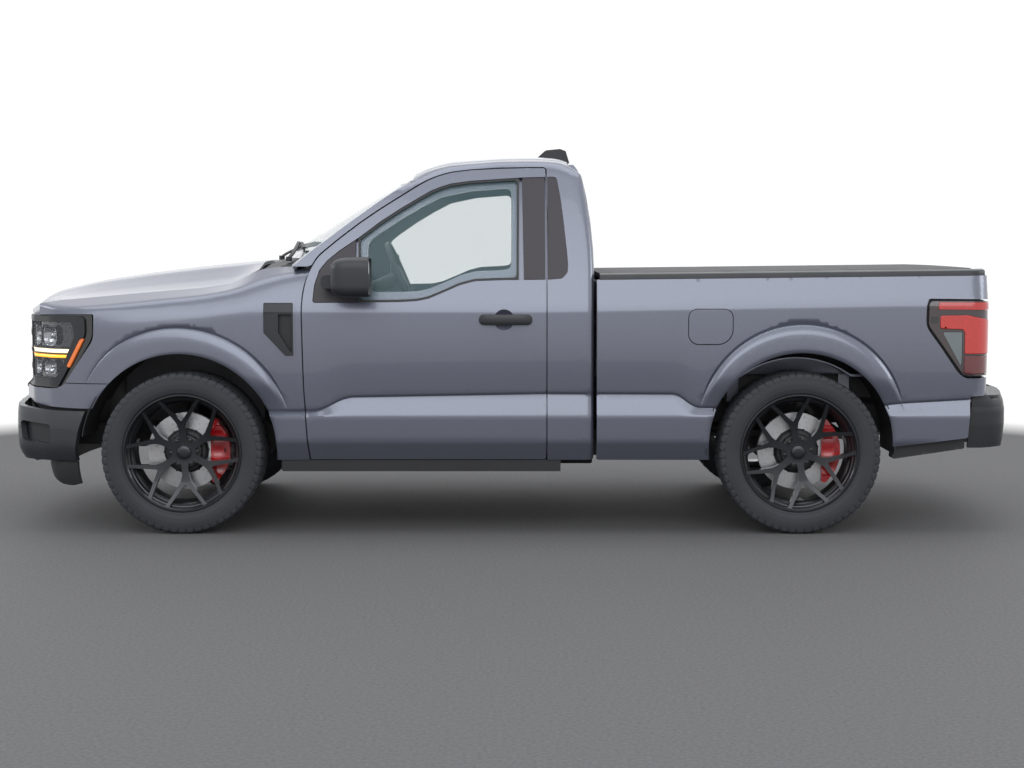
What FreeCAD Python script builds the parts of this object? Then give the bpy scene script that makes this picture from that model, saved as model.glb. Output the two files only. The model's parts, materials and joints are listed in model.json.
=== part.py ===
import FreeCAD, Part
import math
import os

from FreeCAD import Vector as V

# Two-door pickup truck with a short load bed and a bed cover, lowered on large wheels.
# Millimetres. +X is the front of the truck, +Y its left side, +Z up; z = 0 is the road.
# Stations are distances behind the front axle; heights are above the road.

# Running gear
wheelbase = 3119.0
track = 1700.0
tyre_radius = 408.0
tyre_width = 285.0
tyre_wall = 13.0
rim_flange_radius = 300.0
rim_seat_radius = 282.0
rim_width = 244.0
rim_wall = 10.0
spoke_count = 6
fork_radius = 132.0
fork_angle = 21.5
hub_radius = 84.0
disc_radius = 196.0
disc_thickness = 32.0
hat_radius = 110.0
kingpin_y = 780.0
rail_inner = 380.0
rail_width = 80.0

# Body
nose_station = -960.0
rear_overhang = 1171.0
body_half_width = 990.0
outside_y = body_half_width + 110.0
body_bottom = 373.0
skin = 12.0
shut_gap = 6.0
door_gap = 7.0
hood_half_width = 800.0
hood_thickness = 22.0
door_front = 613.0
door_rear = 1838.0
cab_rear = 2079.0
bed_gap = 14.0
bed_wall = 40.0
bed_inner_y = 825.0
bed_floor_z = 800.0
bed_floor_thickness = 14.0
bed_tail = 953.0
front_arch_radius = 489.0
front_arch_z = 424.0
rear_arch_radius = 464.0
rear_arch_z = 454.0
flare_width = 1014.0
liner_clearance = 6.0
liner_wall = 10.0
glass_thickness = 5.0
cover_thickness = 22.0
running_gap = 0.5
seat_gap = 0.3
seal_depth = 45.3

rear_end_station = wheelbase + rear_overhang
front_axle_x = 0.5 * (rear_end_station + nose_station)
wheel_y = 0.5 * track
axle_z = tyre_radius
bed_front = cab_rear + bed_gap
bed_rear = wheelbase + bed_tail


os.makedirs("parts", exist_ok=True)


def at(station):
    return front_axle_x - station


def rounded(points):
    """Closed list of edges through 2-D corners (a, b, radius), as straight runs and tangent arcs."""
    count = len(points)
    runs = []
    for index in range(count):
        before = points[index - 1]
        here = points[index]
        after = points[(index + 1) % count]
        radius = here[2] if len(here) > 2 else 0.0
        ux, uy = before[0] - here[0], before[1] - here[1]
        vx, vy = after[0] - here[0], after[1] - here[1]
        lu, lv = math.hypot(ux, uy), math.hypot(vx, vy)
        ux, uy, vx, vy = ux / lu, uy / lu, vx / lv, vy / lv
        cosine = max(-1.0, min(1.0, ux * vx + uy * vy))
        half = 0.5 * math.acos(cosine)
        if radius <= 0.0 or half > 0.5 * math.pi - 1e-4:
            runs.append(((here[0], here[1]), None, (here[0], here[1])))
            continue
        cut = min(radius / math.tan(half), 0.49 * lu, 0.49 * lv)
        radius = cut * math.tan(half)
        start = (here[0] + ux * cut, here[1] + uy * cut)
        end = (here[0] + vx * cut, here[1] + vy * cut)
        bx, by = ux + vx, uy + vy
        length = math.hypot(bx, by)
        reach = radius / math.sin(half) - radius
        middle = (here[0] + bx / length * reach, here[1] + by / length * reach)
        runs.append((start, middle, end))
    return runs


def closed_face(points, place):
    runs = rounded(points)
    edges = []
    for index in range(len(runs)):
        start, middle, end = runs[index]
        if middle is not None:
            edges.append(Part.Arc(place(start), place(middle), place(end)).toShape())
        follow = runs[(index + 1) % len(runs)][0]
        if math.hypot(follow[0] - end[0], follow[1] - end[1]) > 1e-6:
            edges.append(Part.LineSegment(place(end), place(follow)).toShape())
    return Part.Face(Part.Wire(edges))


def plate_y(points, y0, y1, grow=0.0):
    """Side-view outline (station, z, radius), carried across from y0 to y1."""
    face = closed_face(points, lambda p: V(at(p[0]), y0, p[1]))
    if grow != 0.0:
        face = face.makeOffset2D(grow)
    return face.extrude(V(0, y1 - y0, 0))


def plate_x(points, st0, st1):
    """Front-view outline (y, z, radius), carried along from station st0 to st1."""
    face = closed_face(points, lambda p: V(at(st0), p[0], p[1]))
    return face.extrude(V(st0 - st1, 0, 0))


def plate_z(points, z0, z1, grow=0.0):
    """Plan outline (station, y, radius), carried up from z0 to z1."""
    face = closed_face(points, lambda p: V(at(p[0]), p[1], z0))
    if grow != 0.0:
        face = face.makeOffset2D(grow)
    return face.extrude(V(0, 0, z1 - z0))


def block(st0, st1, y0, y1, z0, z1):
    return Part.makeBox(st1 - st0, y1 - y0, z1 - z0, V(at(st1), y0, z0))


def rod_y(st, z, radius, y0, y1):
    return Part.makeCylinder(radius, y1 - y0, V(at(st), y0, z), V(0, 1, 0))


def rod_x(y, z, radius, st0, st1):
    return Part.makeCylinder(radius, st1 - st0, V(at(st1), y, z), V(1, 0, 0))


def rod_z(st, y, radius, z0, z1):
    return Part.makeCylinder(radius, z1 - z0, V(at(st), y, z0), V(0, 0, 1))


def turned(points, st, z):
    """Profile (radius, y, corner radius) turned about the cross axis at a station and height."""
    face = closed_face(points, lambda p: V(at(st), p[1], z + p[0]))
    return face.revolve(V(at(st), 0, z), V(0, 1, 0), 360)


def tube(points, radius, bend):
    """Round bar along points (station, y, z), with tangent arcs of one bend radius."""
    corners = [V(at(p[0]), p[1], p[2]) for p in points]
    edges = []
    last = corners[0]
    for index in range(1, len(corners) - 1):
        here = corners[index]
        u = (corners[index - 1] - here).normalize()
        v = (corners[index + 1] - here).normalize()
        half = 0.5 * u.getAngle(v)
        cut = bend / math.tan(half)
        start = here + u * cut
        end = here + v * cut
        middle = here + (u + v).normalize() * (bend / math.sin(half) - bend)
        edges.append(Part.LineSegment(last, start).toShape())
        edges.append(Part.Arc(start, middle, end).toShape())
        last = end
    edges.append(Part.LineSegment(last, corners[-1]).toShape())
    path = Part.Wire(edges)
    direction = (corners[1] - corners[0]).normalize()
    ring = Part.Wire(Part.makeCircle(radius, corners[0], direction))
    return path.makePipeShell([ring], True, True)


def mirrored(shape):
    return shape.mirror(V(0, 0, 0), V(0, 1, 0))


def both(shape):
    return [shape, mirrored(shape)]


def joined(shapes):
    first = shapes[0]
    return first.fuse(shapes[1:]).removeSplitter()


def save(name, shapes):
    solids = []
    for shape in shapes:
        solids.extend(shape.Solids)
    result = solids[0] if len(solids) == 1 else Part.makeCompound(solids)
    for solid in solids:
        if not solid.isValid():
            print("not valid:", name)
    result.exportStep("parts/" + name + ".step")
    return result


# Side section of the body: half width at each height.
side_section = [
    (body_bottom - 4.0, body_half_width - 48.0),
    (465.0, body_half_width - 5.0),
    (601.0, body_half_width),
    (695.0, body_half_width - 28.0),
    (706.0, body_half_width - 18.0),
    (1119.0, body_half_width - 5.0),
    (1160.0, body_half_width - 12.0),
    (1282.0, body_half_width - 45.0),
    (1870.0, body_half_width - 262.0),
    (1960.0, body_half_width - 295.0),
]


def side_at(z):
    for low, high in zip(side_section, side_section[1:]):
        if low[0] <= z <= high[0]:
            share = (z - low[0]) / (high[0] - low[0])
            return low[1] + share * (high[1] - low[1])
    return side_section[0][1]


def side_slab(depth0, depth1, z0, z1, st0, st1):
    """Slab that follows the side section between two depths below its surface."""
    heights = [z0] + [p[0] for p in side_section if z0 < p[0] < z1] + [z1]
    outer = [(side_at(z) - depth0, z) for z in heights]
    inner = [(side_at(z) - depth1, z) for z in reversed(heights)]
    return plate_x(outer + inner, st0, st1)


def side_core(depth, z0, z1, st0, st1):
    """Everything between the middle of the truck and a depth below its side, on the left."""
    heights = [z0] + [p[0] for p in side_section if z0 < p[0] < z1] + [z1]
    outer = [(side_at(z) - depth, z) for z in heights]
    return plate_x(outer + [(0.0, z1), (0.0, z0)], st0, st1)


# Nose of the truck in plan, from the middle to the side.
nose_plan = [
    (nose_station + 22.0, 0.0),
    (nose_station + 38.0, 280.0),
    (nose_station + 82.0, 560.0),
    (nose_station + 165.0, 760.0),
    (nose_station + 290.0, 885.0),
    (nose_station + 470.0, 955.0),
    (nose_station + 700.0, 985.0),
    (nose_station + 960.0, 1000.0),
]


def nose(inset, z0, z1, forward=0.0):
    """Solid whose front follows the nose in plan, drawn in by an inset, from z0 to z1."""
    left = []
    for index in range(len(nose_plan)):
        here = nose_plan[index]
        before = nose_plan[max(index - 1, 0)]
        after = nose_plan[min(index + 1, len(nose_plan) - 1)]
        ds, dy = after[0] - before[0], after[1] - before[1]
        if index == 0:
            ds, dy = 0.0, 1.0
        length = math.hypot(ds, dy)
        left.append((here[0] - forward + inset * dy / length, here[1] - inset * ds / length))
    points = [V(at(p[0]), -p[1], z0) for p in reversed(left[1:])] + [V(at(p[0]), p[1], z0) for p in left]
    curve = Part.BSplineCurve()
    curve.interpolate(points)
    back = 700.0
    first, last = points[0], points[-1]
    corner_a = V(at(back), first.y, z0)
    corner_b = V(at(back), last.y, z0)
    wire = Part.Wire([curve.toShape(), Part.LineSegment(last, corner_b).toShape(),
                      Part.LineSegment(corner_b, corner_a).toShape(), Part.LineSegment(corner_a, first).toShape()])
    return Part.Face(wire).extrude(V(0, 0, z1 - z0))


# Upper form of the front body: station, height at the middle, at the hood line, at the shoulder.
front_form = [
    (nose_station - 20.0, 1062.0, 1040.0, 1010.0),
    (nose_station + 60.0, 1142.0, 1100.0, 1056.0),
    (nose_station + 140.0, 1202.0, 1142.0, 1092.0),
    (nose_station + 270.0, 1243.0, 1172.0, 1120.0),
    (nose_station + 520.0, 1288.0, 1193.0, 1142.0),
    (nose_station + 760.0, 1324.0, 1214.0, 1166.0),
    (nose_station + 1060.0, 1358.0, 1236.0, 1196.0),
    (nose_station + 1325.0, 1386.0, 1262.0, 1236.0),
    (nose_station + 1600.0, 1404.0, 1296.0, 1270.0),
]


def front_body(drop):
    """Solid under the hood and fender surface, drawn in by a drop."""
    wires = []
    shoulder = body_half_width - 38.0 - drop
    flank = body_half_width - 5.0 - drop
    line = hood_half_width + 0.5 * shut_gap
    for station, middle, edge, corner in front_form:
        x = at(station)
        top = Part.BSplineCurve()
        top.interpolate([V(x, -line, edge - drop), V(x, -0.55 * line, middle - 0.26 * (middle - edge) - drop),
                         V(x, 0, middle - drop), V(x, 0.55 * line, middle - 0.26 * (middle - edge) - drop),
                         V(x, line, edge - drop)])
        side = []
        corners = [V(x, line, edge - drop), V(x, shoulder, corner - 0.4 * drop), V(x, flank, corner - 92.0)]
        for height, half in reversed(side_section[:5]):
            corners.append(V(x, half - drop, height))
        for a, b in zip(corners, corners[1:]):
            side.append(Part.LineSegment(a, b).toShape())
        base = Part.LineSegment(corners[-1], V(x, -corners[-1].y, corners[-1].z)).toShape()
        back = [V(p.x, -p.y, p.z) for p in reversed(corners)]
        other = []
        for a, b in zip(back, back[1:]):
            other.append(Part.LineSegment(a, b).toShape())
        wires.append(Part.Wire([top.toShape()] + side + [base] + other))
    return Part.makeLoft(wires, True, False)


def arch(st, z, radius, y0, y1):
    return rod_y(st, z, radius, y0, y1)


def flare(st, z, inner, outer, floor_z):
    """Ring round a wheel arch that swells out from the side and is cut at a height."""
    base = body_half_width - 30.0
    profile = [(inner, base), (inner, flare_width - 4.0), (inner + 14.0, flare_width),
               (inner + 40.0, flare_width - 6.0, 60.0), (outer, body_half_width - 4.0), (outer, base)]
    ring = turned(profile, st, z)
    return ring.common(block(st - 900.0, st + 900.0, 0.0, 1200.0, floor_z, 1400.0))


# Front body panels
outer_form = front_body(0.0)
inner_form = front_body(skin)
hood_under = front_body(hood_thickness)
nose_outer = nose(0.0, body_bottom, 1450.0)
nose_inner = nose(skin, body_bottom - 1.0, 1451.0)
hood_rear = 352.0

lamp_outline = [(-1000.0, 1096.0), (-470.0, 1111.0, 12.0), (-441.0, 1100.0, 12.0), (-443.0, 990.0, 120.0),
                (-600.0, 745.0, 40.0), (-640.0, 732.0, 20.0), (-1000.0, 732.0)]
front_wheel_hole = arch(0.0 - 10.0, front_arch_z, front_arch_radius, 400.0, outside_y)

front_shell = outer_form.common(nose_outer)
hood_core = hood_under.common(nose(hood_thickness, body_bottom - 1.0, 1451.0))
hood_zone = plate_z([(-1000.0, -hood_half_width), (hood_rear - 40.0, -hood_half_width, 60.0),
                     (hood_rear, -600.0, 200.0), (hood_rear, 600.0, 200.0),
                     (hood_rear - 40.0, hood_half_width, 60.0), (-1000.0, hood_half_width)],
                    1096.0, 1440.0)
hood = front_shell.cut(hood_core).common(hood_zone)
save("hood", [hood])

fender_zone = plate_z([(-1000.0, hood_half_width + shut_gap), (door_front - door_gap, hood_half_width + shut_gap),
                       (door_front - door_gap, 1100.0), (-1000.0, 1100.0)], body_bottom, 1450.0)
front_core = inner_form.common(nose_inner)
fender = front_shell.cut(front_core).common(fender_zone)
fender = fender.cut(plate_y(lamp_outline, 500.0, outside_y, 2.0))
upper_floor = plate_y([(-1000.0, 300.0), (-1000.0, 762.0), (-400.0, 762.0), (-400.0, 300.0)], 500.0, outside_y)
fender = fender.cut(upper_floor)
front_flare = flare(-14.0, 471.0, front_arch_radius - 40.0, 570.0, 640.0)
fender = fender.fuse(front_flare).cut(front_wheel_hole)
fender = fender.cut(block(-400.0, 480.0, 700.0, outside_y, 300.0, 420.0))
save("fender_left", [max(fender.Solids, key=lambda s: s.Volume)])
save("fender_right", [mirrored(max(fender.Solids, key=lambda s: s.Volume))])

cowl_zone = plate_z([(hood_rear + shut_gap, -hood_half_width + 6.0), (560.0, -hood_half_width + 6.0),
                     (560.0, -700.0), (462.0, -320.0, 300.0), (462.0, 320.0, 300.0), (560.0, 700.0),
                     (560.0, hood_half_width - 6.0), (hood_rear + shut_gap, hood_half_width - 6.0)],
                    1150.0, 1450.0)
cowl = outer_form.cut(inner_form).common(cowl_zone)
save("cowl", [cowl])

# Lamps, grille and bumper
lamp_zone = plate_y(lamp_outline, 566.0, outside_y)
lamp_depth = 70.0
lamp = nose(1.0, 700.0, 1150.0).cut(nose(lamp_depth, 699.0, 1151.0)).common(lamp_zone)
lamp = lamp.common(outer_form).cut(fender).cut(block(-1000.0, 400.0, 0.0, hood_half_width + shut_gap, 1090.0, 1200.0))
lamp = max(lamp.Solids, key=lambda s: s.Volume)
save("headlamps", both(lamp))

grille_outer = nose(4.0, 700.0, 1090.0).cut(nose(46.0, 699.0, 1091.0))
grille_frame = grille_outer.common(block(-1000.0, -600.0, -562.0, 562.0, 708.0, 1088.0))
window = plate_x([(-530.0, 748.0, 20.0), (530.0, 748.0, 20.0), (530.0, 1052.0, 20.0), (-530.0, 1052.0, 20.0)],
                 -1000.0, -600.0)
bars = []
for row in range(5):
    z = 790.0 + row * 55.0
    bars.append(grille_outer.common(block(-1000.0, -600.0, -535.0, 535.0, z - 11.0, z + 11.0)))
for column in range(-4, 5):
    y = column * 112.0
    bars.append(grille_outer.common(block(-1000.0, -600.0, y - 8.0, y + 8.0, 740.0, 1060.0)))
grille = joined([grille_frame.cut(window)] + bars)
save("grille", [grille])

bumper_points = [(-1000.0, 658.0), (-680.0, 607.0, 60.0), (-476.0, 600.0, 10.0), (-514.0, 520.0, 30.0),
                 (-531.0, 418.0, 20.0), (-537.0, 362.0, 10.0), (-1000.0, 362.0)]
bumper = nose(-8.0, 362.0, 700.0, 20.0).cut(nose(30.0, 361.0, 701.0, 20.0))
bumper = bumper.common(plate_y(bumper_points, -outside_y, outside_y))
recess = plate_y([(-1100.0, 475.0), (-660.0, 444.0, 20.0), (-655.0, 551.0, 20.0), (-1100.0, 575.0)], -outside_y, outside_y)
recess = recess.cut(nose(14.0, 400.0, 600.0, 20.0))
bumper = bumper.cut(recess)
lip = nose(20.0, 362.0, 372.0, 20.0).cut(nose(110.0, 361.0, 373.0, 20.0))
bumper = bumper.fuse(lip.common(block(-1000.0, -545.0, -outside_y, outside_y, 300.0, 400.0)))
cover_points = [(-1000.0, 658.3), (-680.0, 607.3, 60.0), (-470.0, 600.6), (-470.0, 640.0, 30.0),
                (-598.0, 758.0), (-601.0, 731.7), (-1000.0, 731.7)]
cover = nose(0.0, 600.0, 762.0).cut(nose(16.0, 599.0, 763.0)).common(plate_y(cover_points, -outside_y, outside_y))
cover = cover.cut(block(-1000.0, -600.0, -562.3, 562.3, 707.7, 765.0)).cut(fender).cut(mirrored(fender)).cut(lamp).cut(mirrored(lamp))
save("front_bumper", [bumper, max(cover.Solids, key=lambda s: s.Volume)])

dam = nose(60.0, 240.0, 361.7, 20.0).cut(nose(76.0, 239.0, 362.0, 20.0))
dam = dam.common(plate_y([(-1000.0, 361.7), (-1000.0, 300.0), (-639.0, 240.0, 20.0), (-556.0, 245.0, 15.0),
                          (-546.0, 361.7)], -outside_y, outside_y))
save("air_dam", [dam])

# Cab
door_outline = [(651.0, 380.0, 20.0), (616.0, 800.0, 900.0), (door_front, 1180.0, 400.0), (672.0, 1378.0, 220.0),
                (980.0, 1625.0, 1500.0), (1190.0, 1766.0, 500.0), (1330.0, 1826.0, 300.0),
                (door_rear - 3.0, 1849.0, 20.0), (door_rear, 380.0, 20.0)]
window_outline = [(660.0, 1167.0, 12.0), (678.0, 1290.0, 120.0), (745.0, 1388.0, 120.0), (1205.0, 1706.0, 300.0),
                  (1385.0, 1782.0, 300.0), (1830.0, 1804.0, 10.0), (1831.0, 1284.0, 10.0),
                  (1500.0, 1280.0, 300.0), (1400.0, 1256.0, 120.0), (1230.0, 1176.0, 160.0)]
cab_outline = [(545.0, 1336.0, 10.0), (1172.0, 1806.0, 400.0), (1340.0, 1868.0, 300.0), (1700.0, 1884.0, 900.0),
               (1960.0, 1872.0, 60.0), (2026.0, 1777.0, 120.0), (2080.0, 1431.0, 400.0), (cab_rear, 1290.0),
               (cab_rear, body_bottom, 10.0), (655.0, body_bottom), (600.0, 700.0), (door_front - 2.0, 1300.0, 10.0)]
cab_outer = side_slab(0.0, seal_depth, body_bottom, 1900.0, 500.0, 2100.0)
cab_outer = cab_outer.common(plate_y(cab_outline, 400.0, outside_y))
cab_outer = cab_outer.cut(plate_y(door_outline, 400.0, outside_y, door_gap))
cab_inner = side_slab(seal_depth, 120.0, 430.0, 1850.0, 500.0, 2100.0)
cab_inner = cab_inner.common(plate_y(cab_outline, 400.0, outside_y, -14.0))
cab_inner = cab_inner.cut(plate_y(door_outline, 400.0, outside_y, -36.0))
hinge_post = front_body(skin + seat_gap).common(block(500.0, 600.0, hood_half_width + 7.0, outside_y, 500.0, 1238.0))
cab_side = cab_outer.fuse(cab_inner).cut(fender_zone.common(outer_form))
cab_side = cab_side.fuse(hinge_post).cut(plate_y(door_outline, 400.0, outside_y, -36.0))
cab_side = cab_side.cut(plate_y(door_outline, 400.0, outside_y, door_gap).common(side_core(0.0, 300.0, 1900.0, 500.0, 2000.0)
                                                                     .cut(side_core(seal_depth, 300.0, 1900.0, 500.0, 2000.0))))
cab_side = max(cab_side.Solids, key=lambda s: s.Volume)
save("cab_side_left", [cab_side])
save("cab_side_right", [mirrored(cab_side)])

door_skin = side_slab(0.0, 12.0, body_bottom, 1900.0, 500.0, 2000.0).common(plate_y(door_outline, 400.0, outside_y))
door_middle = side_slab(12.0, 45.0, body_bottom, 1900.0, 500.0, 2000.0)
door_middle = door_middle.common(plate_y(door_outline, 400.0, outside_y, -14.0))
door_core = side_slab(45.0, 110.0, body_bottom, 1900.0, 500.0, 2000.0)
door_core = door_core.common(plate_y(door_outline, 400.0, outside_y, -50.0))
door_core = door_core.cut(plate_y(window_outline, 400.0, outside_y, 6.0))
door = door_skin.fuse([door_middle, door_core])
door = door.cut(plate_y(window_outline, 400.0, outside_y))
save("door_left", [door])
save("door_right", [mirrored(door)])

pane_zone = [(890.0, 1100.0), (890.0, 1900.0), (1700.0, 1900.0), (1700.0, 1100.0)]
pane = side_slab(14.0, 14.0 + glass_thickness, body_bottom, 1900.0, 500.0, 2000.0)
pane = pane.common(plate_y(window_outline, 400.0, outside_y)).common(plate_y(pane_zone, 400.0, outside_y))
save("door_glass_left", [pane])
save("door_glass_right", [mirrored(pane)])

trim = side_slab(2.0, 20.0, body_bottom, 1900.0, 500.0, 2000.0).common(plate_y(window_outline, 400.0, outside_y))
trim = trim.cut(plate_y(pane_zone, 400.0, outside_y))
mirror_head = plate_y([(711.0, 1245.0, 25.0), (730.0, 1309.5, 30.0), (776.0, 1318.0, 10.0), (776.0, 1375.0, 40.0),
                       (850.0, 1399.0, 120.0), (955.0, 1392.0, 35.0), (966.0, 1290.0, 60.0), (945.0, 1199.0, 30.0),
                       (850.0, 1197.0, 60.0), (790.0, 1232.0, 30.0)], body_half_width + 40.0, body_half_width + 235.0)
mirror_arm = plate_y([(770.0, 1248.0, 12.0), (770.0, 1300.0, 12.0), (880.0, 1300.0, 12.0), (880.0, 1248.0, 12.0)],
                     body_half_width - 60.0, body_half_width + 41.0)
mirror_arm = mirror_arm.cut(side_core(2.0, 1000.0, 1400.0, 500.0, 1000.0))
mirror = mirror_head.fuse(mirror_arm)
handle = plate_y([(1496.0, 1054.0, 14.0), (1496.0, 1100.0, 14.0), (1571.0, 1106.0, 30.0), (1600.0, 1132.0, 12.0),
                  (1655.0, 1132.0, 12.0), (1684.0, 1106.0, 30.0), (1771.0, 1110.0, 14.0), (1771.0, 1058.0, 14.0)],
                 body_half_width - 10.0, body_half_width + 28.0)
handle = handle.cut(side_core(0.0, 1000.0, 1200.0, 1400.0, 1900.0))
save("door_trim_left", [trim, mirror, handle])
save("door_trim_right", [mirrored(trim), mirrored(mirror), mirrored(handle)])

# Roof, rear wall and fixed glass
roof_form = [
    (1168.0, 690.0, 1806.0, 1846.0),
    (1230.0, 712.0, 1828.0, 1878.0),
    (1340.0, 722.0, 1858.0, 1906.0),
    (1600.0, 722.0, 1878.0, 1925.0),
    (1800.0, 722.0, 1880.0, 1929.0),
    (1925.0, 716.0, 1872.0, 1921.0),
    (1990.0, 700.0, 1842.0, 1880.0),
]


def roof_solid(drop):
    wires = []
    for station, half, edge, middle in roof_form:
        x = at(station)
        top = Part.BSplineCurve()
        top.interpolate([V(x, -half, edge - drop), V(x, -0.6 * half, middle - 0.3 * (middle - edge) - drop),
                         V(x, 0, middle - drop), V(x, 0.6 * half, middle - 0.3 * (middle - edge) - drop),
                         V(x, half, edge - drop)])
        low = edge - 30.0 - drop
        wires.append(Part.Wire([top.toShape(), Part.LineSegment(V(x, half, edge - drop), V(x, half, low)).toShape(),
                                Part.LineSegment(V(x, half, low), V(x, -half, low)).toShape(),
                                Part.LineSegment(V(x, -half, low), V(x, -half, edge - drop)).toShape()]))
    return Part.makeLoft(wires, True, False)


roof = roof_solid(0.0).cut(roof_solid(26.0))
side_keep = side_core(51.0, 1500.0, 1950.0, 1100.0, 2050.0)
side_keep = side_keep.fuse(mirrored(side_keep))
roof_edge = roof.cut(cab_side).cut(mirrored(cab_side))
roof = max(roof_edge.Solids, key=lambda s: s.Volume)
save("cab_roof", [roof])

back_strip = [(1950.0, 1845.0), (1985.0, 1838.0), (2024.0, 1777.0, 120.0), (2074.0, 1431.0, 400.0), (2074.0, 520.0),
              (2046.0, 520.0), (2046.0, 1400.0, 300.0), (1996.0, 1760.0, 60.0)]
back_half = body_half_width - 330.0
back = plate_y(back_strip, -back_half, back_half)
back_hole = plate_x([(-590.0, 1368.0, 40.0), (590.0, 1368.0, 40.0), (540.0, 1765.0, 40.0), (-540.0, 1765.0, 40.0)],
                    1900.0, 2100.0)
back = back.cut(back_hole).cut(roof).cut(cab_side).cut(mirrored(cab_side))
back = max(back.Solids, key=lambda s: s.Volume)
save("cab_back", [back])

rear_pane = plate_y([(2001.0, 1765.0), (2052.0, 1368.0), (2058.0, 1368.0), (2007.0, 1765.0)], -590.0, 590.0)
rear_pane = rear_pane.common(back_hole)


def bow(st_mid, st_edge, half, z, shift):
    a = V(at(st_edge + shift), -half, z)
    m = V(at(st_mid + shift), 0, z)
    b = V(at(st_edge + shift), half, z)
    return Part.Arc(a, m, b).toShape()


def screen_wire(st_mid, st_edge, half, z):
    front = bow(st_mid, st_edge, half, z, 0.0)
    rear = bow(st_mid, st_edge, half, z, 7.0)
    a = Part.LineSegment(front.Vertexes[-1].Point, rear.Vertexes[-1].Point).toShape()
    b = Part.LineSegment(front.Vertexes[0].Point, rear.Vertexes[0].Point).toShape()
    return Part.Wire(Part.__sortEdges__([front, a, rear, b]))


screen = Part.makeLoft([screen_wire(440.0, 592.0, 765.0, 1392.0), screen_wire(770.0, 920.0, 705.0, 1622.0),
                        screen_wire(1120.0, 1185.0, 640.0, 1822.0)], True, False)
screen = screen.cut(roof_solid(0.0)).cut(cab_side).cut(mirrored(cab_side)).cut(cowl)
screen = max(screen.Solids, key=lambda s: s.Volume)
save("cab_glass", [screen, rear_pane])

floor = block(500.0, 2045.0, -800.0, 800.0, 500.0, 520.0)
firewall = front_body(skin + seat_gap).common(block(484.0, 500.0, -824.0, 824.0, 500.0, 1240.0))
floor = floor.fuse(firewall)
save("cab_floor", [floor])

seat_base = plate_y([(1330.0, 640.0, 40.0), (1340.0, 800.0, 60.0), (1800.0, 770.0, 40.0), (1840.0, 640.0, 40.0)],
                    -690.0, 690.0)
seat_back = plate_y([(1770.0, 700.0, 40.0), (1890.0, 700.0, 30.0), (1975.0, 1360.0, 50.0), (1875.0, 1380.0, 50.0)],
                    -690.0, 690.0)
seat_box = block(1380.0, 1800.0, -640.0, 640.0, 520.0, 640.0)
seat_back = seat_back.cut(seat_base)
save("seats", [seat_base, seat_back, seat_box])

dash = plate_y([(500.0, 1000.0, 30.0), (500.0, 1240.0, 30.0), (700.0, 1250.0, 60.0), (880.0, 1190.0, 60.0),
                (860.0, 1010.0, 60.0), (760.0, 900.0, 40.0)], -780.0, 780.0)
wheel_centre = (1080.0, 420.0, 1290.0)
wheel_tilt = math.radians(23.0)
column_axis = V(math.cos(wheel_tilt), 0, -math.sin(wheel_tilt))
centre = V(at(wheel_centre[0]), wheel_centre[1], wheel_centre[2])
rim_ring = Part.makeTorus(185.0, 15.0, centre, column_axis)
hub_disc = Part.makeCylinder(62.0, 34.0, centre - column_axis * 6.0, column_axis)
spokes = []
for angle in (0.0, 120.0, 240.0):
    bar = Part.makeBox(24.0, 150.0, 12.0, V(-12.0, 40.0, 4.0))
    bar.rotate(V(0, 0, 0), V(0, 0, 1), angle)
    turn = FreeCAD.Rotation(V(0, 0, 1), column_axis)
    bar.Placement = FreeCAD.Placement(centre, turn).multiply(bar.Placement)
    spokes.append(bar)
steering_wheel = joined([rim_ring, hub_disc] + spokes)
save("steering_wheel", [steering_wheel])
column = Part.makeCylinder(38.0, 230.0, centre + column_axis * (28.0 + running_gap), column_axis).cut(dash)
column = max(column.Solids, key=lambda s: s.Volume)
save("dashboard", [dash, column])

# Load bed
rail_front_z = 1284.0
rail_rear_z = 1306.0
rail_top = [(bed_front, rail_front_z), (bed_rear + 20.0, rail_rear_z)]
bed_outline = [(bed_front, body_bottom, 10.0), (bed_front, rail_top[0][1], 6.0), (bed_rear + 20.0, rail_top[1][1]),
               (bed_rear + 20.0, 441.0), (wheelbase + 470.0, body_bottom)]
rear_round = plate_z([(bed_front - 10.0, -body_half_width + 2.0), (bed_rear, -body_half_width + 2.0, 95.0),
                      (bed_rear, body_half_width - 2.0, 95.0), (bed_front - 10.0, body_half_width - 2.0)], 300.0, 1400.0)
bed_skin = side_slab(0.0, bed_wall, body_bottom, 1330.0, bed_front, bed_rear + 30.0)
bed_skin = bed_skin.common(plate_y(bed_outline, 700.0, outside_y)).common(rear_round)
bed_inner = block(bed_front, bed_rear - 70.0, bed_inner_y, bed_inner_y + 20.0, bed_floor_z, 1262.0)
bed_top = plate_y([(bed_front, rail_front_z - 34.0), (bed_front, rail_front_z), (bed_rear - 70.0, rail_rear_z),
                  (bed_rear - 70.0, rail_rear_z - 34.0)],
                  bed_inner_y, body_half_width - 60.0)
bed_side = bed_skin.fuse([bed_inner, bed_top])
rear_hole = arch(wheelbase + 4.0, rear_arch_z, rear_arch_radius, 700.0, outside_y)
rear_flare = flare(wheelbase + 7.0, 541.0, rear_arch_radius - 90.0, 520.0, 640.0)
bed_side = bed_side.fuse(rear_flare).cut(rear_hole)
lamp_cut = [(bed_rear - 285.0, 1174.0), (bed_rear + 40.0, 1186.0), (bed_rear + 40.0, 815.0), (bed_rear - 118.0, 815.0),
            (bed_rear - 160.0, 864.0), (bed_rear - 285.0, 1064.0)]
bed_side = bed_side.cut(plate_y(lamp_cut, 786.0, outside_y, seat_gap))
bed_side = max(bed_side.Solids, key=lambda s: s.Volume)
save("bed_side_left", [bed_side])
save("bed_side_right", [mirrored(bed_side)])

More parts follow.
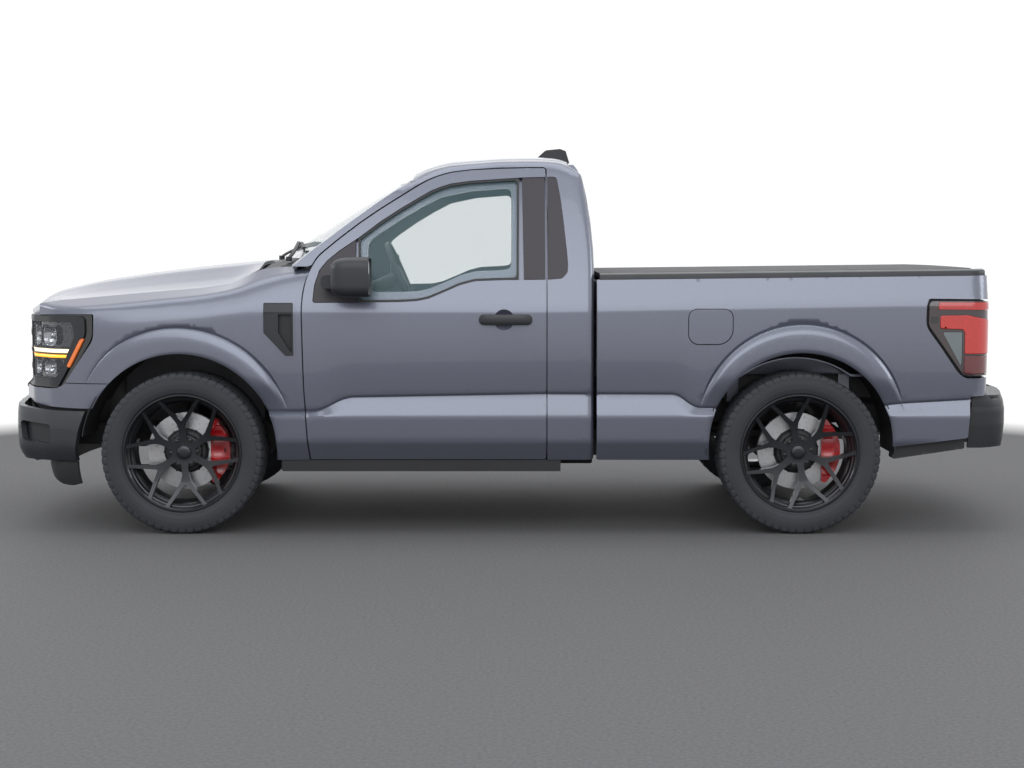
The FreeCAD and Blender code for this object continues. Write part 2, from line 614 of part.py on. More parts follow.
tail_lamp = side_core(0.0, 700.0, 1250.0, bed_front, bed_rear + 30.0).common(rear_round)
tail_lamp = tail_lamp.common(plate_y(lamp_cut, 790.0, outside_y))
tail_core = block(bed_rear - 600.0, bed_rear - 60.0, 700.0, body_half_width - 60.0, 700.0, 1250.0)
tail_lamp = tail_lamp.cut(tail_core)
save("tail_lamps", both(tail_lamp))

bed_floor = block(bed_front, bed_rear - 58.0 - running_gap, -bed_inner_y + 0.2, bed_inner_y - 0.2, bed_floor_z - bed_floor_thickness,
                  bed_floor_z)
house = arch(wheelbase, axle_z, rear_arch_radius + 16.0, 640.0, bed_inner_y - 0.2)
house_hole = arch(wheelbase, axle_z, rear_arch_radius + 6.0, 650.0, bed_inner_y + 10.0)
house = house.cut(block(wheelbase - 600.0, wheelbase + 600.0, 600.0, 900.0, -200.0, bed_floor_z - bed_floor_thickness))
bed_floor = bed_floor.fuse([house, mirrored(house)])
bed_floor = bed_floor.cut(house_hole).cut(mirrored(house_hole))
bed_head = block(bed_front, bed_front + 22.0, -bed_inner_y + 0.2, bed_inner_y - 0.2, bed_floor_z, 1276.0)
under_floor = bed_floor_z - bed_floor_thickness
sills = [block(wheelbase - 330.0, wheelbase - 270.0, -620.0, 620.0, 640.0, under_floor),
         block(wheelbase + 250.0, wheelbase + 310.0, -620.0, 620.0, 640.0, under_floor)]
for sill_station, rail_height in ((bed_front + 90.0, 480.0), (bed_rear - 140.0, 560.0)):
    sills.append(block(sill_station, sill_station + 60.0, -700.0, 700.0, under_floor - 60.0, under_floor))
    post = block(sill_station, sill_station + 60.0, rail_inner, rail_inner + rail_width, rail_height,
                 under_floor - 60.0)
    sills.extend(both(post))
bed_floor = joined([bed_floor, bed_head] + sills)
save("bed_floor", [bed_floor])

def rail_z(station):
    return 1284.0 + 22.0 * (station - bed_front) / (bed_rear - 70.0 - bed_front)


cap_ends = (bed_front + 20.0, bed_rear - 14.0)
rail_cap = plate_y([(cap_ends[0], rail_z(cap_ends[0]) + seat_gap), (cap_ends[0], rail_z(cap_ends[0]) + 32.0, 8.0),
                    (cap_ends[1], rail_z(cap_ends[1]) + 32.0, 8.0), (cap_ends[1], rail_z(cap_ends[1]) + seat_gap)], bed_inner_y + 6.0, body_half_width - 64.0)
save("rail_caps", both(rail_cap))

cover_z = 1342.0
cover_panel = plate_y([(bed_front + 6.0, 1276.0 + seat_gap), (bed_front + 6.0, 1321.0, 6.0),
                       (bed_rear - 30.0, cover_z + 1.0, 6.0), (bed_rear - 30.0, cover_z - cover_thickness),
                       (bed_front + 60.0, 1300.0), (bed_front + 60.0, 1276.0 + seat_gap)],
                      -bed_inner_y, bed_inner_y)
save("bed_cover", [cover_panel])

gate_plan = [(bed_rear - 58.0, -782.0), (bed_rear - 58.0, 782.0), (bed_rear, 782.0), (bed_rear, -782.0)]
gate = plate_z(gate_plan, 766.0, 1300.0)
save("tailgate", [gate])

bumper_plan = [(bed_rear + 8.0, -905.0, 20.0), (bed_rear + 100.0, -900.0, 60.0),
               (rear_end_station, -420.0, 400.0), (rear_end_station, 420.0, 400.0),
               (bed_rear + 100.0, 900.0, 60.0), (bed_rear + 8.0, 905.0, 20.0)]
bumper_wall = 14.0
tow_hole_radius = 13.0
rear_bumper = plate_z(bumper_plan, 430.0, 700.0)
rear_bumper = rear_bumper.cut(plate_z(bumper_plan, 420.0, 700.0 - bumper_wall, -bumper_wall))
tow_hole = rod_z(rear_end_station - 75.0, 0.0, tow_hole_radius, 600.0, 800.0)
rear_bumper = rear_bumper.cut(tow_hole)
save("rear_bumper", [rear_bumper])

# Chassis
rail = plate_y([(-920.0, 500.0), (-700.0, 500.0), (-300.0, 520.0, 60.0), (300.0, 520.0, 60.0), (600.0, 480.0, 60.0),
                (wheelbase - 700.0, 480.0, 90.0), (wheelbase - 380.0, 640.0, 90.0), (wheelbase + 330.0, 640.0, 90.0),
                (wheelbase + 700.0, 560.0, 90.0), (bed_rear + 8.0, 560.0), (bed_rear + 8.0, 440.0),
                (wheelbase + 700.0, 440.0, 90.0), (wheelbase + 330.0, 520.0, 90.0), (wheelbase - 380.0, 520.0, 90.0),
                (wheelbase - 660.0, 340.0, 90.0), (600.0, 340.0, 90.0), (300.0, 400.0, 60.0), (-300.0, 400.0, 60.0),
                (-700.0, 400.0), (-920.0, 400.0)], rail_inner, rail_inner + rail_width)
rail = rail.common(nose(30.0 + seat_gap, 300.0, 700.0, 20.0).fuse(block(-600.0, rear_end_station, 0.0, 700.0, 300.0, 700.0)))
members = [block(-560.0, -480.0, -rail_inner, rail_inner, 420.0, 480.0),
           block(940.0, 1020.0, -rail_inner, rail_inner, 352.0, 402.0),
           block(-80.0, 80.0, -rail_inner - rail_width, rail_inner + rail_width, 300.0, 330.0),
           block(wheelbase - 700.0, wheelbase - 640.0, -rail_inner, rail_inner, 345.0, 400.0),
           block(wheelbase + 520.0, wheelbase + 580.0, -rail_inner, rail_inner, 490.0, 550.0),
           block(bed_rear - 80.0, bed_rear - 12.0, -rail_inner, rail_inner, 450.0, 550.0)]
for piece in (block(-80.0, 80.0, rail_inner + 20.0, rail_inner + rail_width, 330.0, 402.0),
              block(-60.0, 60.0, 300.0, rail_inner, 430.0, 480.0),
              block(80.0, 180.0, 200.0, 240.0, 300.0, 334.0),
              block(-60.0, 60.0, rail_inner + rail_width - 20.0, rail_inner + rail_width, 500.0, 660.0),
              block(-60.0, 60.0, rail_inner + rail_width, 610.0, 640.0, 660.0),
              block(wheelbase - 650.0, wheelbase - 600.0, rail_inner + rail_width, 570.0, 440.0, 500.0),
              block(wheelbase + 600.0, wheelbase + 650.0, rail_inner + rail_width, 570.0, 470.0, 530.0),
              rod_z(700.0, rail_inner + 40.0, 36.0, 478.0, 500.0),
              rod_z(1300.0, rail_inner + 40.0, 36.0, 478.0, 500.0),
              rod_z(1960.0, rail_inner + 40.0, 36.0, 478.0, 500.0)):
    members.extend(both(piece))
frame = joined([rail, mirrored(rail)] + members)
receiver = block(bed_rear - 12.0, bed_rear + 170.0, -34.0, 34.0, 361.0, 429.0)
receiver = receiver.cut(block(bed_rear + 20.0, bed_rear + 180.0, -25.5, 25.5, 369.5, 420.5))
frame = frame.fuse(block(bed_rear - 80.0, bed_rear - 12.0, -rail_inner, rail_inner, 361.0, 452.0))
save("chassis_frame", [frame])
save("tow_receiver", [receiver])

engine = plate_y([(-420.0, 500.0, 30.0), (-420.0, 900.0, 80.0), (-200.0, 1060.0, 60.0), (250.0, 1060.0, 60.0),
                  (330.0, 950.0, 40.0), (330.0, 420.0, 30.0), (-300.0, 420.0, 60.0)], -300.0, 300.0)
gearbox = block(330.0, 1000.0, -150.0, 150.0, 402.0, 492.0)
save("engine", [engine.fuse(gearbox)])

apron = front_body(skin + seat_gap).common(block(-600.0, 484.0, hood_half_width + 7.0, hood_half_width + 24.0, 700.0,
                                                1400.0))
support = [block(-600.0, -550.0, -360.0, 360.0, 480.0, 1040.0),
           block(-600.0, -550.0, -hood_half_width - 24.0, hood_half_width + 24.0, 1000.0, 1050.0),
           block(-600.0, -550.0, rail_inner, rail_inner + 60.0, 495.0, 1010.0),
           block(-600.0, -550.0, -rail_inner - 60.0, -rail_inner, 495.0, 1010.0)]
for y, depth in ((-700.0, lamp_depth), (-640.0, lamp_depth), (-300.0, 46.0), (300.0, 46.0), (640.0, lamp_depth),
                 (700.0, lamp_depth)):
    rib = block(-1000.0, -560.0, y - 12.0, y + 12.0, 1000.0, 1030.0)
    support.append(rib.common(nose(depth + seat_gap, 600.0, 1300.0)))
hood_stop = rod_z(-575.0, 500.0, 16.0, 1040.0, 1400.0).common(front_body(hood_thickness + seat_gap))
support.extend(both(hood_stop))
support.extend(both(apron))
front_frame = joined(support).cut(arch(-10.0, front_arch_z, front_arch_radius + liner_clearance + liner_wall + seat_gap,
                                       -1000.0, 1000.0)).cut(frame)
save("front_structure", [max(front_frame.Solids, key=lambda s: s.Volume)])

liner = arch(-10.0, front_arch_z, front_arch_radius + liner_clearance + liner_wall, 520.0, 945.0)
liner = liner.cut(arch(-10.0, front_arch_z, front_arch_radius + liner_clearance, 500.0, 960.0))
liner = liner.cut(block(-700.0, 700.0, 500.0, 960.0, -200.0, 540.0))
liner = liner.cut(block(-700.0, -400.0, 500.0, 960.0, 500.0, 650.0))
save("arch_liners", both(liner))

arm = plate_z([(-150.0, rail_inner + rail_width), (150.0, rail_inner + rail_width), (26.0, kingpin_y, 12.0),
               (14.0, kingpin_y + 18.0, 8.0), (-14.0, kingpin_y + 18.0, 8.0), (-26.0, kingpin_y, 12.0)], 0.0, 30.0)
arm = arm.cut(plate_z([(-115.0, rail_inner + rail_width + 18.0, 10.0), (115.0, rail_inner + rail_width + 18.0, 10.0),
                       (54.0, 630.0, 10.0), (-54.0, 630.0, 10.0)], -1.0, 31.0))
lower_arm = arm.copy()
upper_arm = arm.copy()
lower_arm.translate(V(0, 0, 300.0))
upper_arm.translate(V(0, 0, 470.0))
damper_seat = block(-60.0, 60.0, 505.0, 615.0, 300.0, 330.0)
lower_arm = lower_arm.fuse(damper_seat)
spring = rod_z(0.0, 560.0, 44.0, 330.0, 640.0)
rack = rod_y(150.0, 360.0, 26.0, -560.0, 560.0)
save("front_suspension", both(upper_arm) + both(lower_arm) + both(spring) + [rack])

hub_face = wheel_y + 12.0 - running_gap
tube_axle = rod_y(wheelbase, axle_z, 48.0, -hub_face, hub_face)
diff = Part.makeSphere(150.0, V(at(wheelbase), 0, axle_z))
caliper_arm = block(wheelbase, wheelbase + 220.0, wheel_y - 100.0, wheel_y - 70.2, axle_z - 45.0, axle_z + 45.0)
axle = tube_axle.fuse([diff, caliper_arm, mirrored(caliper_arm)])
shaft = rod_x(0.0, 445.0, 36.0, 1000.0, wheelbase - 60.0)
leaf = plate_y([(wheelbase - 625.0, 450.0), (wheelbase, 456.0, 3000.0), (wheelbase + 625.0, 480.0),
                (wheelbase + 625.0, 495.0), (wheelbase + 60.0, 492.0, 40.0), (wheelbase - 60.0, 490.0, 40.0),
                (wheelbase - 625.0, 465.0)], 500.0, 560.0).cut(frame).cut(axle)
save("rear_axle", [axle.fuse(shaft), max(leaf.Solids, key=lambda s: s.Volume),
                   mirrored(max(leaf.Solids, key=lambda s: s.Volume))])

pipe = tube([(330.0, -230.0, 440.0), (460.0, -230.0, 300.0), (1900.0, -230.0, 300.0)], 30.0, 90.0)
muffler = plate_x([(-340.0, 262.0, 35.0), (-180.0, 262.0, 35.0), (-180.0, 346.0, 35.0), (-340.0, 346.0, 35.0)],
                  1900.0, 2350.0)
tail = tube([(2350.0, -230.0, 300.0), (2640.0, -230.0, 300.0), (wheelbase - 220.0, -250.0, 530.0),
             (wheelbase + 180.0, -250.0, 530.0), (wheelbase + 430.0, -300.0, 370.0), (wheelbase + 690.0, -560.0, 370.0),
             (wheelbase + 880.0, -590.0, 370.0)], 30.0, 80.0)
save("exhaust", [joined([pipe, muffler, tail]).cut(engine)])

tank = plate_x([(rail_inner + rail_width + seat_gap, 330.0, 30.0), (790.0, 330.0, 60.0), (790.0, 470.0, 40.0),
                (rail_inner + rail_width + seat_gap, 470.0, 20.0)], 1250.0, 2080.0)
save("fuel_tank", [tank])

fin = plate_y([(1806.0, 1880.0), (1806.0, 1936.0, 10.0), (1850.0, 1976.0, 30.0), (1930.0, 1984.0, 16.0),
               (1962.0, 1972.0, 8.0), (1984.0, 1900.0)], -20.0, 20.0).cut(roof_solid(0.0))
save("roof_antenna", [max(fin.Solids, key=lambda s: s.Volume)])

vent_outline = [(419.0, 1112.0, 10.0), (419.0, 1020.0, 10.0), (528.0, 903.0, 6.0), (571.0, 903.0, 6.0), (571.0, 1112.0, 10.0)]
vent = plate_y(vent_outline, 900.0, body_half_width + 2.0).cut(outer_form)
save("fender_vents", both(max(vent.Solids, key=lambda s: s.Volume)))


# Wheels, drawn about the origin with the outside towards +Y
def wheel_parts():
    seat = rim_seat_radius
    flange = rim_flange_radius
    half = 0.5 * rim_width
    inner = seat - rim_wall
    barrel = turned([(flange, half), (flange, half - 8.0), (seat, half - 14.0, 3.0), (seat, half - 34.0, 6.0),
                     (seat - 18.0, half - 56.0, 20.0), (seat - 18.0, -half + 56.0, 20.0), (seat, -half + 34.0, 6.0),
                     (seat, -half + 14.0, 3.0), (flange, -half + 8.0), (flange, -half), (inner + 4.0, -half + 4.0, 6.0),
                     (inner - 18.0, -half + 60.0, 20.0), (inner - 18.0, half - 60.0, 20.0), (inner + 4.0, half - 4.0, 6.0)],
                    front_axle_x, 0.0)
    dish = turned([(0.0, 20.0), (0.0, 70.0), (hub_radius - 6.0, 70.0, 10.0), (fork_radius, 74.0, 60.0),
                   (230.0, 94.0, 60.0), (inner, half - 10.0), (inner, half - 44.0), (230.0, 56.0, 60.0),
                   (fork_radius, 36.0, 30.0), (hub_radius, 20.0)], front_axle_x, 0.0)
    arms = [rod_y(front_axle_x, 0.0, hub_radius, 0.0, 140.0)]
    end = inner + 2.0
    for index in range(spoke_count):
        pieces = [plate_y([(front_axle_x - 25.0, 40.0), (front_axle_x - 17.0, fork_radius + 6.0),
                           (front_axle_x + 17.0, fork_radius + 6.0), (front_axle_x + 25.0, 40.0)], 0.0, 140.0)]
        for sign in (-1.0, 1.0):
            turn = math.radians(fork_angle) * sign
            far = (end * math.sin(turn), end * math.cos(turn))
            wide, narrow = 12.0, 8.5
            nx, nz = math.cos(turn * 1.6), -math.sin(turn * 1.6)
            root = (6.0 * sign, fork_radius - 26.0)
            pieces.append(plate_y([(front_axle_x + root[0] - wide * nx, root[1] - wide * nz),
                                   (front_axle_x + far[0] - narrow * nx, far[1] - narrow * nz),
                                   (front_axle_x + far[0] + narrow * nx, far[1] + narrow * nz),
                                   (front_axle_x + root[0] + wide * nx, root[1] + wide * nz)], 0.0, 140.0))
        for piece in pieces:
            piece.rotate(V(0, 0, 0), V(0, 1, 0), index * 360.0 / spoke_count)
            arms.append(piece)
    star = arms[0].fuse(arms[1:]).common(dish)
    rim = star.fuse(barrel).removeSplitter()
    w = 0.5 * tyre_width
    tread = tyre_radius
    bead = seat + 0.3
    tyre = turned([(bead, half - 33.0), (bead, half - 14.3, 5.0), (flange + 1.0, half - 8.3), (flange + 2.0, half + 4.0, 4.0),
                   (flange + 26.0, w - 3.0, 20.0), (0.5 * (flange + tread) + 2.0, w, 60.0), (tread - 12.0, w - 8.0, 22.0),
                   (tread - 2.0, w - 34.0, 30.0), (tread, 0.0, 2000.0),
                   (tread - 2.0, -w + 34.0, 30.0), (tread - 12.0, -w + 8.0, 22.0),
                   (0.5 * (flange + tread) + 2.0, -w, 60.0), (flange + 26.0, -w + 3.0, 20.0),
                   (flange + 2.0, -half - 4.0, 4.0), (flange + 1.0, -half + 8.3), (bead, -half + 14.3, 5.0), (bead, -half + 33.0),
                   (flange + 14.0, -w + tyre_wall + 8.0, 20.0), (tread - 26.0, -w + tyre_wall + 2.0, 30.0),
                   (tread - tyre_wall, -w + 44.0, 20.0), (tread - tyre_wall, w - 44.0, 20.0),
                   (tread - 26.0, w - tyre_wall - 2.0, 30.0), (flange + 14.0, w - tyre_wall - 8.0, 20.0)],
                  front_axle_x, 0.0)
    disc = turned([(40.0, 12.0), (40.0, 19.7), (hat_radius - 8.0, 19.7, 4.0), (hat_radius, -12.0), (disc_radius, -12.0, 2.0),
                   (disc_radius, -12.0 - disc_thickness, 2.0), (hat_radius - 6.0, -12.0 - disc_thickness),
                   (hat_radius - 14.0, 12.0)], front_axle_x, 0.0)
    return tyre, rim, disc


tyre, rim, disc = wheel_parts()


def fitted(shape, station, side, turn_deg):
    """Copy of a wheel piece at an axle, turned about its own axis; the right side is a mirror image."""
    copy = shape.copy()
    copy.rotate(V(0, 0, 0), V(0, 1, 0), turn_deg)
    copy.translate(V(at(station), wheel_y, axle_z))
    return copy if side > 0 else mirrored(copy)


for name, station, side, turn in (("front_left", 0.0, 1, 3.4), ("front_right", 0.0, -1, 3.4),
                                  ("rear_left", wheelbase, 1, 10.5), ("rear_right", wheelbase, -1, 10.5)):
    save("tyre_" + name, [fitted(tyre, station, side, turn)])
    save("rim_" + name, [fitted(rim, station, side, turn)])
    save("brake_disc_" + name, [fitted(disc, station, side, turn)])

caliper = turned([(138.0, 10.0, 6.0), (226.0, 10.0, 20.0), (226.0, -70.0, 20.0), (138.0, -70.0, 6.0),
                  (138.0, -12.0 - disc_thickness - 4.0), (disc_radius + 6.0, -12.0 - disc_thickness - 4.0),
                  (disc_radius + 6.0, -8.0), (138.0, -8.0)], front_axle_x, 0.0)
front_wedge = plate_y([(front_axle_x + 60.0, -165.0), (front_axle_x + 300.0, -165.0), (front_axle_x + 300.0, 165.0),
                       (front_axle_x + 60.0, 165.0)], -200.0, 200.0)
front_caliper = fitted(caliper.common(front_wedge), 0.0, 1, 0.0)
rear_caliper = fitted(caliper.common(front_wedge), wheelbase, 1, 0.0)
save("front_caliper_left", [front_caliper])
save("front_caliper_right", [mirrored(front_caliper)])
save("rear_calipers", both(rear_caliper))

stub = rod_y(0.0, axle_z, 56.0, wheel_y - 95.0, hub_face)
pin = rod_z(0.0, kingpin_y, 17.0, 330.0 + running_gap, 470.0 - running_gap)
bracket = block(20.0, 226.0, wheel_y - 100.0, wheel_y - 70.2, axle_z - 50.0, axle_z + 50.0)
knuckle = stub.fuse([pin, bracket])
save("knuckle_left", [knuckle])
save("knuckle_right", [mirrored(knuckle)])
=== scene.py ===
"""Two-door pickup truck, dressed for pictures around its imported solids.

Lengths are metres. +X is the front of the truck, +Y its left side, +Z up, and the road is z = 0.
A station is a distance behind the front axle.
"""
import json
import math

import bmesh
import bpy
import numpy as np
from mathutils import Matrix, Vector
from mathutils.geometry import delaunay_2d_cdt


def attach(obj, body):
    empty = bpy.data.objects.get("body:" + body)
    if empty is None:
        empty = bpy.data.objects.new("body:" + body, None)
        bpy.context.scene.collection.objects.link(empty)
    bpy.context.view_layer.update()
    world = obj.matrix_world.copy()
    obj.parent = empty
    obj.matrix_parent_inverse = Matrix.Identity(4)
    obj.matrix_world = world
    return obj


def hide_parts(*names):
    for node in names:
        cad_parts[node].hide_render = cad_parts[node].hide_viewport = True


bl_info = {
    "name": "Pickup truck",
    "version": (1, 0, 0),
    "blender": (4, 5, 0),
    "location": "View3D > Sidebar > Truck",
    "description": "Builds the body panels, wheels, lamps, cabin and studio of a two-door pickup truck",
    "category": "Object",
}

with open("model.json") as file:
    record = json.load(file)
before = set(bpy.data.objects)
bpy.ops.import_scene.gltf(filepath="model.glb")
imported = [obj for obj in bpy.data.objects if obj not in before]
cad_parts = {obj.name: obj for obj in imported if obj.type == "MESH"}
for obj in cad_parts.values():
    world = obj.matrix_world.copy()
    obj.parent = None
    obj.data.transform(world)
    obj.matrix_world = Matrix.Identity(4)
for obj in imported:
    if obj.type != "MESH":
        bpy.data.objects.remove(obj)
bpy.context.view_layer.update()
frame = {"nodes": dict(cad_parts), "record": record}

FRONT_AXLE = 1.665
WHEELBASE = 3.119
TAIL = WHEELBASE + 0.953
BED_FRONT = 2.093
SIDES = (("left", 1.0), ("right", -1.0))


def along(station):
    """X of a station."""
    return FRONT_AXLE - station


# Sizes and colours that a user would change

class TruckSizes(bpy.types.PropertyGroup):
    edge_round: bpy.props.FloatProperty(name="Edge round", description="Radius of pressed and moulded edges",
                                        default=0.0016, min=0.0, unit="LENGTH")
    panel_wall: bpy.props.FloatProperty(name="Panel wall",
                                        description="Thickness of a body panel with its hem",
                                        default=0.01, min=0.001, unit="LENGTH")
    camera_height: bpy.props.FloatProperty(name="Camera height",
                                           description="Height of the camera above the road",
                                           default=1.471, unit="LENGTH")
    camera_distance: bpy.props.FloatProperty(name="Camera distance",
                                             description="Distance from the truck's middle",
                                             default=10.0, unit="LENGTH")


class TruckColours(bpy.types.PropertyGroup):
    paint: bpy.props.FloatVectorProperty(name="Paint", description="Blue-grey metallic body paint", size=3,
                                         subtype="COLOR", default=(0.158, 0.168, 0.21))
    caliper: bpy.props.FloatVectorProperty(name="Brake caliper",
                                           description="Red enamel of the brake calipers",
                                           size=3, subtype="COLOR", default=(0.5, 0.008, 0.012))
    floor: bpy.props.FloatVectorProperty(name="Floor", description="Pale studio floor", size=3,
                                         subtype="COLOR",
                                         default=(0.122, 0.119, 0.118))


# Finishes

MADE = {}


def finish_nodes(name, colour, rough, metal=0.0, coat=0.0, spec=0.5):
    """New material with a principled shader whose plain values sit on its own sockets."""
    mat = bpy.data.materials.new(name)
    mat.use_nodes = True
    tree = mat.node_tree
    shader = tree.nodes["Principled BSDF"]
    shader.inputs["Base Color"].default_value = (*colour, 1.0)
    shader.inputs["Roughness"].default_value = rough
    shader.inputs["Metallic"].default_value = metal
    shader.inputs["Coat Weight"].default_value = coat
    shader.inputs["Coat Roughness"].default_value = 0.04
    shader.inputs["Specular IOR Level"].default_value = spec
    where = tree.nodes.new("ShaderNodeTexCoord")
    return mat, tree, shader, where.outputs["Object"]


def noise_at(tree, where, scale, detail=3.0, rough=0.5):
    """Cloudy noise over the object's own coordinates."""
    node = tree.nodes.new("ShaderNodeTexNoise")
    node.inputs["Scale"].default_value = scale
    node.inputs["Detail"].default_value = detail
    node.inputs["Roughness"].default_value = rough
    tree.links.new(where, node.inputs["Vector"])
    return node.outputs["Fac"]


def ramp(tree, value, low, high, start=0.3, end=0.7):
    """Colour between two tones, by a value."""
    node = tree.nodes.new("ShaderNodeValToRGB")
    node.color_ramp.elements[0].position = start
    node.color_ramp.elements[1].position = end
    node.color_ramp.elements[0].color = (*low, 1.0)
    node.color_ramp.elements[1].color = (*high, 1.0)
    tree.links.new(value, node.inputs["Fac"])
    return node.outputs["Color"]


def spread(tree, value, low, high):
    """A value from 0 to 1, stretched between two limits."""
    node = tree.nodes.new("ShaderNodeMapRange")
    node.inputs["To Min"].default_value = low
    node.inputs["To Max"].default_value = high
    tree.links.new(value, node.inputs["Value"])
    return node.outputs["Result"]


def bump(tree, shader, value, depth, strength=1.0):
    """Fine relief of the surface, of a depth in metres."""
    node = tree.nodes.new("ShaderNodeBump")
    node.inputs["Distance"].default_value = depth
    node.inputs["Strength"].default_value = strength
    tree.links.new(value, node.inputs["Height"])
    tree.links.new(node.outputs["Normal"], shader.inputs["Normal"])
    return node


def tinted(colour, share):
    """Colour times a share, held under 1."""
    return tuple(min(1.0, c * share) for c in colour)


def plain_finish(name, colour, rough, metal=0.0, coat=0.0, grain=900.0, depth=0.00004, vary=0.18, spec=0.5):
    """Finish with slow colour variation, a fine surface grain and uneven gloss."""
    if name in MADE:
        return MADE[name]
    mat, tree, shader, where = finish_nodes(name, colour, rough, metal, coat, spec)
    slow = noise_at(tree, where, 6.0)
    fine = noise_at(tree, where, grain, 2.0)
    tree.links.new(ramp(tree, slow, tinted(colour, 1.0 - vary), tinted(colour, 1.0 + vary)),
                   shader.inputs["Base Color"])
    tree.links.new(spread(tree, slow, rough * 0.85, min(1.0, rough * 1.15)), shader.inputs["Roughness"])
    bump(tree, shader, fine, depth)
    MADE[name] = mat
    return mat


def paint_finish():
    """Metallic paint: fine flakes that vary in tone and tilt under a smooth clear coat."""
    if "body_paint" in MADE:
        return MADE["body_paint"]
    colour = tuple(bpy.context.scene.truck_colours.paint)
    mat, tree, shader, where = finish_nodes("body_paint", colour, 0.32, 0.55, 0.45)
    shader.inputs["Coat Roughness"].default_value = 0.025
    flakes = tree.nodes.new("ShaderNodeTexVoronoi")
    flakes.inputs["Scale"].default_value = 1500.0
    tree.links.new(where, flakes.inputs["Vector"])
    grey = tree.nodes.new("ShaderNodeSeparateColor")
    tree.links.new(flakes.outputs["Color"], grey.inputs["Color"])
    tree.links.new(ramp(tree, grey.outputs["Red"], tinted(colour, 0.86), tinted(colour, 1.16), 0.0, 1.0),
                   shader.inputs["Base Color"])
    tree.links.new(spread(tree, grey.outputs["Green"], 0.27, 0.38), shader.inputs["Roughness"])
    bump(tree, shader, grey.outputs["Blue"], 0.00001, 0.5)
    MADE["body_paint"] = mat
    return mat


def glass_finish(name, tint, alpha):
    """Thin tinted glass: mostly clear, with a mirror-like gloss."""
    if name in MADE:
        return MADE[name]
    mat, tree, shader, where = finish_nodes(name, tint, 0.02, 0.0, 0.0)
    shader.inputs["Alpha"].default_value = alpha
    smear = noise_at(tree, where, 3.0)
    tree.links.new(spread(tree, smear, 0.0, 0.03), shader.inputs["Roughness"])
    mat.surface_render_method = "BLENDED"
    MADE[name] = mat
    return mat


def finish(slot):
    """The finish for a record's material slot."""
    colours = bpy.context.scene.truck_colours
    table = {
        "body_paint": paint_finish,
        "frame_black": lambda: plain_finish("frame_black", (0.022, 0.022, 0.024), 0.5, 0.0, 0.2, 400.0,
                                            0.0001),
        "cast_metal": lambda: plain_finish("cast_metal", (0.16, 0.16, 0.17), 0.6, 0.7, 0.0, 300.0, 0.0003),
        "steel": lambda: plain_finish("steel", (0.42, 0.42, 0.43), 0.34, 1.0, 0.0, 700.0, 0.00005),
        "black_plastic": lambda: plain_finish("black_plastic", (0.018, 0.018, 0.02), 0.55, 0.0, 0.0, 900.0,
                                              0.00015),
        "gloss_black": lambda: plain_finish("gloss_black", (0.008, 0.008, 0.009), 0.16, 0.0, 0.6, 900.0,
                                            0.00001),
        "lamp_clear": lambda: plain_finish("lamp_clear", (0.08, 0.085, 0.095), 0.12, 0.2, 0.8, 500.0,
                                           0.00001),
        "lamp_red": lambda: plain_finish("lamp_red", (0.35, 0.006, 0.012), 0.12, 0.0, 1.0, 500.0, 0.00001),
        "glass": lambda: glass_finish("glass", (0.26, 0.42, 0.43), 0.14),
        "caliper_red": lambda: plain_finish("caliper_red", tuple(colours.caliper), 0.3, 0.0, 0.8, 500.0,
                                            0.00002),
        "tyre": lambda: plain_finish("tyre", (0.038, 0.04, 0.046), 0.72, 0.0, 0.0, 600.0, 0.0002),
        "rim_black": lambda: plain_finish("rim_black", (0.028, 0.029, 0.033), 0.3, 0.6, 0.25, 800.0, 0.00002),
        "seat_cloth": lambda: plain_finish("seat_cloth", (0.05, 0.05, 0.056), 0.9, 0.0, 0.0, 1200.0, 0.0004),
        "leather": lambda: plain_finish("leather", (0.025, 0.025, 0.028), 0.5, 0.0, 0.0, 700.0, 0.0003),
        "cover_black": lambda: plain_finish("cover_black", (0.02, 0.02, 0.022), 0.6, 0.0, 0.0, 700.0, 0.0003),
    }
    return table[slot]()


# Mesh making

def columns(*parts):
    """Points from their coordinates, each given as an array of one shape."""
    return np.stack(parts, axis=-1)


def full_turn(count):
    """Even angles round a circle."""
    return np.linspace(0.0, 2.0 * math.pi, count + 1)[:-1]


def grid(points, wrap_u=False, wrap_v=False):
    """Corners and quads of a sheet whose points are an array of shape (u, v, 3)."""
    nu, nv = points.shape[:2]
    index = np.arange(nu * nv).reshape(nu, nv)
    if wrap_u:
        index = np.vstack([index, index[:1]])
    if wrap_v:
        index = np.hstack([index, index[:, :1]])
    quads = columns(index[:-1, :-1], index[1:, :-1], index[1:, 1:], index[:-1, 1:]).reshape(-1, 4)
    return points.reshape(-1, 3), quads


def settled(name, mesh, slot, body, replaced=(), bevel=0.0, angle=35.0, material=None):
    """Puts a mesh into the scene as a piece, with its finish (its slot's, unless a material is given), rounded
    edges and body, and hides the nodes it replaces.
    """
    thing = bpy.data.objects.new(name, mesh)
    bpy.context.scene.collection.objects.link(thing)
    mesh.materials.clear()
    mesh.materials.append(material or finish(slot))
    if bevel:
        soft = thing.modifiers.new("Edges", "BEVEL")
        soft.width = bevel
        soft.segments = 2
        soft.limit_method = "ANGLE"
        soft.angle_limit = math.radians(angle)
        soft.harden_normals = True
    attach(thing, body)
    if replaced:
        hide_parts(*replaced)
    return thing


def body_of(node):
    """Body that a node of the frame belongs to."""
    for body, nodes in frame["record"]["behaviour"]["bodies"].items():
        if node in nodes:
            return body
    raise ValueError(node)


def slot_of(node):
    """Material slot of a node of the frame."""
    for row in frame["record"]["subparts"]:
        if row["node"] == node:
            return row["material_slot"]
    raise ValueError(node)


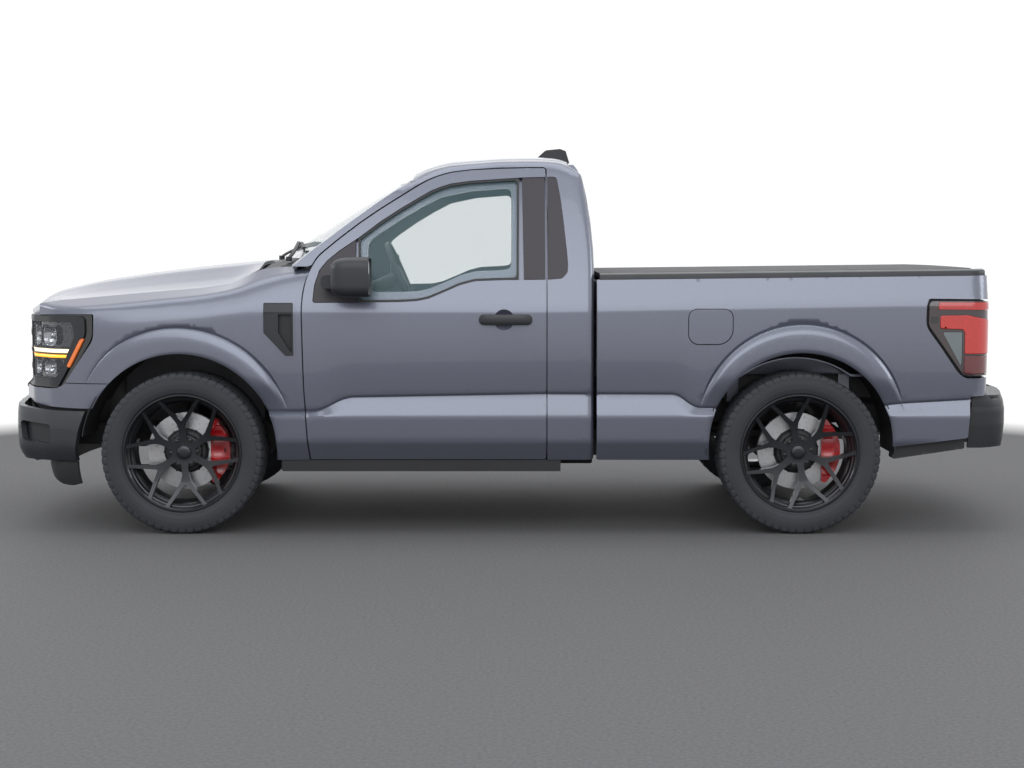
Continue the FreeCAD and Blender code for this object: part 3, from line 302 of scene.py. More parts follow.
def rounded_copy(node, bevel=0.002, angle=30.0):
    """Merged copy of a solid of the frame with rounded edges, which stands for that solid."""
    source = frame["nodes"][node]
    mesh = source.data.copy()
    mesh.name = node + "_soft"
    work = bmesh.new()
    work.from_mesh(mesh)
    work.transform(source.matrix_world)
    bmesh.ops.remove_doubles(work, verts=work.verts, dist=0.00005)
    bmesh.ops.dissolve_limit(work, angle_limit=math.radians(1.0), verts=work.verts, edges=work.edges)
    work.to_mesh(mesh)
    work.free()
    mesh.shade_smooth()
    mesh.set_sharp_from_angle(angle=math.radians(angle))
    return settled(node + "_soft", mesh, slot_of(node), body_of(node), (node,), bevel, angle)


# Shapes in the side view: corners are (station, height, radius)

def outline(corners, step=0.012):
    """Even points along a closed outline with rounded corners: each corner of radius r is cut
    r / tan(half its angle) along both sides and joined by a circular arc."""
    corners = [tuple(c) + (0.0,) * (3 - len(c)) for c in corners]
    parts = []
    count = len(corners)
    for i, (a, b, r) in enumerate(corners):
        here = np.array([a, b])
        u = np.array(corners[i - 1][:2]) - here
        v = np.array(corners[(i + 1) % count][:2]) - here
        lu, lv = np.hypot(*u), np.hypot(*v)
        u, v = u / lu, v / lv
        half = 0.5 * math.acos(max(-1.0, min(1.0, float(u @ v))))
        if r <= 0.0 or half > 1.565:
            parts.append(here[None])
            continue
        cut = min(r / math.tan(half), 0.49 * lu, 0.49 * lv)
        radius = cut * math.tan(half)
        middle = here + (u + v) / np.hypot(*(u + v)) * (radius / math.sin(half))
        start, end = here + u * cut - middle, here + v * cut - middle
        spans = int(radius * (math.pi - 2 * half) / min(step, 0.35 * radius + 1e-4)) + 2
        t = np.linspace(0.0, 1.0, max(3, spans))[:, None]
        turn = math.pi - 2.0 * half
        parts.append(middle + (start * np.sin((1 - t) * turn) + end * np.sin(t * turn)) / math.sin(turn))
    points = np.vstack(parts)
    follow = np.roll(points, -1, axis=0)
    length = np.hypot(*(follow - points).T)
    spans = np.maximum(1, np.round(length / step).astype(int))
    index = np.repeat(np.arange(len(points)), spans)
    share = np.concatenate([np.arange(n) / n for n in spans])[:, None]
    return points[index] * (1 - share) + follow[index] * share


def circle(station, z, radius, step=0.012):
    """Even points round a circle in the side view."""
    a = np.linspace(0.0, 2.0 * math.pi, int(2.0 * math.pi * radius / step) + 1)[:-1]
    return columns(station + radius * np.cos(a), z + radius * np.sin(a))


def path(points, step=0.012):
    """Even points along an open line."""
    points = np.array([p[:2] for p in points], dtype=float)
    length = np.concatenate([[0.0], np.cumsum(np.hypot(*np.diff(points, axis=0).T))])
    d = np.linspace(0.0, length[-1], max(2, int(length[-1] / step) + 1))
    return columns(np.interp(d, length, points[:, 0]), np.interp(d, length, points[:, 1]))


def inside(points, ring):
    """Even-odd test of many points against one closed outline."""
    x, y = points[:, 0][:, None], points[:, 1][:, None]
    x0, y0 = ring[:, 0][None], ring[:, 1][None]
    x1, y1 = np.roll(ring[:, 0], -1)[None], np.roll(ring[:, 1], -1)[None]
    crosses = (y0 > y) != (y1 > y)
    with np.errstate(divide="ignore", invalid="ignore"):
        at = x0 + (y - y0) * (x1 - x0) / np.where(y1 == y0, 1e-12, y1 - y0)
    return (np.sum(crosses & (x < at), axis=1) % 2) == 1


def tiled(ring, holes=(), lines=(), step=(0.03, 0.02), clear=0.45):
    """Triangles that fill an outline, leave its holes open and follow its feature lines."""
    loops = [np.asarray(ring)] + [np.asarray(h) for h in holes]
    chains = [np.asarray(line) for line in lines]
    low, high = loops[0].min(axis=0), loops[0].max(axis=0)
    a = np.arange(low[0], high[0], step[0])
    b = np.arange(low[1], high[1], step[1])
    u, v = np.meshgrid(a, b, indexing="ij")
    u[:, 1::2] += 0.5 * step[0]
    seeds = columns(u.ravel(), v.ravel())
    seeds = seeds[inside(seeds, loops[0])]
    for hole in loops[1:]:
        seeds = seeds[~inside(seeds, hole)]
    fixed = np.vstack(loops + chains)
    scale = np.array([1.0 / step[0], 1.0 / step[1]])
    keep = np.ones(len(seeds), dtype=bool)
    for start in range(0, len(seeds), 2000):
        part = seeds[start:start + 2000]
        gap = np.min(np.sum(((part[:, None] - fixed[None]) * scale) ** 2, axis=-1), axis=1)
        keep[start:start + 2000] = gap > clear ** 2
    points = np.vstack([fixed, seeds[keep]])
    edges, start = [], 0
    for loop in loops:
        n = len(loop)
        edges += [(start + i, start + (i + 1) % n) for i in range(n)]
        start += n
    for chain in chains:
        edges += [(start + i, start + i + 1) for i in range(len(chain) - 1)]
        start += len(chain)
    made = delaunay_2d_cdt([Vector(p) for p in points.tolist()], edges, [], 0, 1e-6, False)
    corners = np.array([tuple(p) for p in made[0]])
    faces = np.array(made[2])
    middle = corners[faces].mean(axis=1)
    good = inside(middle, loops[0])
    for hole in loops[1:]:
        good &= ~inside(middle, hole)
    return corners, faces[good]


def shell(flat, faces, outer, inner):
    """Closed wall between two liftings of one flat tiling, with a rim round its edges. The outer
    face looks towards +Y, or up where the sheet is level."""
    top, low = outer(flat), inner(flat)
    n = len(flat)
    a, b, c = top[faces[:, 0]], top[faces[:, 1]], top[faces[:, 2]]
    facing = np.cross(b - a, c - a).sum(axis=0)
    if facing[1] + 0.6 * facing[2] < 0.0:
        faces = faces[:, ::-1]
    sides = np.vstack([faces[:, [0, 1]], faces[:, [1, 2]], faces[:, [2, 0]]])
    code = np.sort(sides, axis=1)
    key = code[:, 0].astype(np.int64) * n + code[:, 1]
    _, first, counts = np.unique(key, return_index=True, return_counts=True)
    rim = sides[first[counts == 1]]
    walls = columns(rim[:, 1], rim[:, 0], rim[:, 0] + n, rim[:, 1] + n)
    return np.vstack([top, low]), faces.tolist() + (faces[:, ::-1] + n).tolist() + walls.tolist()


def walled(ring, holes, lines, step, outer, inner):
    """Closed wall over an outline: its tiling, lifted onto an outer and an inner surface."""
    return shell(*tiled(ring, holes, lines, step), outer, inner)


def inward(surface, depth):
    """The surface, moved in by a depth."""
    return lambda flat: surface(flat, depth)


def upright(y):
    """Upright plane over (station, height), at a half width."""
    return lambda flat: columns(along(flat[:, 0]), y + 0.0 * flat[:, 0], flat[:, 1])


def level(height):
    """The same height at every radius."""
    return lambda r: height + 0.0 * r


def opposite(line):
    """Mirror image of a line about the middle, run the other way."""
    return (line * np.array([-1.0, 1.0]))[::-1]


def soft_min(a, b, reach):
    """Smaller of two values, with the corner between them rounded over a reach."""
    h = np.clip(0.5 + 0.5 * (b - a) / reach, 0.0, 1.0)
    return b * (1 - h) + a * h - reach * h * (1 - h)


def blurred(x, xs, ys, reach):
    """Straight runs between (xs, ys), with each corner rounded over a reach that may vary with x."""
    total = 0.0
    for share, weight in ((-1.0, 0.08), (-0.66, 0.17), (-0.33, 0.16), (0.0, 0.18), (0.33, 0.16),
                          (0.66, 0.17), (1.0, 0.08)):
        total = total + weight * np.interp(x + share * reach, xs, ys)
    return total


def step_up(x, low, high):
    """Smooth step from 0 to 1 between two limits: t squared times (3 - 2t)."""
    t = np.clip((x - low) / (high - low), 0.0, 1.0)
    return t * t * (3.0 - 2.0 * t)


# Master surfaces of the body: half width for a station and a height

SECTION = np.array([(0.34, 0.905), (0.373, 0.945), (0.461, 0.984), (0.471, 0.9865), (0.601, 0.99),
                    (0.695, 0.962),
                    (0.706, 0.972), (1.119, 0.985), (1.16, 0.978), (1.282, 0.945), (1.87, 0.728),
                    (1.96, 0.695)])
SOFTNESS = np.array([(0.44, 0.004), (0.48, 0.005), (0.58, 0.007), (0.62, 0.007), (0.69, 0.003),
                     (0.712, 0.003),
                     (0.8, 0.03), (1.05, 0.03), (1.11, 0.007), (1.13, 0.007), (1.16, 0.02), (1.25, 0.05),
                     (1.9, 0.05)])
CREASE = np.array([(0.0, 0.621), (0.64, 0.621), (0.69, 0.624), (0.735, 0.64), (0.795, 0.674), (0.85, 0.691),
                   (1.837, 0.709), (2.485, 0.706), (2.515, 0.694), (2.561, 0.656), (2.6, 0.638),
                   (2.72, 0.636),
                   (3.5, 0.645), (3.616, 0.659), (3.967, 0.679), (4.2, 0.69)])
NOSE = np.array([(-0.938, 0.0), (-0.922, 0.28), (-0.878, 0.56), (-0.795, 0.76), (-0.67, 0.885),
                 (-0.49, 0.955),
                 (-0.26, 0.985), (0.0, 1.0), (0.3, 1.02)])
ARCHES = {"front": ((-0.01, 0.424, 0.489), (-0.014, 0.471, 0.57)),
          "rear": ((3.123, 0.454, 0.464), (3.126, 0.541, 0.52))}
UPPER = np.array([  # station, height at the hood line, half width and height of the shoulder
    (-0.98, 1.048, 0.952, 1.01), (-0.9, 1.104, 0.952, 1.056), (-0.82, 1.142, 0.952, 1.092),
                  (-0.69, 1.172, 0.952, 1.12),
    (-0.44, 1.193, 0.952, 1.142), (-0.2, 1.214, 0.951, 1.166), (0.1, 1.238, 0.948, 1.198),
                  (0.25, 1.258, 0.944, 1.226),
    (0.3, 1.288, 0.941, 1.238), (0.365, 1.328, 0.938, 1.258), (0.42, 1.342, 0.933, 1.276),
                  (0.5, 1.347, 0.928, 1.3),
    (0.62, 1.352, 0.92, 1.326), (0.7, 1.356, 0.916, 1.338)])
FENDER_TOP = 0.806


def crease_at(s):
    """Height of the lower crease at a station."""
    return blurred(s, CREASE[:, 0], CREASE[:, 1], 0.02)


def shoulder_rise(s):
    """How much the shoulder line has risen at a station behind the door."""
    return 0.03 * np.clip((s - 1.84) / 1.77, 0.0, 1.0)


def flank(s, z):
    """Half width: the side section, moved so that its lower crease and its shoulder follow their own
    lines along the truck, with a slight crown between them."""
    low = crease_at(s)
    h = np.where(z < 0.601, z, np.where(z < low, 0.601 + (z - 0.601) * 0.094 / (low - 0.601),
        np.where(z < low + 0.011, z - low + 0.695, 0.706 + (z - low - 0.011) * 0.294 / (0.989 - low))))
    h = np.where(z < 1.0, h, z - shoulder_rise(s) * step_up(z, 1.0, 1.1))
    reach = np.interp(h, SOFTNESS[:, 0], SOFTNESS[:, 1])
    y = blurred(h, SECTION[:, 0], SECTION[:, 1], reach)
    y = y + 0.005 * np.sin(math.pi * np.clip((h - 0.712) / 0.4, 0.0, 1.0))
    return y + 0.006 * np.sin(math.pi * np.clip((h - 1.3) / 0.58, 0.0, 1.0))


def outer_ring(which):
    """Outer line of a flare: a circle, drawn in a little in front of the front wheel."""
    cs, cz, radius = ARCHES[which][1]
    a = np.linspace(-0.6, math.pi + 0.6, 260)
    r = radius - (0.026 * (1.0 - step_up(math.pi - a, 0.3, 1.1)) if which == "front" else 0.0 * a)
    return columns(cs + r * np.cos(a), cz + r * np.sin(a))


def flare_depth(which, s, z):
    """Distance inside the flare's outer line, and outside the arch's edge."""
    (ai, bi, ri), (ao, bo, ro) = ARCHES[which]
    turn = np.arctan2(z - bo, s - ao)
    radius = ro
    if which == "front":
        radius = ro - 0.026 * (1.0 - step_up(math.pi - turn, 0.3, 1.1)) * (turn > 0.0)
    narrow = 0.45 + 0.55 * np.clip(np.sin(turn), 0.0, 1.0) ** 1.5
    return (radius - np.hypot(s - ao, z - bo)) / narrow, np.hypot(s - ai, z - bi) - ri


def swollen(s, z, y):
    """Adds both wheel-arch flares: a groove, a small crisp step, a chamfer that faces up and a flat band,
    with a rolled lip at the arch."""
    for which, top, chamfer in (("front", 0.026, 0.052), ("rear", 0.025, 0.04)):
        rho, lip = flare_depth(which, s, z)
        near = np.abs(s - ARCHES[which][0][0]) < 0.75
        bump = blurred(rho, [-0.02, 0.0, 0.003, chamfer, 0.3], [0.0, 0.0, 0.005, top, top + 0.006],
                       0.0022 + 0.25 * np.clip(rho - 0.004, 0.0, 0.05))
        fade = step_up(z, 0.615, 0.8)
        bump = bump - 0.008 * np.exp(-((rho + 0.003) / 0.005) ** 2)
        roll = 0.007 * np.exp(-np.clip(lip, 0.0, 1.0) / 0.007)
        y = y + np.where(near & (rho > -0.02), bump * fade, 0.0) - np.where(near & (lip < 0.1), roll, 0.0)
    return y


def nose_half(s):
    """Half width of the nose in plan, at a station."""
    return blurred(s, NOSE[:, 0], NOSE[:, 1], 0.03)


def front_side(flat, inset=0.0):
    """Fender surface over (station, girth): girth is the height on the flank, and goes on round the
    shoulder to the hood line."""
    s, w = flat[:, 0], flat[:, 1]
    edge, cy, cz = (blurred(s, UPPER[:, 0], UPPER[:, k], 0.05) for k in (1, 2, 3))
    start = cz - 0.092 + 0.02 * step_up(s, 0.2, 0.6)
    y0 = flank(s, start)
    run = np.hypot(cy - y0, cz - start)
    over = np.hypot(FENDER_TOP - cy, edge - cz)
    ys, zs = 0.0, 0.0
    reach = 0.034 * step_up(w, start - 0.07, start)
    for share, weight in ((-1.0, 0.12), (-0.5, 0.22), (0.0, 0.32), (0.5, 0.22), (1.0, 0.12)):
        d = w + share * reach - start
        a = np.clip(d / run, 0.0, 1.0)
        b = np.clip((d - run) / over, 0.0, 1.2)
        y = np.where(d < 0.0, flank(s, np.minimum(start, d + start)),
                     y0 + (cy - y0) * a + (FENDER_TOP - cy) * b)
        z = np.where(d < 0.0, d + start, start + (cz - start) * a + (edge - cz) * b)
        ys, zs = ys + weight * y, zs + weight * z
    ys = swollen(s, zs, ys)
    ys = soft_min(ys, nose_half(s) + 0.0 * ys, 0.03)
    return columns(along(s), ys - inset, zs - inset * 0.7 * step_up(w, start, start + 0.15))


def fender_girth(s):
    """Girth at which the fender meets the hood line."""
    edge, cy, cz = (blurred(s, UPPER[:, 0], UPPER[:, k], 0.05) for k in (1, 2, 3))
    start = cz - 0.092 + 0.02 * step_up(s, 0.2, 0.6)
    return start + np.hypot(cy - flank(s, start), cz - start) + np.hypot(FENDER_TOP - cy, edge - cz)


def side(flat, inset=0.0):
    """Side surface over (station, height)."""
    s, z = flat[:, 0], flat[:, 1]
    return columns(along(s), swollen(s, z, flank(s, z)) - inset, z)


CORNER = 0.095
CORNER_START = TAIL - CORNER
CORNER_END = CORNER_START + 0.5 * math.pi * CORNER


def bed_surface(flat, inset=0.0):
    """Bed side over (girth, height): past the corner's start, girth goes round to the rear face."""
    a, z = flat[:, 0], flat[:, 1]
    turn = np.clip((a - CORNER_START) / CORNER, 0.0, 0.5 * math.pi)
    past = np.clip(a - CORNER_END, 0.0, 1.0)
    s = np.minimum(a, CORNER_START) + (CORNER - inset) * np.sin(turn)
    y = swollen(s, z, flank(np.minimum(a, CORNER_START),
                            z)) - inset - (CORNER - inset) * (1.0 - np.cos(turn)) - past
    return columns(along(s), y, z)


ROOF = np.array([(1.1, 0.668, 1.772, 1.8), (1.168, 0.69, 1.808, 1.846), (1.23, 0.708, 1.832, 1.878),
                 (1.34, 0.717, 1.86, 1.906),
                 (1.6, 0.718, 1.88, 1.925), (1.8, 0.718, 1.882, 1.929), (1.925, 0.712, 1.874, 1.921),
                 (1.99, 0.698, 1.846, 1.88)])
DITCH = 0.64
CAB_BACK = np.array([(1.972, 1.925), (1.998, 1.877), (2.017, 1.833), (2.03, 1.777), (2.049, 1.663),
                     (2.064, 1.56),
                     (2.076, 1.431), (2.079, 1.338), (2.079, 0.379)])
CAB_ROUND = 0.042


def roof_height(s, y):
    """Roof: a crown across it between the heights of its side and its middle."""
    half, edge, middle = (blurred(s, ROOF[:, 0], ROOF[:, k], 0.045) for k in (1, 2, 3))
    t = np.clip(np.abs(y) / half, 0.0, 1.05)
    return middle - (middle - edge) * (0.55 * t ** 2 + 0.45 * t ** 5)


def cab_surface(flat, inset=0.0):
    """Cab side over (station, girth): girth is the height, and goes on over the roof rail to the ditch.
    Near the rear edge the outer face falls in a quarter round."""
    s, w = flat[:, 0], flat[:, 1]
    near = np.clip(1.0 - (np.interp(w, CAB_BACK[::-1, 1], CAB_BACK[::-1, 0]) - s) / CAB_ROUND, 0.0, 1.0)
    inset = np.maximum(inset, (CAB_ROUND - 0.004) * (1.0 - np.sqrt(1.0 - near ** 2)))
    half, edge = (blurred(s, ROOF[:, 0], ROOF[:, k], 0.045) for k in (1, 2))
    start = edge - 0.03
    y0 = flank(s, start)
    end = roof_height(s, DITCH)
    run = np.hypot(half - y0, edge - start)
    over = np.hypot(half - DITCH, end - edge)
    ys, zs = 0.0, 0.0
    reach = 0.022 * step_up(w, start - 0.04, start) * (s > 1.0)
    for share, weight in ((-1.0, 0.12), (-0.5, 0.22), (0.0, 0.32), (0.5, 0.22), (1.0, 0.12)):
        d = w + share * reach - start
        a = np.clip(d / run, 0.0, 1.0)
        b = np.clip((d - run) / over, 0.0, 1.2)
        y = np.where(d < 0.0, flank(s, np.minimum(start, d + start)),
                     y0 + (half - y0) * a + (DITCH - half) * b)
        z = np.where(d < 0.0, d + start, start + (edge - start) * a + (end - edge) * b)
        ys, zs = ys + weight * y, zs + weight * z
    return columns(along(s), ys - inset * (1.0 - 0.6 * step_up(w, start, start + 0.08)),
                     zs - inset * 0.8 * step_up(w, start, start + 0.08))


def cab_girth(s):
    """Girth at which the cab side meets the roof's ditch."""
    half, edge = (blurred(s, ROOF[:, 0], ROOF[:, k], 0.045) for k in (1, 2))
    over = np.hypot(half - DITCH, roof_height(s, DITCH) - edge)
    return edge - 0.03 + np.hypot(half - flank(s, edge - 0.03), 0.03) + over


def grown(ring, distance):
    """Closed outline moved outwards (or inwards, if negative) along its own normals."""
    ring = np.asarray(ring)
    ahead, behind = np.roll(ring, -1, axis=0), np.roll(ring, 1, axis=0)
    t = ahead - behind
    t = t / np.maximum(np.hypot(*t.T), 1e-9)[:, None]
    area = np.sum(ring[:, 0] * ahead[:, 1] - ahead[:, 0] * ring[:, 1])
    normal = columns(t[:, 1], -t[:, 0]) * (1.0 if area > 0.0 else -1.0)
    return ring + normal * distance


def crease_lines(s0, s1):
    """Feature lines that the tiling follows along the pressed edges of the side."""
    s = np.linspace(s0, s1, int((s1 - s0) / 0.014) + 2)
    low = crease_at(s)
    rows = [low - 0.004, low, low + 0.0055, low + 0.011, low + 0.015, 0.594 + 0.0 * s, 0.601 + 0.0 * s,
            0.608 + 0.0 * s,
            0.457 + 0.0 * s, 0.461 + 0.0 * s, 0.471 + 0.0 * s]
    rows += [1.119 + d + shoulder_rise(s) for d in (-0.007, 0.0, 0.007)]
    return [columns(s, row) for row in rows]


def flare_lines(which):
    """Feature lines along a flare, at set distances inside its outer line."""
    (ai, bi, ri), (ao, bo, _) = ARCHES[which]
    ring = outer_ring(which)
    middle = np.array([ao, bo])
    lines = []
    for rho in (-0.012, -0.007, -0.003, 0.0, 0.003, 0.008, 0.016, 0.026, 0.038, 0.052):
        away = ring - middle
        length = np.hypot(*away.T)[:, None]
        narrow = 0.45 + 0.55 * np.clip(away[:, 1:] / length, 0.0, 1.0) ** 1.5
        line = middle + away / length * (length - rho * narrow)
        good = (line[:, 1] > 0.615) & (np.hypot(line[:, 0] - ai, line[:, 1] - bi) > ri + 0.014)
        lines.append(line[good][::2])
    a = np.linspace(-0.3, math.pi + 0.3, 150)
    for lip in (0.005, 0.012, 0.022):
        lines.append(columns(ai + (ri + lip) * np.cos(a), bi + (ri + lip) * np.sin(a)))
    return lines


def kept(lines, ring, margin=0.004):
    """Parts of lines that lie inside an outline, each a chain of its own."""
    chains = []
    for line in lines:
        line = np.asarray(line)
        good = inside(line, grown(ring, -margin))
        index = np.flatnonzero(good)
        if len(index) < 2:
            continue
        cuts = np.flatnonzero(np.diff(index) > 1) + 1
        for run in np.split(index, cuts):
            if len(run) > 1:
                chains.append(line[run])
    return chains


# Outlines of the panels, as (station, height or girth, corner radius)

DOOR_FRONT = [(0.65, 0.377), (0.64, 0.461), (0.621, 0.737), (0.617, 0.899), (0.613, 1.128), (0.615, 1.183),
              (0.621, 1.233), (0.636, 1.298), (0.662, 1.353), (0.689, 1.399)]
DOOR_TOP = [(0.792, 1.485), (0.894, 1.564), (0.996, 1.635), (1.098, 1.7), (1.199, 1.764), (1.25, 1.791),
            (1.301, 1.811), (1.352, 1.825), (1.453, 1.838), (1.605, 1.846), (1.757, 1.849),
            (1.836, 1.849, 0.012)]
WINDOW = [(0.664, 1.168, 0.012), (0.672, 1.256), (0.696, 1.332), (0.736, 1.382), (0.797, 1.432),
          (0.888, 1.493),
          (1.0, 1.578), (1.101, 1.644), (1.202, 1.704), (1.253, 1.734), (1.303, 1.754), (1.354, 1.77),
          (1.454, 1.784), (1.606, 1.794), (1.716, 1.801), (1.834, 1.804), (1.834, 1.284), (1.605, 1.281),
          (1.479, 1.276), (1.403, 1.256), (1.352, 1.233), (1.251, 1.19), (1.19, 1.177), (1.099, 1.172)]
VENT = [(0.419, 1.17, 0.008), (0.57, 1.17, 0.008), (0.571, 0.901, 0.008), (0.528, 0.901, 0.012),
        (0.419, 1.018, 0.012)]
FUEL_DOOR = [(2.553, 0.961, 0.05), (2.553, 1.136, 0.042), (2.773, 1.136, 0.042), (2.773, 0.961, 0.075)]


def panel_wall():
    """Thickness of a pressed panel, as the panel of sizes says."""
    return bpy.context.scene.truck_sizes.panel_wall


def soft_line(points, step=0.012):
    """Open line through points, with its corners softened."""
    line = path(points, step)
    for _ in range(6):
        line[1:-1] = 0.25 * line[:-2] + 0.5 * line[1:-1] + 0.25 * line[2:]
    return line


def arc_points(which, z0, z1, step=0.011):
    """Arch edge from height z0 on its rear side, over the top, to height z1 on its front side."""
    s, z, r = ARCHES[which][0]
    a0, a1 = math.asin((z0 - z) / r), math.pi - math.asin((z1 - z) / r)
    a = np.linspace(a0, a1, int((a1 - a0) * r / step) + 2)
    return columns(s + r * np.cos(a), z + r * np.sin(a))


def spaced(ring, least=0.004):
    """Drops points that lie closer than a least distance to the one before them."""
    ring = np.asarray(ring)
    for _ in range(4):
        gap = np.hypot(*(ring - np.roll(ring, 1, axis=0)).T)
        drop = gap < least
        drop[1:] &= ~drop[:-1]
        ring = ring[~drop]
    return ring


def fender_ring():
    """Outline of a front fender, from the hood line round the door gap, the arch and the lamp."""
    s = np.linspace(-0.745, 0.652, 110)
    top = columns(s, fender_girth(s))
    rear = np.array([(0.653, 1.345), (0.63, 1.298), (0.6145, 1.233), (0.6085, 1.183), (0.6065, 1.128),
                     (0.6105, 0.899),
                     (0.6145, 0.737), (0.6335, 0.461), (0.643, 0.373)])
    parts = [top, soft_line(rear)[1:], path([(0.643, 0.373), (0.478, 0.373)])[1:-1],
             arc_points("front", 0.373, 0.7625)]
    lamp_line = np.vstack([path([(-0.372, 0.7625), (-0.59, 0.7625)]),
                           soft_line([(-0.597, 0.7625), (-0.4405, 0.98), (-0.438, 1.04), (-0.438, 1.108)]),
                           path([(-0.444, 1.1145), (-0.745, 1.1145)])])
    return spaced(np.vstack(parts + [lamp_line]))


def vent_ring():
    """Outline of the fender vent."""
    return outline(VENT, 0.008)


def door_ring(whole=False):
    """Outline of a door, whole or with its window cut out through the rear edge."""
    outer = np.vstack([soft_line(DOOR_FRONT + DOOR_TOP[:-1]), path([DOOR_TOP[-2], (1.829, 1.849)])[1:],
                       path([(1.836, 1.843), (1.838, 1.182), (1.838, 0.383)])])
    if whole:
        return spaced(np.vstack([outer, path([(1.832, 0.377), (0.65, 0.377)])[:-1]]))
    top = path([(1.836, 1.843), (1.836, 1.806)])[:-1]
    window = outline(WINDOW, 0.012)
    cut = window[window[:, 0] < 1.8335]
    first = int(np.argmax(np.hypot(*np.diff(np.vstack([cut, cut[:1]]), axis=0).T)))
    cut = np.roll(cut, -(first + 1), axis=0)
    if cut[0, 1] < 1.5:
        cut = cut[::-1]
    cut = np.vstack([[(1.836, 1.8045)], cut, [(1.836, 1.2835)]])
    low = path([(1.8372, 1.276), (1.838, 0.383)])
    return spaced(np.vstack([soft_line(DOOR_FRONT + DOOR_TOP[:-1]), path([DOOR_TOP[-2], (1.829, 1.849)])[1:],
                             top, cut, low,
                             path([(1.832, 0.377), (0.65, 0.377)])[:-1]]))


def cab_ring():
    """Outline of a cab side, round the door opening."""
    door = grown(door_ring(True), 0.0065)
    start = int(np.argmin(np.hypot(door[:, 0] - 0.6555, door[:, 1] - 1.352)))
    end = int(np.argmin(np.hypot(door[:, 0] - 1.8445, door[:, 1] - 0.385)))
    inner = door[start:end]
    screen = soft_line([(0.56, 1.349), (0.582, 1.366), (0.634, 1.412), (0.839, 1.569), (0.993, 1.681),
                        (1.095, 1.749), (1.15, 1.783)])
    s = np.linspace(1.165, 1.962, 66)
    ditch = columns(s, cab_girth(s))
    back = soft_line(CAB_BACK)
    low = path([(2.073, 0.373), (1.845, 0.373)])
    return spaced(np.vstack([screen, ditch, back, low, inner[::-1],
                             path([(0.65, 1.3495), (0.565, 1.349)])[1:-1]]))


def bed_ring():
    """Outline of a bed side, round the lamp cut, the bumper and the arch."""
    s = np.linspace(BED_FRONT, CORNER_START, 150)
    rail = columns(s, rail_height(s))
    end = CORNER_END + 0.108
    rail_end = path([(CORNER_START, rail[-1, 1]), (end, rail[-1, 1])])[1:]
    upper = path([(end, rail[-1, 1] - 0.01), (end, 1.186)])
    cut = soft_line([(3.757, 1.188), (3.744, 1.172), (3.741, 1.05), (3.815, 0.95), (3.909, 0.815),
                     (3.925, 0.797), (3.95, 0.79)])
    cut = np.vstack([path([(end - 0.01, 1.184), (3.765, 1.19)]), cut,
                     path([(3.962, 0.7885), (end - 0.01, 0.79)])])
    lower = path([(end, 0.79), (end, 0.708)])
    under = np.vstack([path([(end - 0.005, 0.702), (3.99, 0.698)]), path([(3.976, 0.694), (3.962, 0.494)]),
                       path([(3.955, 0.488), (3.592, 0.443)])])
    front = path([(2.664, 0.373), (BED_FRONT, 0.373)])[1:-1]
    leading = path([(BED_FRONT, 0.378), (BED_FRONT, 1.279)])
    return spaced(np.vstack([rail, rail_end, upper, cut, lower, under, arc_points("rear", 0.443, 0.373),
                             front, leading]))


def piece_from(name, shape, slot, body, replaced=(), bevel=None, angle=38.0, material=None):
    """Object from one closed wall (corners, faces) with its edges rounded, by the panel of sizes where no
    radius is given."""
    bevel = bpy.context.scene.truck_sizes.edge_round if bevel is None else bevel
    mesh = bpy.data.meshes.new(name)
    mesh.from_pydata(shape[0].tolist(), [], shape[1])
    mesh.validate()
    mesh.shade_smooth()
    mesh.set_sharp_from_angle(angle=math.radians(angle))
    return settled(name, mesh, slot, body, replaced, bevel, angle, material)


def mirrored_shape(shape):
    """Mirror image of a shape on the other side of the truck."""
    return shape[0] * np.array([1.0, -1.0, 1.0]), [face[::-1] for face in shape[1]]


def pair(name, shape, slot, bodies, nodes, bevel=None, angle=38.0, material=None):
    """A piece and its mirror image, on the left and on the right."""
    made = []
    for (hand, sign), body, replaced in zip(SIDES, bodies, nodes):
        made.append(piece_from(name + "_" + hand, shape if sign > 0.0 else mirrored_shape(shape), slot, body,
                               replaced, bevel, angle, material))
    return made


class TRUCK_OT_fenders(bpy.types.Operator):
    """Press both front fenders, with their flares and vent holes"""
    bl_idname = "truck.fenders"
    bl_label = "Front fenders"

    def execute(self, context):
        ring = fender_ring()
        hole = grown(vent_ring(), 0.003)
        lines = kept(crease_lines(0.3, 0.66)[:11] + flare_lines("front"), ring)
        shape = walled(ring, [hole], lines, (0.026, 0.017), front_side, inward(front_side, panel_wall()))
        pair("fender", shape, "body_paint", ("truck", "truck"), (("fender_left",), ("fender_right",)))
        return {"FINISHED"}


class TRUCK_OT_doors(bpy.types.Operator):
    """Press both door skins round their windows"""
    bl_idname = "truck.doors"
    bl_label = "Door skins"

    def execute(self, context):
        ring = door_ring()
        shape = walled(ring, [circle(*CUP, 0.0525, 0.008)], kept(crease_lines(0.62, 1.84), ring),
                       (0.03, 0.02), side, inward(side, 0.03))
        pair("door_skin", shape, "body_paint", ("door_left", "door_right"), (("door_left",), ("door_right",)))
        return {"FINISHED"}


class TRUCK_OT_cab(bpy.types.Operator):
    """Press both cab sides, from the screen pillar over the door to the rear quarter"""
    bl_idname = "truck.cab"
    bl_label = "Cab sides"

    def execute(self, context):
        ring = cab_ring()
        rim = soft_line(CAB_BACK)
        rounds = [rim - [CAB_ROUND * (1.0 - math.sin(math.radians(turn))), 0.0]
                  for turn in (10, 25, 40, 55, 70, 82)]
        lines = kept(crease_lines(1.84, 2.03) + rounds, ring)
        shape = walled(ring, [grown(outline(CAB_PATCH, 0.012), 0.0012)], lines, (0.024, 0.016), cab_surface,
                       inward(cab_surface, 0.045))
        pair("cab_skin", shape, "body_paint", ("truck", "truck"), (("cab_side_left",), ("cab_side_right",)))
        return {"FINISHED"}


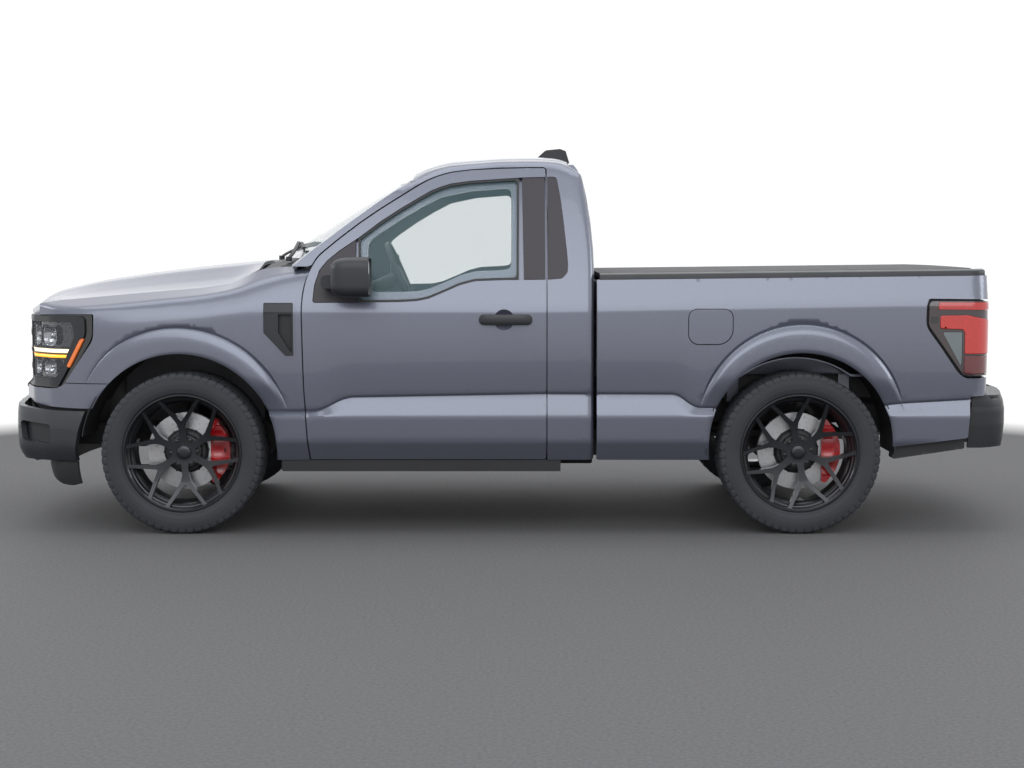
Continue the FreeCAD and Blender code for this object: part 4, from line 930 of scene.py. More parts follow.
class TRUCK_OT_bed_sides(bpy.types.Operator):
    """Press both bed sides, with their flares, lamp cuts and the left one's fuel door"""
    bl_idname = "truck.bed_sides"
    bl_label = "Bed sides"

    def execute(self, context):
        ring = bed_ring()
        lines = kept(crease_lines(2.09, 3.976) + flare_lines("rear"), ring)
        for (hand, sign), holes in zip(SIDES, ([grown(outline(FUEL_DOOR, 0.01), 0.0035)], [])):
            shape = walled(ring, holes, lines, (0.03, 0.019), bed_surface, inward(bed_surface, panel_wall()))
            piece_from("bed_skin_" + hand, shape if sign > 0.0 else mirrored_shape(shape), "body_paint",
                       "truck",
                       ("bed_side_" + hand,))
        door = outline(FUEL_DOOR, 0.01)
        piece_from("fuel_flap", walled(door, [], [], (0.026, 0.018), bed_surface,
                                       inward(bed_surface, panel_wall())), "body_paint", "truck")
        return {"FINISHED"}


# Nose of the truck: surfaces over (girth along the nose from the middle, height)

def nose_curve():
    """The nose in plan as even points (girth, station, half width), from the middle round to the side."""
    y = np.linspace(0.0, 0.995, 700)
    s_of = np.interp(y, NOSE[:, 1], NOSE[:, 0])
    for _ in range(60):
        s_of[1:-1] = 0.25 * s_of[:-2] + 0.5 * s_of[1:-1] + 0.25 * s_of[2:]
        s_of[0] = s_of[1]
    girth = np.concatenate([[0.0], np.cumsum(np.hypot(np.diff(s_of), np.diff(y)))])
    return girth, s_of, y


GIRTH, NOSE_S, NOSE_Y = nose_curve()


def girth_at(s):
    """Girth at which the nose passes a station."""
    return np.interp(s, NOSE_S, GIRTH)


def front_surface(flat, inset=0.0, swell=True):
    """Nose over (girth, height): a point of the nose's plan, held inside the flank, moved in along
    the plan's normal, and drawn back where the lamps meet the grille. Negative girth is the other side."""
    u, z = flat[:, 0], flat[:, 1]
    hand = np.where(u < 0.0, -1.0, 1.0)
    a = np.abs(u)
    s = np.interp(a, GIRTH, NOSE_S)
    y = np.interp(a, GIRTH, NOSE_Y)
    inset = inset + 0.029 * np.exp(-((y - 0.56) / 0.17) ** 2) * step_up(z, 0.728, 0.758)
    ds = np.interp(a + 0.004, GIRTH, NOSE_S) - np.interp(a - 0.004, GIRTH, NOSE_S)
    dy = np.interp(a + 0.004, GIRTH, NOSE_Y) - np.interp(a - 0.004, GIRTH, NOSE_Y)
    length = np.maximum(np.hypot(ds, dy), 1e-6)
    ns, ny = -dy / length, ds / length
    side_y = swollen(s, z, flank(s, np.maximum(z, 0.48))) if swell else flank(s, np.maximum(z, 0.48))
    y = np.where(s > -0.8, soft_min(side_y, y, 0.03), y)
    return columns(along(s - ns * inset), hand * (y - ny * inset), z)


def in_girth(points):
    """Turns an outline's stations into girths along the nose."""
    points = np.asarray(points, dtype=float).copy()
    points[:, 0] = girth_at(points[:, 0])
    return points


def nose_plate(ring, out, wall, holes=(), lines=(), step=(0.022, 0.018), shift=None):
    """Closed wall on the nose inside an outline in (girth, height), its face an offset outwards."""
    flat, faces = tiled(ring, holes, lines, step)
    forward = out + (0.0 if shift is None else shift(flat))
    return shell(flat, faces, inward(front_surface, -forward), inward(front_surface, wall - forward))


def bar_along_nose(u0, u1, z, half, out, depth, rows=14, count=80):
    """Rounded bar that follows the nose: an oval profile (half its height, depth) along the girth."""
    u = np.linspace(u0, u1, count)
    a = full_turn(rows)
    shape = np.sign(np.cos(a)) * np.abs(np.cos(a)) ** 0.6, np.sign(np.sin(a)) * np.abs(np.sin(a)) ** 0.6
    flat = columns(np.repeat(u, rows), np.tile(z + half * shape[1], count))
    inset = np.tile(-out + depth * 0.5 * (1.0 - shape[0]), count)
    points = front_surface(flat, inset, False).reshape(count, rows, 3)
    return lofted(points)


def facing_out(corners, faces):
    """Turns a closed shape's faces outwards if its signed volume is negative."""
    total = 0.0
    sizes = np.array([len(face) for face in faces])
    for size in np.unique(sizes):
        some = np.array([face for face in faces if len(face) == size])
        for k in range(1, size - 1):
            a, b, c = corners[some[:, 0]], corners[some[:, k]], corners[some[:, k + 1]]
            total += float(np.einsum("ij,ij->", a, np.cross(b, c)))
    faces = faces if isinstance(faces, list) else faces.tolist()
    return (corners, faces) if total > 0.0 else (corners, [face[::-1] for face in faces])


def swept(section, track, closed=False, up=(0.0, 0.0, 1.0)):
    """A closed profile (sideways, upwards) carried along a track of points: at each point the profile
    stands square to the track, with its second axis as near to the given up as it can be."""
    section, track, up = np.asarray(section), np.asarray(track, dtype=float), np.asarray(up, dtype=float)
    if closed:
        tangent = np.roll(track, -1, axis=0) - np.roll(track, 1, axis=0)
    else:
        tangent = np.gradient(track, axis=0)
    tangent /= np.linalg.norm(tangent, axis=1)[:, None]
    right = np.cross(tangent, up)
    right /= np.maximum(np.linalg.norm(right, axis=1), 1e-9)[:, None]
    over = np.cross(right, tangent)
    points = track[:, None] + section[None, :, :1] * right[:, None] + section[None, :, 1:] * over[:, None]
    corners, faces = grid(points, wrap_u=closed, wrap_v=True)
    faces = faces.tolist()
    if not closed:
        n, m = len(track), len(section)
        faces += [list(range(m)), list(range((n - 1) * m, n * m))[::-1]]
    return facing_out(corners, faces)


def oval(half_a, half_b, power=2.0, count=20):
    """Superellipse: each axis follows its sine or cosine to the power 2 / power."""
    a = full_turn(count)
    return columns(half_a * np.sign(np.cos(a)) * np.abs(np.cos(a)) ** (2.0 / power),
                     half_b * np.sign(np.sin(a)) * np.abs(np.sin(a)) ** (2.0 / power))


def merged(shapes):
    """Several shapes as one."""
    corners, faces, start = [], [], 0
    for part in shapes:
        corners.append(np.asarray(part[0]))
        faces += [[i + start for i in face] for face in part[1]]
        start += len(part[0])
    return np.vstack(corners), faces


def both_sides(shape):
    """A shape and its mirror image as one."""
    return merged([shape, mirrored_shape(shape)])


HOOD_FRONT = 1.11


def hood_shape(flat, inset=0.0):
    """Hood over (half width, share of its length): a middle profile and a side profile, joined by a
    flat crown that falls over a ridge, both rising from the nose line."""
    y, q = flat[:, 0], flat[:, 1]
    a = np.abs(y)
    front = np.interp(a, NOSE_Y, NOSE_S) - 0.006 + 0.04 * np.exp(-((a - 0.56) / 0.2) ** 2)
    rear = 0.352 - 0.076 * step_up(a, 0.66, 0.8)
    d = np.clip(q, 0.0, 1.0) * (rear - front)
    s = front + d
    middle = blurred(d, [-0.1, 0.0, 0.026, 0.076, 0.104, 0.158, 0.267, 0.376, 0.647, 0.917, 1.134, 1.3],
                     [1.06, HOOD_FRONT + 0.004, 1.132, 1.17, 1.19, 1.217, 1.243, 1.268, 1.308, 1.341, 1.362,
                      1.377], 0.012 + 0.1 * np.clip(d, 0.0, 0.5))
    edge = blurred(s, UPPER[:, 0], UPPER[:, 1], 0.05)
    side_line = np.minimum(edge, blurred(d, [-0.1, 0.0, 0.02, 0.08, 0.2, 0.5, 2.0],
                                         [1.05, HOOD_FRONT + 0.003, 1.126, 1.16, 1.25, 1.5, 2.0], 0.012))
    crown = blurred(a, [0.0, 0.4, 0.47, 0.6, 0.72, 0.8, 0.9], [1.0, 0.93, 0.72, 0.34, 0.1, 0.0, -0.08], 0.03)
    z = side_line + (middle - side_line) * crown
    return columns(along(s) - 0.6 * inset * (q < 0.02), y, z - inset)


class TRUCK_OT_hood(bpy.types.Operator):
    """Press the hood: its raised middle falls over a ridge to each side, and its nose turns down"""
    bl_idname = "truck.hood"
    bl_label = "Hood"

    def execute(self, context):
        y = np.concatenate([-np.linspace(0.7975, 0.0, 50), np.linspace(0.0, 0.7975, 50)[1:]])
        q = np.concatenate([np.linspace(0.0, 0.06, 9)[:-1], np.linspace(0.06, 1.0, 64)])
        v, u = np.meshgrid(q, y)
        flat = columns(u.ravel(), v.ravel())
        top = hood_shape(flat).reshape(len(y), len(q), 3)
        lip = top[:, :1].copy()
        lip[..., 2] = HOOD_FRONT - 0.014
        lip[..., 0] -= 0.004
        low = hood_shape(flat, 0.02).reshape(len(y), len(q), 3)
        low[:, 0, 2] = HOOD_FRONT - 0.014
        low[:, 0, 0] -= 0.012
        points = np.concatenate([low[:, ::-1], lip, top], axis=1)
        corners, faces = grid(points, wrap_v=True)
        m = points.shape[1]
        faces = faces.tolist()
        half = len(q)
        for row in (0, len(y) - 1):
            base = row * m
            for j in range(half - 1):
                lower, upper = base + half - 1 - j, base + half + 1 + j
                face = [lower, upper, upper + 1, lower - 1]
                faces.append(face if row == 0 else face[::-1])
            cap = [base + half - 1, base + half, base + half + 1]
            faces.append(cap if row == 0 else cap[::-1])
        piece_from("hood_skin", facing_out(corners, faces), "body_paint", "hood", ("hood",), 0.0018)
        return {"FINISHED"}


LAMP_OUTER = [(-0.873, 0.7335, 0.02), (-0.873, 1.1075, 0.02), (-0.4465, 1.1085, 0.012), (-0.4475, 0.99, 0.12),
              (-0.604, 0.75, 0.03), (-0.632, 0.7335, 0.03)]
SURROUND = [(-0.873, 0.738, 0.02), (-0.873, 1.1, 0.02), (-0.5, 1.1, 0.03), (-0.484, 1.085, 0.02),
            (-0.482, 1.005, 0.1),
            (-0.6, 0.8, 0.05), (-0.636, 0.742, 0.02), (-0.7, 0.738)]
LENS = [(-0.872, 1.06, 0.012), (-0.556, 1.066, 0.016), (-0.545, 1.0, 0.05), (-0.625, 0.822, 0.05),
        (-0.651, 0.79, 0.015),
        (-0.872, 0.786, 0.012)]
REFLECTOR = [(-0.486, 0.99, 0.004), (-0.51, 0.984, 0.02), (-0.586, 0.848, 0.004), (-0.572, 0.838, 0.004)]


def graphite():
    """Dark grey moulded plastic."""
    return plain_finish("graphite", (0.017, 0.018, 0.021), 0.48, 0.1, 0.1, 900.0, 0.00006, 0.08)


def glow(name, colour, strength):
    """Plastic that glows, its base colour varying a little at random."""
    if name in MADE:
        return MADE[name]
    mat, tree, shader, where = finish_nodes(name, colour, 0.25, 0.0, 0.8)
    shader.inputs["Emission Color"].default_value = (*colour, 1.0)
    shader.inputs["Emission Strength"].default_value = strength
    tree.links.new(ramp(tree, noise_at(tree, where, 120.0), tinted(colour, 0.85), tinted(colour, 1.1)),
                   shader.inputs["Base Color"])
    MADE[name] = mat
    return mat


class TRUCK_OT_lamps(bpy.types.Operator):
    """Make both headlamps: a black housing, its bezel, two reflectors, a light bar and a clear cover"""
    bl_idname = "truck.lamps"
    bl_label = "Headlamps"

    def execute(self, context):
        housing = in_girth(outline(LAMP_OUTER, 0.01))
        back = nose_plate(spaced(housing), -0.04, 0.02)
        piece_from("lamp_back", both_sides(back), "lamp_clear", "truck", ("headlamps",), 0.001,
                   material=finish("gloss_black"))
        surround = spaced(in_girth(outline(SURROUND, 0.008)))
        lens = spaced(in_girth(outline(LENS, 0.008)))
        reflector = spaced(in_girth(outline(REFLECTOR, 0.008)))
        frame_in = grown(lens, 0.006)
        bezel = nose_plate(surround, 0.004, 0.046, [frame_in, grown(reflector, 0.001)], (), (0.018, 0.016))
        piece_from("lamp_bezel", both_sides(bezel), "lamp_clear", "truck", (), 0.003, material=graphite())
        rim = nose_plate(spaced(grown(housing, -0.0005)), -0.01, 0.03, [grown(surround, -0.006)], (),
                         (0.018, 0.016))
        piece_from("lamp_rim", both_sides(rim), "black_plastic", "truck", (), 0.002,
                   material=finish("gloss_black"))
        cover = nose_plate(grown(lens, 0.005), -0.002, 0.004)
        piece_from("lamp_cover", both_sides(cover), "lamp_clear", "truck", (), 0.0,
                   material=glass_finish("lens_glass", (0.3, 0.32, 0.34), 0.12))
        marker = nose_plate(reflector, 0.003, 0.012)
        piece_from("side_marker", both_sides(marker), "lamp_clear", "truck", (), 0.001,
                   material=glow("amber", (0.8, 0.17, 0.02), 0.35))
        u0, u1, u2 = girth_at(-0.868), girth_at(-0.7), girth_at(-0.572)
        bar = bar_along_nose(u0, u2, 0.9225, 0.01, 0.0, 0.02)
        bar_low = bar_along_nose(u0, u2 - 0.006, 0.8955, 0.008, 0.0, 0.02)
        piece_from("light_bar", both_sides(bar), "lamp_clear", "truck", (), 0.0,
                   material=glow("bar_white", (1.0, 0.8, 0.55), 1.4))
        piece_from("turn_bar", both_sides(bar_low), "lamp_clear", "truck", (), 0.0,
                   material=glow("bar_amber", (1.0, 0.42, 0.03), 1.6))
        ledge = merged([bar_along_nose(u0, u2 + 0.004, z, 0.003, 0.001, 0.034, 10)
                        for z in (0.936, 0.909, 0.884)])
        piece_from("bar_ledges", both_sides(ledge), "lamp_clear", "truck", (), 0.0, material=graphite())
        cups = []
        for u, z, half_u, half_z in ((u1 + 0.005, 0.998, 0.06, 0.05), (u1 + 0.005, 0.838, 0.055, 0.036),
                                     (u1 - 0.135, 0.998, 0.055, 0.05), (u1 - 0.135, 0.838, 0.055, 0.036)):
            rings = []
            for size, inset in ((1.0, 0.012), (0.94, 0.013), (0.86, 0.026), (0.66, 0.034), (0.4, 0.038),
                                (0.34, 0.03), (0.18, 0.024), (0.02, 0.022)):
                shape = oval(half_u * size, half_z * size, 3.4 - 1.4 * (1.0 - size), 40)
                rings.append(front_surface(shape + np.array([u, z]), inset, False))
            points = np.stack(rings)
            corners, faces = grid(points, wrap_v=True)
            facing = np.cross(points[1] - points[0], np.roll(points[0], -1, axis=0) - points[0]).sum(axis=0)
            cups.append((corners, (faces[:, ::-1] if facing[0] < 0.0 else faces).tolist()))
        chrome = plain_finish("lamp_chrome", (0.38, 0.39, 0.41), 0.12, 1.0, 0.0, 300.0, 0.00002, 0.06)
        cups = both_sides(merged(cups))
        piece_from("lamp_reflectors", cups, "lamp_clear", "truck", (), 0.0, material=chrome)
        return {"FINISHED"}


class TRUCK_OT_grille(bpy.types.Operator):
    """Make the grille: a frame, three rounded bars and a honeycomb behind them"""
    bl_idname = "truck.grille"
    bl_label = "Grille"

    def execute(self, context):
        half = half_grille()
        ring = outline([(-half, 0.7105, 0.03), (-half, 1.0875, 0.03), (half, 1.0875, 0.03),
                        (half, 0.7105, 0.03)], 0.02)
        inner = outline([(-half + 0.026, 0.745, 0.03), (-half + 0.026, 1.06, 0.03),
                         (half - 0.026, 1.06, 0.03), (half - 0.026, 0.745, 0.03)], 0.02)
        frame_part = nose_plate(ring, 0.006, 0.04, [inner], (), (0.03, 0.02))
        piece_from("grille_frame", frame_part, "gloss_black", "truck", ("grille",), 0.004,
                   material=graphite())
        bars = [bar_along_nose(-half + 0.02, half - 0.02, z, h, out, 0.034, 18, 90)
                for z, h, out in ((1.002, 0.024, 0.01), (0.912, 0.015, 0.01), (0.826, 0.024, 0.01))]
        piece_from("grille_bars", merged(bars), "gloss_black", "truck", (), 0.0)
        cells = []
        pitch_u, pitch_z = 0.036, 0.03
        for row, z in enumerate(np.arange(0.752, 1.06, pitch_z)):
            u = np.arange(-half + 0.04, half - 0.04, pitch_u) + (0.5 * pitch_u if row % 2 else 0.0)
            cells.append(columns(u, z + 0.0 * u))
        centres = np.vstack(cells)
        a = full_turn(6) + math.pi / 6.0
        unit = columns(np.cos(a), np.sin(a))
        rings = []
        for size, inset in ((0.0205, 0.02), (0.0165, 0.018), (0.0155, 0.034), (0.0205, 0.034)):
            flat = (centres[:, None] + unit[None] * size).reshape(-1, 2)
            rings.append(front_surface(flat, inset, False).reshape(len(centres), 6, 3))
        points = np.stack(rings, axis=1)
        index = np.arange(points[..., 0].size).reshape(points.shape[:3])
        nxt = np.roll(index, -1, axis=2)
        quads = columns(index, nxt, np.roll(nxt, -1, axis=1), np.roll(index, -1, axis=1)).reshape(-1, 4)
        corners = points.reshape(-1, 3)
        first = quads[:6 * 4]
        _, ordered = facing_out(points[0].reshape(-1, 3), first.tolist())
        if ordered[0] != first[0].tolist():
            quads = quads[:, ::-1]
        piece_from("grille_mesh", (corners, quads.tolist()), "gloss_black", "truck", (), 0.0,
                   material=finish("black_plastic"))
        return {"FINISHED"}


def bumper_out(z):
    """How far the bumper stands out at each height: a flat face over a drawn-in lower edge."""
    return blurred(z, [0.355, 0.366, 0.392, 0.425, 0.455, 0.56, 0.612, 0.64, 0.662],
                   [-0.085, -0.066, -0.022, 0.01, 0.018, 0.022, 0.018, 0.008, 0.004], 0.008)


def bumper_corner(flat):
    """The bumper's corners stand further out than the nose."""
    return 0.054 * np.exp(-((np.abs(flat[:, 0]) - girth_at(-0.79)) / 0.17) ** 2)


class TRUCK_OT_front_bumper(bpy.types.Operator):
    """Make the front bumper, with its recesses and middle opening, and the painted cover above it"""
    bl_idname = "truck.front_bumper"
    bl_label = "Front bumper"

    def execute(self, context):
        end = float(girth_at(-0.535))
        top = soft_line(in_girth([(-0.481, 0.6215), (-0.56, 0.6215), (-0.64, 0.6225), (-0.7, 0.626),
                                  (-0.76, 0.634), (-0.82, 0.648), (-0.9, 0.656), (-0.938, 0.657)]))
        rear = soft_line(in_girth([(-0.543, 0.3655), (-0.534, 0.418), (-0.516, 0.52), (-0.484, 0.612)]))
        low = path([(0.0, 0.3655), (end - 0.01, 0.3655)])
        right = np.vstack([low, rear, top])
        ring = spaced(np.vstack([right, opposite(right)]))
        pocket = spaced(in_girth(outline([(-0.79, 0.566, 0.014), (-0.655, 0.553, 0.014),
                                          (-0.657, 0.446, 0.014), (-0.782, 0.466, 0.014)], 0.008)))
        slot = outline([(-0.46, 0.44, 0.03), (-0.46, 0.56, 0.03), (0.46, 0.56, 0.03), (0.46, 0.44, 0.03)],
                       0.015)
        z_lines = [columns(np.linspace(-end, end, 140), z + np.zeros(140))
                   for z in (0.374, 0.392, 0.41, 0.425, 0.44)]
        lines = kept(z_lines, ring, 0.006)
        flat, faces = tiled(ring, [pocket, opposite(pocket), slot], lines, (0.024, 0.018))
        stand = 0.02 + bumper_out(flat[:, 1]) * 0.4 + bumper_corner(flat)
        shape = shell(flat, faces, lambda f: front_surface(f, -stand, False),
                      lambda f: front_surface(f, 0.03 - stand, False))
        piece_from("bumper_skin", shape, "body_paint", "truck", ("front_bumper",), 0.004,
                   material=plain_finish("bumper_grey", (0.043, 0.046, 0.053), 0.42, 0.3, 0.3, 900.0,
                                         0.00003, 0.08))
        floor = nose_plate(grown(pocket, 0.01), -0.006, 0.01, shift=bumper_corner)
        piece_from("bumper_pockets", both_sides(floor), "black_plastic", "truck", (), 0.001,
                   material=graphite())
        bars = [bar_along_nose(-0.47, 0.47, z, 0.006, 0.008, 0.03, 12, 60) for z in (0.466, 0.5, 0.534)]
        back = nose_plate(grown(slot, 0.012), -0.03, 0.006)
        piece_from("intake_bars", merged(bars), "black_plastic", "truck", (), 0.0)
        piece_from("intake_back", back, "black_plastic", "truck", (), 0.0)
        fs, fz, fr = ARCHES["front"][0]
        zz = np.linspace(0.633, 0.7585, 12)
        edge = in_girth(columns(fs - np.sqrt(fr ** 2 - (zz - fz) ** 2), zz))
        upper = np.vstack([in_girth(path([(-0.372, 0.7585), (-0.6, 0.7585)])),
                           soft_line(in_girth([(-0.604, 0.754), (-0.622, 0.737), (-0.645, 0.7305),
                                               (-0.7, 0.7305)])),
                           path([(float(girth_at(-0.71)), 0.7305), (half_grille() + 0.004, 0.7305)]),
                           path([(half_grille() + 0.004, 0.7055), (0.0, 0.7055)])])
        lower = soft_line(np.vstack([[(0.0, 0.672)],
                                     in_girth([(-0.9, 0.671), (-0.84, 0.663), (-0.78, 0.648), (-0.72, 0.64),
                                               (-0.64, 0.636), (-0.56, 0.633), (-0.465, 0.633)])]))
        ring = spaced(np.vstack([lower, edge, upper, opposite(upper), opposite(edge), opposite(lower)]))
        flares = []
        for line in flare_lines("front"):
            line = line[(line[:, 0] < -0.3) & (line[:, 1] < 0.8)]
            if len(line) > 1:
                flares += [in_girth(line), in_girth(line) * np.array([-1.0, 1.0])]
        shape = walled(ring, [], kept(flares, ring), (0.024, 0.014), front_surface,
                       inward(front_surface, panel_wall()))
        piece_from("bumper_cover", shape, "body_paint", "truck", (), 0.0016)
        filler = nose_plate(spaced(np.vstack([lower + np.array([0.0, 0.02]), rear[::-1][:1],
                                              columns(top[:, 0], top[:, 1] - 0.03)])), -0.035, 0.006)
        piece_from("bumper_gap", both_sides(filler), "black_plastic", "truck", (), 0.0)
        return {"FINISHED"}


def half_grille():
    """Girth from the middle to the edge of the grille."""
    return float(girth_at(-0.88)) + 0.002


# Tail of the truck

LAMP_FRAME = [(3.766, 1.181, 0.006), (3.751, 1.166, 0.014), (3.748, 1.054, 0.05), (3.822, 0.952, 0.08),
              (3.914, 0.822, 0.03), (3.93, 0.803, 0.02), (3.958, 0.797, 0.02)]
LAMP_END = CORNER_END + 0.1


def bed_plate(ring, out, wall, holes=(), lines=(), step=(0.02, 0.016)):
    """Closed wall on the bed side and round its rear corner, its face an offset outwards."""
    return walled(spaced(np.asarray(ring)), holes, lines, step, inward(bed_surface, -out),
                  inward(bed_surface, wall - out))


def ring_in(corners, step=0.008):
    """Outline with finely stepped corners."""
    return outline(corners, step)


class TRUCK_OT_tail_lamps(bpy.types.Operator):
    """Make both tail lamps: black housing, upper bar, bent light guide, clear window and lower block"""
    bl_idname = "truck.tail_lamps"
    bl_label = "Tail lamps"

    def execute(self, context):
        end = LAMP_END
        housing = ring_in(LAMP_FRAME + [(end, 0.7965, 0.004), (end, 1.1815, 0.004)])
        deep = plain_finish("lamp_dark", (0.03, 0.012, 0.014), 0.18, 0.0, 0.9, 500.0, 0.00001, 0.06)
        piece_from("tail_back", both_sides(bed_plate(housing, -0.022, 0.02)), "lamp_red", "truck",
                   ("tail_lamps",), 0.0, material=finish("black_plastic"))
        lens = ring_in([(3.772, 1.1765, 0.006), (3.7575, 1.163, 0.012), (3.7555, 1.056, 0.05),
                        (3.828, 0.956, 0.08), (3.92, 0.826, 0.03), (3.934, 0.8075, 0.02),
                        (3.96, 0.8025, 0.02),
                        (end - 0.004, 0.802, 0.004), (end - 0.004, 1.1765, 0.004)])
        guide = ring_in([(3.813, 1.105, 0.01), (3.813, 1.04, 0.012), (3.926, 1.036, 0.014),
                         (3.9365, 1.022, 0.012), (3.938, 0.913, 0.004), (end - 0.018, 0.913, 0.006),
                         (end - 0.018, 1.06, 0.02), (3.99, 1.098, 0.02), (3.95, 1.107, 0.02)])
        bar = ring_in([(3.806, 1.172, 0.008), (3.803, 1.136, 0.004), (end - 0.014, 1.132, 0.004),
                       (end - 0.014, 1.17, 0.004)])
        window = ring_in([(3.825, 1.022, 0.006), (3.9235, 1.022, 0.004), (3.9235, 0.845, 0.004)])
        block_ring = ring_in([(3.936, 0.902, 0.003), (3.936, 0.822, 0.01), (3.95, 0.812, 0.006),
                              (end - 0.018, 0.812, 0.004), (end - 0.018, 0.902, 0.003)])
        holes = [grown(r, 0.0015) for r in (guide, bar, window, block_ring)]
        piece_from("tail_lens", both_sides(bed_plate(lens, 0.0, 0.012, holes)), "lamp_red", "truck", (),
                   0.0012, material=deep)
        red = glow("tail_red", (0.52, 0.022, 0.016), 0.22)
        piece_from("tail_guide", both_sides(bed_plate(guide, 0.003, 0.014)), "lamp_red", "truck", (), 0.003,
                   material=red)
        piece_from("tail_bar", both_sides(bed_plate(bar, 0.003, 0.014)), "lamp_red", "truck", (), 0.003,
                   material=glow("tail_bar_red", (0.5, 0.016, 0.014), 0.14))
        piece_from("tail_block", both_sides(bed_plate(block_ring, 0.001, 0.012)), "lamp_red", "truck", (),
                   0.002,
                   material=plain_finish("tail_dark_red", (0.16, 0.006, 0.01), 0.16, 0.0, 0.9, 400.0,
                                         0.00001, 0.08))
        piece_from("tail_window", both_sides(bed_plate(window, -0.001, 0.01)), "lamp_red", "truck", (),
                   0.0015,
                   material=plain_finish("tail_clear", (0.15, 0.18, 0.19), 0.1, 0.55, 0.9, 400.0, 0.00001,
                                         0.1))
        notch = ring_in([(3.764, 1.1, 0.003), (3.764, 1.066, 0.003), (3.803, 1.066, 0.003),
                         (3.803, 1.1, 0.003)])
        piece_from("tail_notch", both_sides(bed_plate(notch, 0.001, 0.003)), "lamp_red", "truck", (), 0.0,
                   material=finish("gloss_black"))
        return {"FINISHED"}


def plate_between(ring, place, y_of, depth, step=(0.03, 0.03), holes=(), lines=()):
    """Closed plate over a flat outline: place(flat, y) gives the points, y_of(flat) the outer face."""
    return facing_out(*walled(spaced(np.asarray(ring)), holes, lines, step, lambda f: place(f, y_of(f)),
                              lambda f: place(f, y_of(f) - depth)))


def facing_rear(flat, s):
    """Points from (y, height) on a plate across the truck, standing at a station."""
    return columns(along(s), flat[:, 0], flat[:, 1])


class TRUCK_OT_tailgate(bpy.types.Operator):
    """Press the tailgate: a crowned skin with a step, a sunken panel and a handle"""
    bl_idname = "truck.tailgate"
    bl_label = "Tailgate"

    def execute(self, context):
        ring = outline([(-0.7815, 0.7665, 0.012), (-0.7815, 1.2985, 0.016), (0.7815, 1.2985, 0.016),
                        (0.7815, 0.7665, 0.012)], 0.02)
        pocket = outline([(-0.12, 1.118, 0.014), (-0.112, 1.184, 0.014), (0.112, 1.184, 0.014),
                          (0.12, 1.118, 0.014)], 0.01)
        lines = [path([(-0.76, z), (0.76, z)], 0.022) for z in (0.835, 0.862, 1.055, 1.075, 1.208, 1.218)]

        def face(f):
            """Station of the gate's outer face: crowned, with a sunken panel and a step."""
            y, z = np.abs(f[:, 0]), f[:, 1]
            crown = TAIL - 0.0025 - 0.004 * (y / 0.78) ** 4 - 0.01 * step_up(z, 1.275, 1.3) ** 2
            sunk = step_up(z, 0.838, 0.864) * (1.0 - step_up(z, 1.05, 1.078))
            sunk = sunk * (1.0 - step_up(y, 0.655 + 0.2 * (z - 0.86), 0.685 + 0.2 * (z - 0.86)))
            return crown - 0.007 * sunk - 0.004 * step_up(z, 1.206, 1.219) * (1.0 - step_up(z, 1.262, 1.28))

        skin = plate_between(ring, facing_rear, face, 0.046, (0.035, 0.022), [pocket], lines)
        piece_from("tailgate_skin", skin, "body_paint", "tailgate", ("tailgate",), 0.004)
        floor = plate_between(grown(pocket, 0.004), facing_rear, lambda f: TAIL - 0.026 + 0.0 * f[:, 0],
                              0.012)
        lever = plate_between(outline([(-0.1, 1.136, 0.008), (-0.096, 1.168, 0.008), (0.096, 1.168, 0.008),
                                       (0.1, 1.136, 0.008)], 0.01), facing_rear,
                              lambda f: TAIL - 0.007 + 0.0 * f[:, 0], 0.016)
        piece_from("gate_pocket", floor, "body_paint", "tailgate", (), 0.0, material=finish("black_plastic"))
        piece_from("gate_lever", lever, "body_paint", "tailgate", (), 0.003, material=finish("gloss_black"))
        return {"FINISHED"}


REAR_PLAN = np.array([(0.0, 4.288), (0.2, 4.287), (0.42, 4.276), (0.6, 4.244), (0.76, 4.204), (0.85, 4.178),
                      (0.885, 4.156), (0.905, 4.125), (0.92, 4.09), (0.928, 4.05), (0.932, 4.0),
                      (0.933, 3.97)])


def rear_curve():
    """The rear bumper's plan, smoothed: girth, half width and station."""
    t = np.concatenate([[0.0], np.cumsum(np.hypot(*np.diff(REAR_PLAN, axis=0).T))])
    u = np.linspace(0.0, t[-1], 400)
    y, s = np.interp(u, t, REAR_PLAN[:, 0]), np.interp(u, t, REAR_PLAN[:, 1])
    for _ in range(160):
        y[1:-1] = 0.25 * y[:-2] + 0.5 * y[1:-1] + 0.25 * y[2:]
        s[1:-1] = 0.25 * s[:-2] + 0.5 * s[1:-1] + 0.25 * s[2:]
    return np.concatenate([[0.0], np.cumsum(np.hypot(np.diff(y), np.diff(s)))]), y, s


REAR_T, REAR_Y, REAR_S = rear_curve()


def rear_surface(flat, inset=0.0):
    """Rear bumper over (girth from the middle, height): its plan curve, drawn in towards top and bottom."""
    t, z = flat[:, 0], flat[:, 1]
    hand = np.where(t < 0.0, -1.0, 1.0)
    a = np.abs(t)
    y, s = np.interp(a, REAR_T, REAR_Y), np.interp(a, REAR_T, REAR_S)
    dy = np.interp(a + 0.004, REAR_T, REAR_Y) - np.interp(a - 0.004, REAR_T, REAR_Y)
    ds = np.interp(a + 0.004, REAR_T, REAR_S) - np.interp(a - 0.004, REAR_T, REAR_S)
    n = np.maximum(np.hypot(dy, ds), 1e-6)
    side_share = step_up(s, 4.02, 4.16)
    draw = blurred(z, [0.4, 0.432, 0.47, 0.545, 0.622, 0.64, 0.655, 0.69, 0.7],
                   [0.02, 0.014, 0.007, 0.0005, 0.0005, 0.002, 0.006, 0.02, 0.024],
                   0.008) * (0.25 + 0.75 * side_share)
    move = inset + draw
    return columns(along(s - move * (dy / n)), hand * (y + move * (ds / n)), z)


